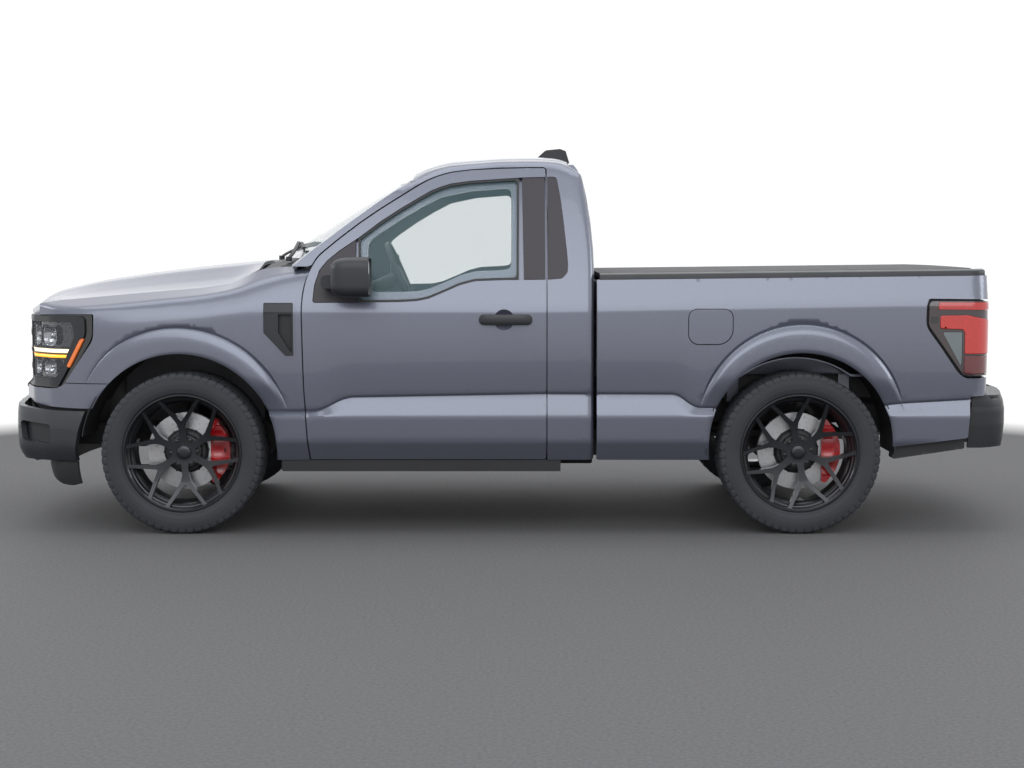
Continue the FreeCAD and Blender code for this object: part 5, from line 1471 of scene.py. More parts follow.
class TRUCK_OT_rear_bumper(bpy.types.Operator):
    """Make the rear bumper: a wrapped shell, its step pad on top and the blank plate pocket"""
    bl_idname = "truck.rear_bumper"
    bl_label = "Rear bumper"

    def execute(self, context):
        total = float(REAR_T[-1])
        low = soft_line([(0.0, 0.4325), (total * 0.6, 0.4325), (total - 0.17, 0.436), (total - 0.08, 0.4325),
                         (total - 0.004, 0.433)])
        side_edge = path([(total - 0.002, 0.44), (total - 0.012, 0.56), (total - 0.026, 0.69)], 0.014)
        top = path([(total - 0.032, 0.6965), (total - 0.14, 0.6985), (0.0, 0.6985)], 0.02)
        right = np.vstack([low, side_edge, top])
        ring = spaced(np.vstack([right, opposite(right)]))
        pocket = outline([(-0.172, 0.502, 0.012), (-0.172, 0.638, 0.012), (0.172, 0.638, 0.012),
                          (0.172, 0.502, 0.012)], 0.012)
        lines = [path([(-total + 0.04, z), (total - 0.04, z)], 0.022)
                 for z in (0.47, 0.545, 0.622, 0.6365, 0.641, 0.655)]
        flat, faces = tiled(ring, [pocket], kept(lines, ring, 0.008), (0.03, 0.022))

        def groove(f):
            """Narrow groove under the step pad's lip."""
            return 0.0035 * np.exp(-((f[:, 1] - 0.6388) / 0.0035) ** 2)

        skin = shell(flat, faces, lambda f: rear_surface(f, groove(f)), inward(rear_surface, 0.012))
        piece_from("rear_bumper_skin", facing_out(*skin), "black_plastic", "truck", ("rear_bumper",), 0.0025,
                   material=graphite())
        back = tiled(grown(pocket, 0.01), [], (), (0.03, 0.02))
        piece_from("plate_pocket", facing_out(*shell(*back, inward(rear_surface, 0.0125),
                                                     inward(rear_surface, 0.018))), "black_plastic", "truck",
                   (), 0.0, material=finish("black_plastic"))
        blank = tiled(outline([(-0.152, 0.532, 0.008), (-0.152, 0.628, 0.008), (0.152, 0.628, 0.008),
                               (0.152, 0.532, 0.008)], 0.012), [], (), (0.03, 0.02))
        piece_from("blank_plate", facing_out(*shell(*blank, inward(rear_surface, 0.0085),
                                                    inward(rear_surface, 0.0115))), "black_plastic", "truck",
                   (), 0.001,
                   material=plain_finish("plate_blank", (0.42, 0.42, 0.41), 0.45, 0.0, 0.2, 500.0, 0.00002,
                                         0.06))
        y = np.linspace(-1.0, 1.0, 121)
        q = np.linspace(0.0, 1.0, 12)
        v, u = np.meshgrid(q, y)
        edge_y = u * 0.905
        outer = rear_surface(columns(np.interp(np.abs(edge_y), REAR_Y, REAR_T),
                                     np.full(u.shape, 0.6975)).reshape(-1, 2), 0.003)
        s_out = FRONT_AXLE - outer[:, 0].reshape(u.shape)
        s = (TAIL + 0.009) + (s_out - TAIL - 0.009) * v
        pads = 0.0035 * (np.sin(s * 2.0 * math.pi
                                / 0.016) > 0.0) * (np.abs(edge_y) < 0.32) * (v > 0.2) * (v < 0.9)
        z_top = 0.699 - 0.0045 * (np.abs(edge_y) < 0.33) * (v > 0.15) + pads
        upper = columns(along(s), edge_y * np.ones_like(v), z_top)
        lower = upper.copy()
        lower[..., 2] = 0.686
        both_faces = np.concatenate([upper, lower[:, ::-1]], axis=1)
        piece_from("bumper_step", lofted(both_faces), "black_plastic", "truck", (), 0.0, 30.0, graphite())
        return {"FINISHED"}


def rail_height(s):
    """Height of the bed rail at a station."""
    return 1.284 + 0.0113 * (s - BED_FRONT)


class TRUCK_OT_bed_trim(bpy.types.Operator):
    """Make the bed's inner walls, rail caps and its hard cover with hinge seams"""
    bl_idname = "truck.bed_trim"
    bl_label = "Bed trim"

    def execute(self, context):
        arch_s, arch_z, arch_r = ARCHES["rear"][0]
        reach = math.asin((0.79 - arch_z) / (arch_r + 0.017))
        turn = np.linspace(reach, math.pi - reach, 40)
        over_wheel = [(arch_s + (arch_r + 0.017) * math.cos(t),
                       arch_z + (arch_r + 0.017) * math.sin(t)) for t in turn]
        inner = outline([(2.095, 0.79, 0.004), (2.095, 1.272, 0.004), (3.998, 1.292, 0.004),
                         (3.998, 0.79, 0.004)] + over_wheel, 0.02)
        starts = (2.2, 2.58, 2.96, 3.34)
        hollow = [outline([(s, 0.88, 0.04), (s, 1.16, 0.04), (s + 0.3, 1.16, 0.04), (s + 0.3, 0.88, 0.04)], 0.02)
                  for s in starts]
        lines = kept(hollow, inner, 0.006)

        def relief(f):
            """Raised fields between the posts of the inner wall."""
            across = sum(step_up(f[:, 0], s, s + 0.02) * (1.0 - step_up(f[:, 0], s + 0.28, s + 0.3))
                         for s in starts)
            return across * step_up(f[:, 1], 0.88, 0.9) * (1.0 - step_up(f[:, 1], 1.14, 1.16))

        wall = walled(inner, [], lines, (0.05, 0.04), upright(0.84),
                     lambda f: columns(along(f[:, 0]), 0.8265 + 0.006 * relief(f), f[:, 1]))
        piece_from("bed_inner_walls", both_sides(facing_out(*wall)), "body_paint", "truck", (), 0.0)
        s = np.linspace(2.108, TAIL - 0.022, 100)
        turn = np.arcsin(np.clip((s - CORNER_START) / CORNER, 0.0, 1.0))
        shape = outline([(-0.048, -0.001, 0.002), (-0.048, 0.028, 0.008), (-0.006, 0.0315, 0.02),
                         (0.0508, 0.024, 0.012), (0.0546, -0.0032, 0.002)], 0.006)
        centre_y = flank(np.minimum(s, CORNER_START), rail_height(s)) - 0.0535 - CORNER * (1.0 - np.cos(turn))
        sections = columns(along(s)[:, None] + 0.0 * shape[None, :, 0], centre_y[:, None] + shape[None, :, 0],
                             rail_height(s)[:, None] + 0.0008 + shape[None, :, 1])
        piece_from("rail_cap_trim", both_sides(lofted(sections)), "black_plastic", "truck", ("rail_caps",),
                   0.0, 40.0, graphite())
        top_y = 0.821
        ring = outline([(2.102, -top_y, 0.02), (2.102, top_y, 0.02), (4.006, top_y, 0.012),
                        (4.006, -top_y, 0.012)], 0.03)
        seams = [columns(np.full(60, c), np.linspace(-0.8, 0.8, 60))
                 for c in (2.745, 2.749, 2.757, 2.761, 3.392, 3.396, 3.404, 3.408)]

        def cover_top(f):
            """Height of the cover: a slight crown, two seams and rolled edges."""
            s, y = f[:, 0], np.abs(f[:, 1])
            seam = sum(np.exp(-((s - c) / 0.0045) ** 2) for c in (2.753, 3.4))
            crown = 1.3185 + 0.0115 * (s - BED_FRONT) + 0.0035 * (1.0 - (y / 0.82) ** 2)
            return crown - 0.006 * seam - 0.006 * step_up(y, 0.795, 0.821) ** 2

        lid = walled(ring, [], seams, (0.06, 0.05), lambda f: columns(along(f[:, 0]), f[:, 1], cover_top(f)),
                    lambda f: columns(along(f[:, 0]), f[:, 1], cover_top(f) - 0.02))
        piece_from("bed_cover_top", facing_out(*lid), "cover_black", "bed_cover", ("bed_cover",), 0.003)
        return {"FINISHED"}


# Wheels: tyre, rim, hub, brake disc and caliper, each made about the origin with its outer side on +y

WHEEL_Y = 0.85
AXLE_Z = 0.408
WHEELS = (("front_left", 0.0, 1.0, 3.4), ("front_right", 0.0, -1.0, 3.4),
          ("rear_left", WHEELBASE, 1.0, 10.5), ("rear_right", WHEELBASE, -1.0, 10.5))


def at_wheel(shape, station, sign, turn=0.0):
    """Turns a shape about its axle and sets it at its wheel; the right side is a mirror image."""
    p, a = shape[0], math.radians(turn)
    q = columns(p[:, 0] * math.cos(a) + p[:, 2] * math.sin(a) + along(station), p[:, 1] + WHEEL_Y,
                  p[:, 2] * math.cos(a) - p[:, 0] * math.sin(a) + AXLE_Z)
    return (q, shape[1]) if sign > 0.0 else mirrored_shape((q, shape[1]))


def revolved(profile, angles, closed=True, change=None):
    """A profile (radius, y) turned round the axle: radius times (cosine, sine) of each angle, with an
    optional change of the radius by angle."""
    profile = np.asarray(profile, dtype=float)
    a = full_turn(angles) if isinstance(angles, int) else angles
    r = np.repeat(profile[None, :, 0], len(a), axis=0)
    y = np.repeat(profile[None, :, 1], len(a), axis=0)
    if change is not None:
        r, y = change(a[:, None], r, y)
    points = columns(r * np.cos(a)[:, None], y, r * np.sin(a)[:, None])
    corners, faces = grid(points, wrap_u=True, wrap_v=closed)
    return facing_out(corners, faces)


def drum(radius, y0, y1, sides=24, at=(0.0, 0.0), soft=0.0012, bore=0.0):
    """Short cylinder along y with rounded rims, at a place (x, z) off the axle."""
    core = max(bore, 0.00005)
    profile = outline([(core, y0), (core, y1), (radius, y1, soft), (radius, y0, soft)], 0.004) if soft else \
        np.array([(core, y0), (core, y1), (radius, y1), (radius, y0)])
    corners, faces = revolved(profile, sides)
    return corners + np.array([at[0], 0.0, at[1]]), faces


def disc_face(ring, holes, outer_y, inner_y, step=(0.014, 0.014), lines=()):
    """Closed plate across the axle: an outline in (x, z) with holes, its faces at heights given by radius."""
    flat, faces = tiled(ring, holes, lines, step)

    def lift(height):
        """Flat points lifted to a height given by their radius."""
        return lambda f: columns(f[:, 0], height(np.hypot(f[:, 0], f[:, 1])), f[:, 1])

    return facing_out(*shell(flat, faces, lift(outer_y), lift(inner_y)))


def ring_of(radius, count, at=(0.0, 0.0)):
    """Even points round a circle across the axle."""
    a = full_turn(count)
    return columns(at[0] + radius * np.cos(a), at[1] + radius * np.sin(a))


def turned_flat(points, degrees):
    """Flat points turned round the axle."""
    a = math.radians(degrees)
    points = np.asarray(points)
    return columns(points[:, 0] * math.cos(a) - points[:, 1] * math.sin(a),
                     points[:, 0] * math.sin(a) + points[:, 1] * math.cos(a))


def tyre_shape():
    """Tyre: a rounded cross-section turned round the axle; cross grooves are cut where the angle falls
    in the first part of each of 60 steps, on the shoulders, and half a step later in the middle ribs."""
    half = [(0.2835, 0.089), (0.2835, 0.1065), (0.3, 0.113), (0.3015, 0.124, 0.004), (0.308, 0.131, 0.006),
            (0.3085, 0.1322), (0.3125, 0.133), (0.313, 0.1345, 0.004), (0.33, 0.1402, 0.02),
            (0.352, 0.1424, 0.03), (0.37, 0.1412, 0.02),
            (0.377, 0.14), (0.3775, 0.1412), (0.38, 0.141), (0.3805, 0.1396), (0.39, 0.1388, 0.008),
            (0.401, 0.135, 0.009), (0.4068, 0.1225, 0.012), (0.4076, 0.098)]
    grooves = []
    for y in (0.062, 0.02):
        grooves += [(0.4068 + 0.012 * (0.1 - y), y + 0.006), (0.3985, y + 0.0046), (0.3985, y - 0.0046),
                    (0.4068 + 0.012 * (0.1 - y), y - 0.006)]
    inner = [(0.395, 0.08), (0.382, 0.108, 0.02), (0.355, 0.129, 0.03), (0.315, 0.1215, 0.02),
             (0.296, 0.098, 0.01)]
    upper = half + grooves
    lower = [(c[0], -c[1], *c[2:]) for c in upper[::-1]]
    back = [(c[0], -c[1], *c[2:]) for c in inner[::-1]]
    ring = outline(upper + lower + back + inner, 0.013)
    cuts = np.array([0.0, 0.05, 0.22, 0.27, 0.5, 0.54, 0.64, 0.68])
    angles = ((np.arange(60)[:, None] + cuts[None]) * (2.0 * math.pi / 60.0)).ravel()

    def change(a, r, y):
        """Cuts the shoulder notches and the rib sipes."""
        share = np.round((a * 60.0 / (2.0 * math.pi)) % 1.0, 6)
        shoulder = ((share > 0.04) & (share < 0.23)).astype(float)
        middle = ((share > 0.53) & (share < 0.65)).astype(float)
        side_zone = step_up(np.abs(y), 0.067, 0.069) * step_up(r, 0.384, 0.39)
        rib_zone = (1.0 - step_up(np.abs(y), 0.053, 0.055)) * step_up(r, 0.4045, 0.4055)
        rib_zone = rib_zone * step_up(np.abs(y), 0.027, 0.029)
        r = r - 0.004 * shoulder * side_zone - 0.005 * middle * rib_zone
        y = y - np.sign(y) * 0.0018 * shoulder * step_up(r, 0.378, 0.386) * step_up(np.abs(y), 0.12, 0.134)
        return r, y

    return revolved(ring, angles, True, change)


def rim_barrel():
    """The rim's barrel with its lips and bead seats, turned round the axle."""
    ring = outline([(0.3, 0.1205, 0.002), (0.299, 0.1135, 0.002), (0.2825, 0.1085, 0.003),
                    (0.282, 0.088, 0.006), (0.264, 0.066, 0.02),
                    (0.264, -0.066, 0.02), (0.282, -0.088, 0.006), (0.282, -0.108, 0.003),
                    (0.3, -0.114, 0.002),
                    (0.3, -0.122, 0.001), (0.276, -0.118, 0.006), (0.254, -0.062, 0.02),
                    (0.254, 0.048, 0.006), (0.258, 0.051, 0.001),
                    (0.2585, 0.064, 0.001), (0.266, 0.07, 0.004), (0.272, 0.088, 0.002),
                    (0.2785, 0.0905, 0.002), (0.281, 0.109, 0.004),
                    (0.288, 0.116, 0.002), (0.2905, 0.1205, 0.001)], 0.011)
    return revolved(ring, 144)


def rim_star():
    """Six forked spokes: a plate with twelve windows whose outer face rises from the hub to the lip."""
    holes = []
    reach = 0.2835
    for index in range(6):
        turn = index * 60.0
        side_a = math.radians(18.2)
        corner = (reach * math.sin(side_a), reach * math.cos(side_a))
        fork = outline([(0.0, 0.158, 0.007), (corner[0] * 0.52, 0.2165, 0.1), (corner[0], corner[1], 0.006),
                        (0.0, reach + 0.013, 0.16), (-corner[0], corner[1], 0.006),
                        (-corner[0] * 0.52, 0.2165, 0.1)], 0.008)
        holes.append(turned_flat(fork, turn))
        side_b = math.radians(22.0)
        right = [(reach * math.sin(side_b), reach * math.cos(side_b), 0.006), (0.062, 0.206, 0.12),
                 (0.0262, 0.15, 0.022), (0.0168, 0.118, 0.02), (0.0172, 0.064, 0.01)]
        mirror_line = math.radians(30.0)
        left = [(c[0] * math.cos(2.0 * mirror_line) * -1.0 + c[1] * math.sin(2.0 * mirror_line),
                 c[0] * math.sin(2.0 * mirror_line) + c[1] * math.cos(2.0 * mirror_line),
                 c[2]) for c in right]
        middle = [((reach + 0.0015) * math.sin(mirror_line), (reach + 0.0015) * math.cos(mirror_line), 0.1)]
        hub = [(0.057 * math.sin(mirror_line), 0.057 * math.cos(mirror_line), 0.05)]
        window = outline(right + hub + left[::-1] + middle, 0.008)
        holes.append(turned_flat(window, turn))
    rise = np.array([(0.0, 0.066), (0.05, 0.0665), (0.1, 0.069), (0.145, 0.074), (0.2, 0.086), (0.25, 0.101),
                     (0.3, 0.117)])

    def outer(r):
        """Height of the spokes' face."""
        return np.interp(r, rise[:, 0], rise[:, 1])

    def inner(r):
        """Height of the spokes' back."""
        return outer(r) - np.interp(r, [0.0, 0.08, 0.15, 0.3], [0.046, 0.044, 0.036, 0.03])

    return disc_face(ring_of(0.2868, 150), holes, outer, inner, (0.012, 0.012))


def hub_parts():
    """Hub cap, mounting plate and six lug nuts."""
    cap = revolved(outline([(0.00005, 0.04), (0.00005, 0.0765, 0.001), (0.02, 0.076, 0.02),
                            (0.033, 0.0725, 0.006), (0.0352, 0.07, 0.001), (0.0358, 0.067), (0.0375, 0.067),
                            (0.038, 0.0695, 0.001),
                            (0.04, 0.0695, 0.001), (0.0405, 0.065), (0.0405, 0.04)], 0.004), 72)
    plate = revolved(outline([(0.03, 0.014), (0.03, 0.046), (0.084, 0.046, 0.003), (0.088, 0.016, 0.004)],
                             0.006), 72)
    nuts = []
    for index in range(6):
        a = math.radians(30.0 + index * 60.0)
        at = (0.0675 * math.sin(a), 0.0675 * math.cos(a))
        nuts.append(drum(0.0112, 0.046, 0.0615, 6, at, 0.0))
        nuts.append(drum(0.0085, 0.0615, 0.0665, 24, at, 0.002))
    return cap, plate, merged(nuts)


def rotor_parts():
    """Two drilled plates with their vanes, and the hat with its slots and bobbins."""
    drilled = []
    for radius, count, phase in ((0.132, 20, 0.0), (0.153, 20, 6.0), (0.176, 20, 12.0)):
        for index in range(count):
            a = math.radians(index * 360.0 / count + phase)
            drilled.append(ring_of(0.0042, 9, (radius * math.sin(a), radius * math.cos(a))))
    edge, bore = ring_of(0.1958, 160), ring_of(0.115, 110)
    plates = [disc_face(edge, [bore] + drilled, level(a), level(b), (0.02, 0.02))
              for a, b in ((-0.0123, -0.0215), (-0.0345, -0.0437))]
    vanes = disc_face(ring_of(0.186, 120), [ring_of(0.12, 90)], level(-0.0214), level(-0.0346), (0.03, 0.03))
    slots = []
    for index in range(10):
        a = index * 36.0
        slots.append(turned_flat(outline([(-0.006, 0.066, 0.006), (-0.008, 0.09, 0.006),
                                          (0.008, 0.09, 0.006), (0.006, 0.066, 0.006)], 0.004), a))
    hat_rise = np.array([(0.0, 0.0188), (0.096, 0.0188), (0.1025, 0.015), (0.1095, -0.012), (0.117, -0.0128),
                         (0.12, -0.0128)])
    hat = disc_face(ring_of(0.1185, 120), [ring_of(0.041, 48)] + slots,
                    lambda r: np.interp(r, hat_rise[:, 0], hat_rise[:, 1]),
                    lambda r: np.interp(r, hat_rise[:, 0], hat_rise[:, 1]) - 0.007, (0.006, 0.006),
                    [ring_of(0.0965, 90), ring_of(0.1025, 90), ring_of(0.1095, 100)])
    bobbins = [drum(0.0048, -0.0126, -0.0075, 14, (0.114 * math.sin(a), 0.114 * math.cos(a)), 0.001)
               for a in full_turn(12)]
    return merged(plates + [vanes]), merged([hat] + bobbins)


def caliper_shape():
    """Caliper: a segment of the wheel's circle, in two halves beside the disc, joined over its rim."""
    face_ring = outline([(-0.131, 0.164, 0.012), (-0.156, 0.16, 0.01), (-0.199, 0.104, 0.05),
                         (-0.2215, 0.048, 0.05), (-0.224, 0.0, 0.2), (-0.2215, -0.048, 0.05),
                         (-0.199, -0.104, 0.05), (-0.156, -0.16, 0.01), (-0.131, -0.164, 0.012),
                         (-0.127, -0.07, 0.02), (-0.127, 0.07, 0.02)], 0.006)

    def rise(f):
        """The calliper's face, with three low pads."""
        pads = np.exp(-((f[:, 1] % 0.084 - 0.042) / 0.026) ** 4) * np.exp(-((f[:, 0] + 0.163) / 0.03) ** 4)
        return 0.0035 + 0.0055 * pads * (np.abs(f[:, 1]) < 0.126)

    front = facing_out(*walled(face_ring, [outline([(-0.196, 0.014, 0.006), (-0.212, 0.014, 0.006),
                                                    (-0.212, -0.014, 0.006), (-0.196, -0.014, 0.006)],
                                                   0.004)], (), (0.006, 0.006),
                               lambda f: columns(f[:, 0], rise(f), f[:, 1]),
                               lambda f: columns(f[:, 0], -0.0095 + 0.0 * f[:, 0], f[:, 1])))
    back = disc_face(face_ring, [], level(-0.047), level(-0.069), (0.02, 0.02))
    bridge_ring = outline([(-0.164, 0.15, 0.004), (-0.2, 0.1, 0.06), (-0.2235, 0.0, 0.2), (-0.2, -0.1, 0.06),
                           (-0.164, -0.15, 0.004), (-0.154, -0.138, 0.002),
                           (-0.184, -0.088, 0.06), (-0.201, 0.0, 0.2), (-0.184, 0.088, 0.06),
                           (-0.154, 0.138, 0.002)], 0.006)
    keep = np.hypot(bridge_ring[:, 0], bridge_ring[:, 1])
    scale = np.maximum(keep, 0.2) / keep
    bridge = disc_face(bridge_ring * scale[:, None], [], level(-0.009), level(-0.048), (0.02, 0.02))
    return front, back, bridge


class TRUCK_OT_wheels(bpy.types.Operator):
    """Make the four wheels: treaded tyre, forked rim, hub, lug nuts and drilled brake disc"""
    bl_idname = "truck.wheels"
    bl_label = "Wheels"

    def execute(self, context):
        tyre, barrel, star = tyre_shape(), rim_barrel(), rim_star()
        cap, plate, nuts = hub_parts()
        rotor, hat = rotor_parts()
        for name, station, sign, turn in WHEELS:
            body = "wheel_" + name
            put = lambda shape, turn=turn: at_wheel(shape, station, sign, turn)
            piece_from("tyre_" + name + "_tread", put(tyre), "tyre", body, ("tyre_" + name,), 0.0, 50.0)
            piece_from("rim_" + name + "_star", put(star), "rim_black", body, ("rim_" + name,), 0.003, 40.0)
            piece_from("rim_" + name + "_barrel", put(barrel), "rim_black", body, (), 0.0, 32.0)
            piece_from("rim_" + name + "_hub", put(merged([plate, cap])), "rim_black", body, (), 0.0, 32.0)
            piece_from("rim_" + name + "_nuts", put(nuts), "rim_black", body, (), 0.0, 32.0,
                       finish("gloss_black"))
            piece_from("disc_" + name + "_rotor", put(rotor), "steel", body, ("brake_disc_" + name,), 0.0,
                       32.0)
            piece_from("disc_" + name + "_hat", put(hat), "steel", body, (), 0.0, 32.0,
                       finish("black_plastic"))
        halves = caliper_shape()
        for hand, sign in SIDES:
            for part, shape in zip(("front", "back", "bridge"), halves):
                piece_from("caliper_front_%s_%s" % (hand, part), at_wheel(shape, 0.0, sign), "caliper_red",
                           "knuckle_" + hand,
                           ("front_caliper_" + hand,) if part == "front" else (), 0.0035, 38.0)
        for part, shape in zip(("front", "back", "bridge"), halves):
            piece_from("caliper_rear_" + part, both_sides(at_wheel(shape, WHEELBASE, 1.0)), "caliper_red",
                       "truck",
                       ("rear_calipers",) if part == "front" else (), 0.0035, 38.0)
        return {"FINISHED"}


# Roof, screen, back, glass, mirrors and seats

SCREEN = np.polyfit([1.392, 1.622, 1.822], [(0.44, 0.592, 0.765), (0.77, 0.92, 0.705), (1.12, 1.185, 0.64)],
                    2)
LIGHT = [(0.935, 1.222, 0.04), (0.935, 1.47, 0.06), (1.0, 1.52), (1.101, 1.588), (1.202, 1.648), (1.303, 1.7),
         (1.454, 1.732), (1.606, 1.744), (1.662, 1.747, 0.03), (1.662, 1.336, 0.03), (1.605, 1.33),
         (1.479, 1.324),
         (1.403, 1.304), (1.352, 1.281), (1.251, 1.238), (1.19, 1.224), (1.099, 1.222)]
REAR_PANE = [(-0.59, 1.368, 0.05), (0.59, 1.368, 0.05), (0.54, 1.765, 0.06), (-0.54, 1.765, 0.06)]
CAB_PATCH = [(1.8475, 1.803, 0.004), (1.892, 1.803, 0.02), (1.898, 1.769), (1.913, 1.684), (1.928, 1.558),
             (1.941, 1.432),
             (1.947, 1.357), (1.944, 1.321, 0.02), (1.919, 1.292, 0.02), (1.8475, 1.285, 0.004)]
CUP = (1.626, 1.084)
DOOR_BODIES = ("door_left", "door_right")
TRUCK_BODIES = ("truck", "truck")
NONE = ((), ())


def lofted(rings):
    """Closed solid through a row of equal rings of points, with flat ends."""
    rings = np.asarray(rings)
    corners, faces = grid(rings, wrap_v=True)
    n, m = rings.shape[:2]
    return facing_out(corners, faces.tolist() + [list(range(m)), list(range((n - 1) * m, n * m))[::-1]])


def slab(outer, inner):
    """Closed wall between two equal grids of points."""
    corners, quads = grid(np.asarray(outer))
    faces = np.vstack([quads[:, [0, 1, 2]], quads[:, [0, 2, 3]]])
    return shell(corners, faces, lambda f: f, lambda f: np.asarray(inner).reshape(-1, 3))


def drawn_in(ring, distance):
    """Outline moved inwards, without the parts that would cross at tight corners."""
    moved = grown(ring, -distance)
    gap = np.sqrt(((moved[:, None] - ring[None]) ** 2).sum(axis=-1)).min(axis=1)
    return spaced(moved[gap > 0.985 * distance])


def side_plate(ring, near, far, holes=(), step=(0.03, 0.02)):
    """Closed plate between two depths under the side surface."""
    return walled(ring, holes, (), step, inward(side, near), inward(side, far))


def screen_point(flat, inset=0.0):
    """Screen over (width, rise): a parabola across it through its middle and its edge, each a parabola
    in height; the inner face is moved down along the mean slope."""
    u, z = flat[:, 0] / 0.7, 1.392 + flat[:, 1] * 0.43 / 0.8
    middle, edge, half = (np.polyval(SCREEN[:, k], z) for k in range(3))
    return columns(along(middle + (edge - middle) * u ** 2) - 0.55 * inset, half * u, z - 0.84 * inset)


def roof_point(flat, inset=0.0):
    """Roof over (station, y): its crown, sunk a little along the ditches."""
    s, y = flat[:, 0], flat[:, 1]
    return columns(along(s), y, roof_height(s, y) - 0.006 * step_up(np.abs(y), 0.604, 0.636) - inset)


def back_point(flat, inset=0.0):
    """Cab back over (half width, height): the rear edge of the cab sides, carried across with a slight
    crown, and rolled over towards the roof at the height of the roof's own crown."""
    y, z = flat[:, 0], flat[:, 1]
    lift = z + (roof_height(1.95, 0.0) - roof_height(1.95, y)) * step_up(z, 1.7, 1.86)
    s = blurred(lift, [0.3, 1.338, 1.431, 1.56, 1.663, 1.777, 1.833, 1.877, 1.9, 1.915],
                [2.079, 2.079, 2.076, 2.064, 2.049, 2.03, 2.017, 1.998, 1.978, 1.955], 0.012)
    return columns(along(s + 0.008 * (1.0 - (y / 0.94) ** 2)) + inset, y, z)


def cab_rim():
    """Half width and height of the rear rim of a cab side."""
    rim = soft_line(CAB_BACK)
    edge = cab_surface(rim, 0.0)
    return edge[rim[:, 1] > 0.45][:, 1:]


class TRUCK_OT_roof(bpy.types.Operator):
    """Press the roof, the cab back and the screen pillars"""
    bl_idname = "truck.roof"
    bl_label = "Roof and back"

    def execute(self, context):
        y = np.linspace(-0.636, 0.636, 60)
        front = columns(1.129 + 0.063 * (y / 0.64) ** 2, y)
        rear = columns(1.957 - 0.006 * (y / 0.64) ** 2, y)[::-1]
        edge = path([front[-1], rear[0]], 0.03)[1:-1]
        ring = np.vstack([front, edge, rear, (edge * [1.0, -1.0])[::-1]])
        folds = [columns(np.linspace(1.2, 1.94, 40), np.full(40, k)) for k in
                 (-0.628, -0.62, -0.612, -0.604, 0.604, 0.612, 0.62, 0.628)]
        piece_from("roof_skin", walled(ring, (), folds, (0.035, 0.035), roof_point,
                                       inward(roof_point, 0.022)), "body_paint", "truck",
                   ("cab_roof",), 0.003)
        piece_from("headliner", walled(drawn_in(ring, 0.03), (), (), (0.05, 0.05), inward(roof_point, 0.024),
                                       inward(roof_point, 0.032)),
                   "seat_cloth", "truck")

        rim = cab_rim() - [0.004, 0.0]
        rim = rim[::-1]
        top_y = np.linspace(rim[-1, 0], -rim[-1, 0], 60)[1:-1]
        top = columns(top_y, roof_height(1.96, top_y) - 0.003)
        left = rim * [-1.0, 1.0]
        ring = spaced(np.vstack([rim, top, left[::-1], path([left[0], rim[0]], 0.03)[1:-1]]))
        hole = outline(REAR_PANE, 0.015)
        rows = [columns(np.linspace(-0.64, 0.64, 50), np.full(50, z) - (roof_height(1.95, 0.0) - roof_height(
            1.95, np.linspace(-0.64, 0.64, 50)))) for z in (1.8, 1.82, 1.838, 1.855, 1.87, 1.882)]
        piece_from("back_skin", walled(ring, [hole], kept(rows, ring), (0.035, 0.035), back_point,
                                       inward(back_point, 0.028)), "body_paint", "truck",
                   ("cab_back",), 0.003)
        pane = drawn_in(hole, 0.004)
        piece_from("rear_pane", walled(pane, (), (), (0.04, 0.04), inward(back_point, 0.003),
                                       inward(back_point, 0.008)),
                   "glass", "truck", ("cab_glass",), 0.0008)
        piece_from("rear_pane_band", walled(pane, [drawn_in(hole, 0.034)], (), (0.04, 0.04),
                                            inward(back_point, 0.0082), inward(back_point, 0.01)),
                   "gloss_black", "truck", (), 0.0)
        lamp = outline([(-0.175, 1.802, 0.012), (0.175, 1.802, 0.012), (0.16, 1.834, 0.012),
                        (-0.16, 1.834, 0.012)], 0.006)
        piece_from("high_lamp", walled(lamp, (), (), (0.02, 0.012), inward(back_point, -0.007),
                                       inward(back_point, 0.004)),
                   "lamp_red", "truck", (), 0.002)

        # Screen pillars: a bowed sheet from the cab side's screen edge to the side edge of the screen
        outer_line = cab_surface(path([(0.56, 1.349), (0.582, 1.366), (0.634, 1.412), (0.839, 1.569),
                                       (0.993, 1.681),
                                       (1.095, 1.749), (1.15, 1.783)], 0.02), 0.0)
        rise = (outer_line[:, 2] + np.linspace(0.012, 0.018, len(outer_line)) - 1.392) * 0.8 / 0.43
        inner_line = screen_point(columns(np.full(len(rise), 0.704), rise), 0.0)
        k = np.linspace(0.0, 1.0, 14)[None, :, None]
        face = outer_line[:, None] * (1.0 - k) + inner_line[:, None] * k
        face = face + np.array([0.003, 0.004, 0.005]) * np.sin(math.pi * k)
        face = face - np.array([0.0, 0.003, 0.0]) * (1.0 - k)
        pair("screen_pillar", slab(face, face - np.array([0.01, 0.006, 0.016])), "body_paint", TRUCK_BODIES,
             NONE, 0.0015)
        s = np.linspace(1.18, 1.94, 50)
        track = columns(along(s), np.full(50, 0.639), roof_height(s, 0.639) - 0.007)
        pair("roof_strip", swept(oval(0.005, 0.004, 3.0, 10), track), "black_plastic", TRUCK_BODIES, NONE,
             0.0)
        return {"FINISHED"}


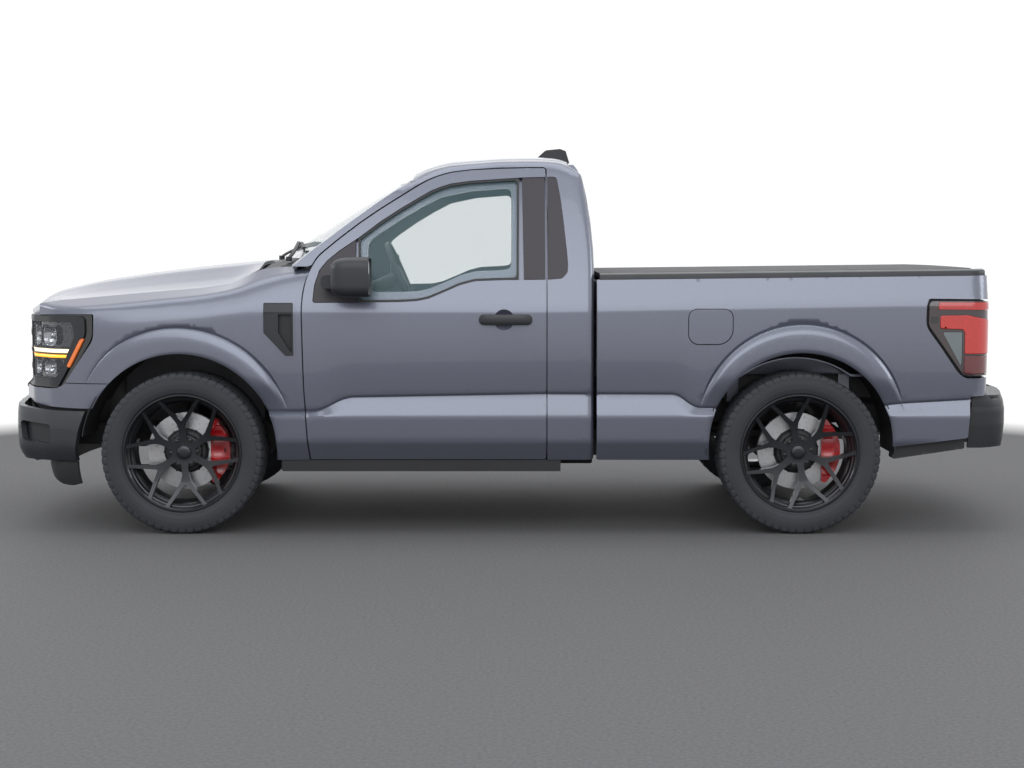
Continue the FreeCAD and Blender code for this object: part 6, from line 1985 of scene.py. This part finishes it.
class TRUCK_OT_screen(bpy.types.Operator):
    """Lay in the screen with its dark band, the cowl and both wipers"""
    bl_idname = "truck.screen"
    bl_label = "Screen and cowl"

    def execute(self, context):
        ring = outline([(-0.698, 0.0, 0.03), (0.698, 0.0, 0.03), (0.698, 0.796, 0.04),
                        (-0.698, 0.796, 0.04)], 0.025)
        piece_from("screen", walled(ring, (), (), (0.045, 0.045), screen_point, inward(screen_point, 0.006)),
                   "glass", "truck",
                   ("cab_glass",), 0.0008)
        piece_from("screen_band", walled(ring,
                                         [outline([(-0.655, 0.07, 0.05), (0.655, 0.07, 0.05),
                                                   (0.648, 0.73, 0.06), (-0.648, 0.73, 0.06)], 0.025)], (),
                                         (0.045, 0.045), inward(screen_point, 0.0062),
                                         inward(screen_point, 0.008)),
                   "gloss_black", "truck", (), 0.0)
        y = np.linspace(-0.8, 0.8, 90)
        k = np.linspace(0.0, 1.0, 24)
        front_s = 0.335 - 0.045 * step_up(np.abs(y), 0.6, 0.8)
        front_z = 1.338 - 0.1 * np.clip(np.abs(y) / 0.8, 0.0, 1.0) ** 3
        rear_s, rear_z = 0.446 + 0.152 * (y / 0.765) ** 2, 1.39 - 0.045 * step_up(np.abs(y), 0.74, 0.8)
        s = front_s[:, None] * (1.0 - k) + rear_s[:, None] * k
        ribs = 0.0022 * np.sin(k * 70.0) * (k > 0.3) * (k < 0.8)
        z = front_z[:, None] + (rear_z - front_z)[:, None] * k ** 0.8 + ribs
        sheet = columns(along(s), np.repeat(y[:, None], 24, axis=1), z)
        piece_from("cowl_panel", slab(sheet, sheet - np.array([0.0, 0.0, 0.006])), "black_plastic", "truck",
                   ("cowl",), 0.001)
        arms = []
        for base, tip, pivot in ((-0.02, 0.61, 0.66), (-0.63, -0.06, -0.01)):
            w = np.linspace(base, tip, 40)
            low = 0.055 + 0.05 * np.sin(math.pi * (w - base) / (tip - base))
            blade = screen_point(columns(w, low), -0.01)
            arms.append(swept(oval(0.004, 0.009, 3.0, 10), blade))
            arms.append(swept(oval(0.009, 0.006, 3.0, 10), blade + np.array([0.002, 0.0, 0.012])))
            ends = screen_point(np.array([(pivot, -0.05), (pivot * 0.7 + 0.3 * (base + tip) / 2, 0.02),
                                          ((base + tip) / 2, 0.1)]), -0.03)
            arms.append(swept(oval(0.01, 0.006, 3.0, 10), bent(ends, 24)))
            stub = drum(0.016, 0.0, 0.024, 20)
            arms.append(facing_out(stub[0][:, [0, 2, 1]] + ends[0] - np.array([0.0, 0.0, 0.016]), stub[1]))
        piece_from("wipers", merged(arms), "black_plastic", "truck", (), 0.0)
        return {"FINISHED"}


def bent(ends, count):
    """Smooth line through three points: the parabola that passes them at 0, 1/2 and 1."""
    t = np.linspace(0.0, 1.0, count)[:, None]
    a, b, c = np.asarray(ends)
    return a * (1 - t) * (1 - 2 * t) + 4 * b * t * (1 - t) + c * t * (2 * t - 1)


class TRUCK_OT_door_fittings(bpy.types.Operator):
    """Fit the door glass, the dark window ends, the inner door, its card, the handle and the mirror"""
    bl_idname = "truck.door_fittings"
    bl_label = "Door fittings"

    def execute(self, context):
        window = outline(WINDOW, 0.012)

        def between(low, high):
            """The part of the window between two stations."""
            ring = window[(window[:, 0] > low) & (window[:, 0] < high)]
            return drawn_in(outline(ring, 0.012), 0.0015)

        glass_nodes = (("door_glass_left",), ("door_glass_right",))
        trim_nodes = (("door_trim_left",), ("door_trim_right",))
        pair("door_pane", side_plate(between(0.886, 1.712), 0.014, 0.019), "glass", DOOR_BODIES, glass_nodes,
             0.0006)
        dark = merged([side_plate(between(0.6, 0.884), 0.003, 0.02),
                       side_plate(between(1.714, 1.9), 0.003, 0.02)])
        pair("window_ends", dark, "gloss_black", DOOR_BODIES, trim_nodes, 0.002, material=applique())
        ring = between(0.886, 1.712)
        line = side_plate(ring, 0.004, 0.0135, [drawn_in(ring, 0.011)])
        pair("window_seal", line, "black_plastic", DOOR_BODIES, NONE, 0.0015)
        pair("quarter_patch", walled(outline(CAB_PATCH, 0.012), (), (), (0.02, 0.02),
                                     inward(cab_surface, 0.003), inward(cab_surface, 0.02)),
             "gloss_black", TRUCK_BODIES, NONE, 0.002, material=applique())

        door = door_ring(True)
        light = outline(LIGHT, 0.012)
        inner = merged([side_plate(drawn_in(door, 0.046), 0.0305, 0.085, [light]),
                        side_plate(drawn_in(door, 0.014), 0.0303, 0.044, [drawn_in(door, 0.05)])])
        pair("inner_door", inner, "body_paint", DOOR_BODIES, NONE, 0.003)
        track = side(drawn_in(door, 0.03), 0.047)
        pair("door_seal", swept(oval(0.0045, 0.0035, 2.0, 10), track, True, (0.0, 1.0, 0.0)),
             "black_plastic", DOOR_BODIES,
             NONE, 0.0)
        card = outline([(0.715, 0.45, 0.05), (0.7, 1.1, 0.04), (1.09, 1.13, 0.1), (1.19, 1.145, 0.1),
                        (1.27, 1.16, 0.1),
                        (1.4, 1.225, 0.1), (1.48, 1.25, 0.05), (1.765, 1.255, 0.05), (1.765, 0.45, 0.05)],
                       0.02)
        rest = outline([(1.05, 0.915, 0.03), (1.64, 0.925, 0.03), (1.64, 0.985, 0.02), (1.05, 0.995, 0.02)],
                       0.01)
        pocket = outline([(0.8, 0.5, 0.05), (1.6, 0.5, 0.05), (1.6, 0.64, 0.03), (0.8, 0.7, 0.03)], 0.012)
        lining = merged([side_plate(card, 0.0855, 0.1), side_plate(rest, 0.1002, 0.15),
                         side_plate(pocket, 0.1002, 0.124)])
        pair("door_card", lining, "leather", DOOR_BODIES, NONE, 0.008)

        grip = outline([(1.5, 1.058, 0.024), (1.768, 1.058, 0.024), (1.768, 1.111, 0.024),
                        (1.5, 1.111, 0.024)], 0.007)
        flat, faces = tiled(grip, (), (), (0.009, 0.009))
        t = np.abs(flat[:, 0] - 1.634) / 0.134
        out = 0.012 + 0.022 * (1.0 - t ** 3) - 0.3 * np.clip(np.abs(flat[:, 1] - 1.0845) - 0.012, 0.0, 0.02)
        back = np.maximum(out - 0.016, 0.0005) * (1.0 - step_up(t, 0.62, 0.8)) - 0.003 * step_up(t, 0.72, 0.8)
        pull = shell(flat, faces, inward(side, -out), inward(side, -back))
        lock = drum(0.0095, 0.99, 1.0035, 24, (along(1.748), 1.0845))
        pair("door_handle", merged([pull, lock]), "gloss_black", DOOR_BODIES, NONE, 0.002,
             material=graphite())
        bowl = circle(*CUP, 0.052, 0.008)
        flat, faces = tiled(bowl, (), (), (0.01, 0.01))
        dish = 0.02 * np.clip(1.0 - (np.hypot(flat[:, 0] - CUP[0], flat[:, 1] - CUP[1]) / 0.052) ** 2, 0.0,
                              1.0)
        pair("handle_cup", shell(flat, faces, inward(side, 0.0015 + dish), inward(side, 0.027)),
             "body_paint", DOOR_BODIES,
             NONE, 0.0)

        # Mirror head: superellipse rings that grow from a blunt nose to the rim round the glass
        k = np.linspace(0.0, 1.0, 20)
        scale = np.concatenate([[0.5], (1.0 - (1.0 - k) ** 6 * 0.55) ** 0.5, [0.985, 0.96, 0.945, 0.94]])
        at = np.concatenate([[0.7755], 0.779 + 0.183 * k, [0.966, 0.967, 0.96, 0.956]])
        form = oval(0.097, 0.098, 4.6, 56)
        rings = np.empty((len(at), len(form), 3))
        rings[:, :, 0] = along(at)[:, None]
        rings[:, :, 1] = 1.122 + form[None, :, 0] * scale[:, None]
        rings[:, :, 2] = 1.3 - 0.01 * (1.0 - scale)[:, None] + form[None, :, 1] * scale[:, None]
        reach = np.linspace(0.0, 1.0, 10)
        foot = oval(0.074, 0.034, 4.0, 32)
        arm = np.empty((10, 32, 3))
        arm[:, :, 0] = along(0.792 + 0.0 * reach)[:, None] + foot[None, :, 0]
        arm[:, :, 1] = (0.905 + 0.175 * reach)[:, None]
        arm[:, :, 2] = 1.27 + 0.006 * reach[:, None] + foot[None, :, 1]
        pair("mirror_head", merged([lofted(rings), lofted(arm)]), "gloss_black", DOOR_BODIES, NONE, 0.0,
             material=graphite())
        face = oval(0.088, 0.089, 4.6, 48)
        pane = np.stack([columns(np.full(48, along(d)), 1.122 + face[:, 0], 1.3 + face[:, 1])
                         for d in (0.957, 0.961)])
        pair("mirror_glass", lofted(pane), "glass", DOOR_BODIES, NONE, 0.0006,
             material=plain_finish("mirror_glass", (0.62, 0.66, 0.68), 0.03, 1.0, 0.0, 900.0, 0.0, 0.02))
        return {"FINISHED"}


def applique():
    """Satin black film of the window posts."""
    return plain_finish("applique", (0.028, 0.023, 0.028), 0.5, 0.0, 0.0, 900.0, 0.00001, 0.06)


class TRUCK_OT_aperture(bpy.types.Operator):
    """Close the door openings with a flange and a step plate, and set the vent inserts"""
    bl_idname = "truck.aperture"
    bl_label = "Door openings"

    def execute(self, context):
        door = door_ring(True)
        pair("door_flange", side_plate(grown(door, 0.02), 0.046, 0.118, [drawn_in(door, 0.036)]),
             "body_paint",
             TRUCK_BODIES, NONE, 0.003)
        s = np.linspace(0.74, 1.76, 50)
        tread = columns(along(s)[:, None] + 0.0 * np.zeros(6),
                        np.linspace(0.94, 0.815, 6)[None, :] + 0.0 * s[:, None],
                          0.416 + 0.0015 * np.cos(s * 400.0)[:, None] + np.zeros(6))
        pair("step_plate", slab(tread, tread - np.array([0.0, 0.0, 0.004])), "black_plastic", TRUCK_BODIES,
             NONE, 0.0)

        vent = vent_ring()
        slot = outline([(0.493, 1.112, 0.006), (0.562, 1.112, 0.006), (0.562, 0.916, 0.006),
                        (0.548, 0.93, 0.01),
                        (0.493, 1.02, 0.012)], 0.006)
        groove = outline([(0.424, 1.121, 0.001), (0.565, 1.121, 0.001), (0.565, 1.116, 0.001),
                          (0.424, 1.116, 0.001)], 0.004)
        parts = []
        for ring, holes, near, far in ((vent, [slot, groove], 0.0005, 0.012), (groove, [], 0.006, 0.01)):
            parts.append(walled(ring, holes, (), (0.012, 0.012), inward(front_side, near),
                                inward(front_side, far)))
        pair("vent_insert", merged(parts), "gloss_black", TRUCK_BODIES,
             (("fender_vents",), ("fender_vents",)), 0.0012,
             material=graphite())
        pair("vent_slot", walled(grown(slot, 0.004), (), (), (0.012, 0.012), inward(front_side, 0.026),
                                 inward(front_side, 0.03)), "gloss_black",
             TRUCK_BODIES, NONE, 0.0, material=finish("black_plastic"))
        pair("vent_rim", walled(grown(vent, 0.007), [drawn_in(vent, 0.001)], (), (0.012, 0.012),
                                inward(front_side, -0.004), inward(front_side, 0.0014)), "body_paint",
             TRUCK_BODIES, NONE, 0.002)
        return {"FINISHED"}


def cushion(at, size, lean, seams=(0.6,), bolster=0.1):
    """Stuffed block: superellipse rings across its width, drawn in at both ends, thicker at its bolsters
    and pinched in a narrow groove at each seam, then leant about the y axis and put in its place."""
    t = np.sign(np.linspace(-1.0, 1.0, 81)) * np.abs(np.linspace(-1.0, 1.0, 81)) ** 0.85
    end = np.clip(1.0 - np.abs(t) ** 7, 0.0001, 1.0) ** (1.0 / 3.0)
    groove = sum(np.exp(-((np.abs(t) - share) / 0.022) ** 2) for share in seams)
    thick = end * (1.0 + bolster * step_up(np.abs(t), 0.6, 0.8) - 0.13 * groove)
    form = oval(0.5 * size[0], 0.5 * size[2], 4.2, 56)
    turn = np.arctan2(form[:, 1] / size[2], form[:, 0] / size[0])
    form = form * (1.0 - 0.035 * np.exp(-(np.sin(turn - 1.2) / 0.05) ** 2))[:, None]
    x = form[None, :, 0] * (0.9 + 0.1 * end)[:, None]
    z = form[None, :, 1] * thick[:, None]
    c, q = math.cos(math.radians(lean)), math.sin(math.radians(lean))
    rings = columns(at[0] + x * c + z * q, at[1] + 0.5 * size[1] * t[:, None] + 0.0 * x,
                    at[2] - x * q + z * c)
    return lofted(rings)


class TRUCK_OT_seats(bpy.types.Operator):
    """Stuff the seats, and set the steering wheel"""
    bl_idname = "truck.seats"
    bl_label = "Seats and controls"

    def execute(self, context):
        for name, y, width in (("left", 0.425, 0.49), ("middle", 0.0, 0.335), ("right", -0.425, 0.49)):
            parts = (("seat_base_", (along(1.585), y, 0.722), (0.5, width, 0.165), 5.0),
                     ("seat_back_", (along(1.868), y, 1.045), (0.6, width * 0.97, 0.135), 78.0),
                     ("head_rest_", (along(1.93), y, 1.455), (0.185, width * 0.52, 0.105), 80.0))
            for start, at, size, lean in parts:
                made = piece_from(start + name,
                                  cushion(at, size, lean, (0.6,) if "head" not in start else (0.75,)),
                                  "seat_cloth", "truck", ("seats",), 0.0, 60.0)
        stays = []
        for y in (-0.475, -0.375, -0.05, 0.05, 0.375, 0.475):
            track = np.array([(along(1.905), y, 1.3), (along(1.918), y, 1.36), (along(1.926), y, 1.42)])
            stays.append(swept(oval(0.006, 0.006, 2.0, 12), bent(track, 8), up=(0.0, 1.0, 0.0)))
        piece_from("head_rest_stays", merged(stays), "steel", "truck", ("seats",), 0.0)
        box = np.array([[[along(s), y, 0.64] for y in (-0.635, 0.635)] for s in (1.36, 1.8)])
        piece_from("seat_plinth", slab(box, box - np.array([0.0, 0.0, 0.118])), "black_plastic", "truck",
                   ("seats",), 0.012)

        axis, across = np.array([-0.920505, 0.0, 0.390731]), np.array([0.0, 1.0, 0.0])
        upward = np.cross(across, axis) * -1.0
        hub = np.array([along(1.08), 0.42, 1.29])

        def on_wheel(shape):
            """Sets a shape on the leant axis of the steering wheel."""
            local = shape[0]
            return facing_out(hub + local[:, :1] * across + local[:, 1:2] * axis + local[:, 2:] * upward,
                              shape[1])

        a = full_turn(16)
        rim = revolved(columns(0.185 + 0.0145 * np.cos(a), 0.0165 * np.sin(a)), 96)
        spokes = []
        for turn, half in ((0.0, 0.02), (180.0, 0.02), (262.0, 0.012), (278.0, 0.012)):
            r = np.linspace(0.045, 0.18, 14)
            track = columns(r * math.cos(math.radians(turn)), -0.016 * np.cos(r / 0.185 * 1.5708),
                            r * math.sin(math.radians(turn)))
            spokes.append(swept(oval(half, 0.0065, 3.0, 14), track, up=(0.0, 1.0, 0.0)))
        pad = drum(0.068, -0.03, 0.012, 48, soft=0.014)
        piece_from("steering_rim", on_wheel(rim), "leather", "steering_wheel", ("steering_wheel",), 0.0)
        piece_from("steering_spokes", on_wheel(merged(spokes + [pad])), "black_plastic", "steering_wheel",
                   ("steering_wheel",), 0.001)
        return {"FINISHED"}


# Underside: some pieces drawn here, and what is left of the frame with rounded edges

SOFTENED = {"cab_floor": 0.004, "bed_floor": 0.002, "arch_liners": 0.003, "chassis_frame": 0.004,
            "rear_axle": 0.003,
            "exhaust": 0.002, "fuel_tank": 0.008, "front_structure": 0.003, "front_suspension": 0.003,
            "knuckle_left": 0.004, "knuckle_right": 0.004, "engine": 0.006, "tow_receiver": 0.003,
            "dashboard": 0.008,
            "roof_antenna": 0.003}


def block(s0, s1, y0, y1, z0, z1):
    """Plain box between two stations, two half widths and two heights."""
    corners = np.array([(along(s), y, z) for s in (s0, s1) for y in (y0, y1) for z in (z0, z1)])
    faces = [[0, 1, 3, 2], [4, 6, 7, 5], [0, 4, 5, 1], [2, 3, 7, 6], [0, 2, 6, 4], [1, 5, 7, 3]]
    return facing_out(corners, faces)


def arch_lining(which, y0, y1, a0, a1, spare):
    """Curved sheet over a wheel, along its arch's circle, from the chassis out to the panel."""
    s, z, r = ARCHES[which][0]
    a = np.radians(np.linspace(a0, a1, 60))[:, None] + np.zeros((1, 12))
    y = np.linspace(y0, y1, 12)[None] + 0.0 * a
    sheet = [columns(along(s + (r + d) * np.cos(a)), y, z + (r + d) * np.sin(a))
             for d in (spare, spare + 0.005)]
    return facing_out(*slab(sheet[1], sheet[0]))


def dam_shape():
    """Air dam: a wall along its own plan, a flat bow between two rounded corners, whose lower edge drops
    towards its sides."""
    y = np.linspace(-0.86, 0.86, 70)
    bow = columns(-0.792 + 0.11 * np.abs(y / 0.86) ** 3.2, y)
    wing = np.array([(-0.545, 0.905), (-0.6, 0.9), (-0.655, 0.885)])
    plan = soft_line(np.vstack([wing * [1.0, -1.0], bow, wing[::-1]]), 0.02)
    low = blurred(plan[:, 0], [-0.79, -0.699, -0.639, -0.588, -0.546], [0.272, 0.266, 0.24, 0.234, 0.247],
                  0.012)
    k = np.linspace(0.0, 1.0, 8)[None]
    z = low[:, None] + (0.362 - low)[:, None] * k
    lean = 0.014 * (1.0 - k) ** 2
    walls = [columns(along(plan[:, :1] + lean + d), plan[:, 1:] * (1.0 - d) * (1.0 - lean), z)
             for d in (0.0, 0.01)]
    return facing_out(*slab(*walls))


def well_wall(y, low):
    """Upright wall at the inner end of the rear wheel well, from a height up to the lining."""
    s, z, r = ARCHES["rear"][0]
    a = np.linspace(math.asin((low - z) / (r + 0.012)), math.pi - math.asin((low - z) / (r + 0.012)), 50)
    ring = columns(s + (r + 0.012) * np.cos(a), z + (r + 0.012) * np.sin(a))
    return facing_out(*walled(ring, (), (), (0.06, 0.06), upright(y + 0.004),
                             upright(y)))


class TRUCK_OT_underside(bpy.types.Operator):
    """Make the air dam, sills and arch linings, and round the edges of the chassis and its parts"""
    bl_idname = "truck.underside"
    bl_label = "Underside"

    def execute(self, context):
        piece_from("dam", dam_shape(), "black_plastic", "truck", ("air_dam",), 0.002)
        sills = [block(0.504, 1.912, 0.858, 0.936, 0.314, 0.374),
                 block(0.497, 0.517, 0.8, 0.925, 0.318, 0.44),
                 block(0.64, 1.86, 0.56, 0.858, 0.34, 0.372)]
        ring = outline([(3.587, 0.377, 0.01), (3.955, 0.431, 0.01), (3.954, 0.487), (3.599, 0.441)], 0.015)
        sills.append(walled(ring, (), (), (0.03, 0.02), upright(0.946),
                           upright(0.862)))
        piece_from("sills", both_sides(merged(sills)), "black_plastic", "truck", (), 0.006)
        linings = [arch_lining("rear", 0.6, 0.972, -6.0, 186.0, 0.01),
                   arch_lining("front", 0.62, 0.962, 8.0, 172.0, 0.008),
                    well_wall(0.602, 0.66)]
        valance = merged([block(3.994, 4.008, -0.8, 0.8, 0.6, 0.776),
                          block(4.0, 4.084, -0.8, 0.8, 0.64, 0.652)])
        piece_from("rear_valance", valance, "black_plastic", "truck", (), 0.0)
        piece_from("arch_linings", both_sides(merged(linings)), "black_plastic", "truck", (), 0.0)
        t = np.linspace(0.0, math.pi, 24)
        hook = columns(along(-0.795 - 0.075 * np.sin(t)), 0.45 + 0.03 * np.cos(t), 0.338 - 0.012 * np.sin(t))
        piece_from("tow_hooks", both_sides(swept(oval(0.01, 0.013, 2.4, 14), hook)), "frame_black", "truck",
                   (), 0.0)
        for node, width in SOFTENED.items():
            rounded_copy(node, width)
        return {"FINISHED"}


# The frame's own solids, the studio, and the panel that lists the steps

class TRUCK_OT_solids(bpy.types.Operator):
    """Give every solid of the frame its finish"""
    bl_idname = "truck.solids"
    bl_label = "Finish the solids"

    def execute(self, context):
        for node, thing in frame["nodes"].items():
            thing.data.materials.clear()
            thing.data.materials.append(finish(slot_of(node)))
        return {"FINISHED"}


LAMPS = (  # name, place, size, watts
    ("overhead", (0.0, 0.5, 6.5), (9.0, 4.5), 210.0), ("left_bank", (0.0, 9.0, 5.5), (12.0, 6.0), 450.0),
    ("right_bank", (0.0, -9.0, 5.6), (14.0, 7.0), 130.0), ("front_bank", (8.5, 1.0, 3.8), (4.5, 2.2), 130.0),
    ("rear_bank", (-8.5, 1.0, 3.8), (4.5, 2.2), 130.0))
LAMP_TONE = (0.93, 0.96, 1.0)
AIM = (0.0, 0.0, 0.9)
SKY_STRENGTH = 0.6
SKY_LIGHT, SKY_SEEN = (0.62, 0.66, 0.72, 1.0), (1.75, 1.75, 1.76, 1.0)
FLOOR_RADII, FLOOR_FADE = (0.0001, 2.0, 4.0, 5.4, 6.6), (5.3, 6.2)
FOCAL_LENGTH, CAMERA_TILT = 63.28, 85.5


class TRUCK_OT_studio(bpy.types.Operator):
    """Set the floor, the lamps and the camera at the photograph's view"""
    bl_idname = "truck.studio"
    bl_label = "Studio"

    def execute(self, context):
        scene = context.scene
        sizes, colours = scene.truck_sizes, scene.truck_colours
        scene.view_settings.view_transform = "Standard"
        ring = full_turn(96)
        radii = np.array(FLOOR_RADII)
        u, r = np.meshgrid(ring, radii, indexing="ij")
        corners, faces = grid(columns(r * np.cos(u), r * np.sin(u), 0.0 * u), wrap_u=True)
        mesh = bpy.data.meshes.new("studio_floor")
        mesh.from_pydata(corners, [], faces.tolist())
        floor = bpy.data.objects.new("studio_floor", mesh)
        scene.collection.objects.link(floor)
        mat, tree, shader, where = finish_nodes("studio_floor", tuple(colours.floor), 0.75)
        tone = tuple(colours.floor)
        speck = noise_at(tree, where, 70.0, 4.0)
        tree.links.new(ramp(tree, speck, tinted(tone, 0.8), tinted(tone, 1.2)), shader.inputs["Base Color"])
        bump(tree, shader, speck, 0.002)
        fade = tree.nodes.new("ShaderNodeMapRange")
        fade.inputs["From Min"].default_value, fade.inputs["From Max"].default_value = FLOOR_FADE
        away = tree.nodes.new("ShaderNodeVectorMath")
        away.operation = "LENGTH"
        tree.links.new(where, away.inputs[0])
        tree.links.new(away.outputs["Value"], fade.inputs["Value"])
        ray = tree.nodes.new("ShaderNodeLightPath")
        share = tree.nodes.new("ShaderNodeMath")
        share.operation = "MULTIPLY"
        tree.links.new(fade.outputs["Result"], share.inputs[0])
        tree.links.new(ray.outputs["Is Camera Ray"], share.inputs[1])
        white = tree.nodes.new("ShaderNodeEmission")
        blend = tree.nodes.new("ShaderNodeMixShader")
        tree.links.new(share.outputs["Value"], blend.inputs["Fac"])
        tree.links.new(shader.outputs["BSDF"], blend.inputs[1])
        tree.links.new(white.outputs["Emission"], blend.inputs[2])
        tree.links.new(blend.outputs["Shader"], tree.nodes["Material Output"].inputs["Surface"])
        mesh.materials.append(mat)

        world = bpy.data.worlds.new("studio")
        scene.world = world
        world.use_nodes = True
        back = world.node_tree.nodes["Background"]
        back.inputs["Strength"].default_value = SKY_STRENGTH
        links, nodes = world.node_tree.links, world.node_tree.nodes
        path = nodes.new("ShaderNodeLightPath")
        seen = nodes.new("ShaderNodeMath")
        seen.operation = "MAXIMUM"
        links.new(path.outputs["Is Camera Ray"], seen.inputs[0])
        links.new(path.outputs["Is Transmission Ray"], seen.inputs[1])
        mirrored = nodes.new("ShaderNodeMath")
        mirrored.operation = "MAXIMUM"
        links.new(seen.outputs["Value"], mirrored.inputs[0])
        links.new(path.outputs["Is Glossy Ray"], mirrored.inputs[1])
        tone = nodes.new("ShaderNodeMix")
        tone.data_type = "RGBA"
        tone.inputs["A"].default_value = SKY_LIGHT
        tone.inputs["B"].default_value = SKY_SEEN
        links.new(mirrored.outputs["Value"], tone.inputs["Factor"])
        links.new(tone.outputs["Result"], back.inputs["Color"])

        for name, place, size, power in LAMPS:
            lamp = bpy.data.lights.new(name, "AREA")
            lamp.shape = "RECTANGLE"
            lamp.size, lamp.size_y = size
            lamp.energy = power
            lamp.color = LAMP_TONE
            thing = bpy.data.objects.new(name, lamp)
            thing.location = place
            aim = np.array(AIM) - np.array(place)
            thing.rotation_euler = Vector(aim).to_track_quat("-Z", "Y").to_euler()
            scene.collection.objects.link(thing)

        camera = bpy.data.cameras.new("camera")
        camera.lens = FOCAL_LENGTH
        camera.sensor_width = 36.0
        eye = bpy.data.objects.new("camera", camera)
        eye.location = (-0.001, sizes.camera_distance, sizes.camera_height)
        eye.rotation_euler = (math.radians(CAMERA_TILT), 0.0, math.radians(180.0))
        scene.collection.objects.link(eye)
        scene.camera = eye
        return {"FINISHED"}


class TRUCK_PT_panel(bpy.types.Panel):
    """Lists the truck's steps"""
    bl_idname = "TRUCK_PT_panel"
    bl_label = "Pickup truck"
    bl_space_type = "VIEW_3D"
    bl_region_type = "UI"
    bl_category = "Truck"

    def draw(self, context):
        layout = self.layout
        for step in STEPS:
            layout.operator(step.bl_idname)
        for group in (context.scene.truck_sizes, context.scene.truck_colours):
            for key in group.bl_rna.properties.keys():
                if key not in ("rna_type", "name"):
                    layout.prop(group, key)


STEPS = (TRUCK_OT_solids, TRUCK_OT_fenders, TRUCK_OT_doors, TRUCK_OT_cab, TRUCK_OT_bed_sides, TRUCK_OT_hood,
         TRUCK_OT_lamps, TRUCK_OT_grille, TRUCK_OT_front_bumper, TRUCK_OT_tail_lamps, TRUCK_OT_tailgate,
         TRUCK_OT_rear_bumper, TRUCK_OT_bed_trim, TRUCK_OT_wheels, TRUCK_OT_roof, TRUCK_OT_screen,
         TRUCK_OT_door_fittings, TRUCK_OT_aperture, TRUCK_OT_seats, TRUCK_OT_underside, TRUCK_OT_studio)
CLASSES = (TruckSizes, TruckColours) + STEPS + (TRUCK_PT_panel,)


def register():
    """Registers the groups, the steps and the panel."""
    for cls in CLASSES:
        bpy.utils.register_class(cls)
    bpy.types.Scene.truck_sizes = bpy.props.PointerProperty(type=TruckSizes)
    bpy.types.Scene.truck_colours = bpy.props.PointerProperty(type=TruckColours)


def unregister():
    """Takes them out again."""
    del bpy.types.Scene.truck_colours
    del bpy.types.Scene.truck_sizes
    for cls in reversed(CLASSES):
        bpy.utils.unregister_class(cls)


def main():
    """Runs every step."""
    register()
    for step in STEPS:
        group, name = step.bl_idname.split(".")
        getattr(getattr(bpy.ops, group), name)()
    bpy.context.view_layer.update()


if __name__ == "__main__":
    main()
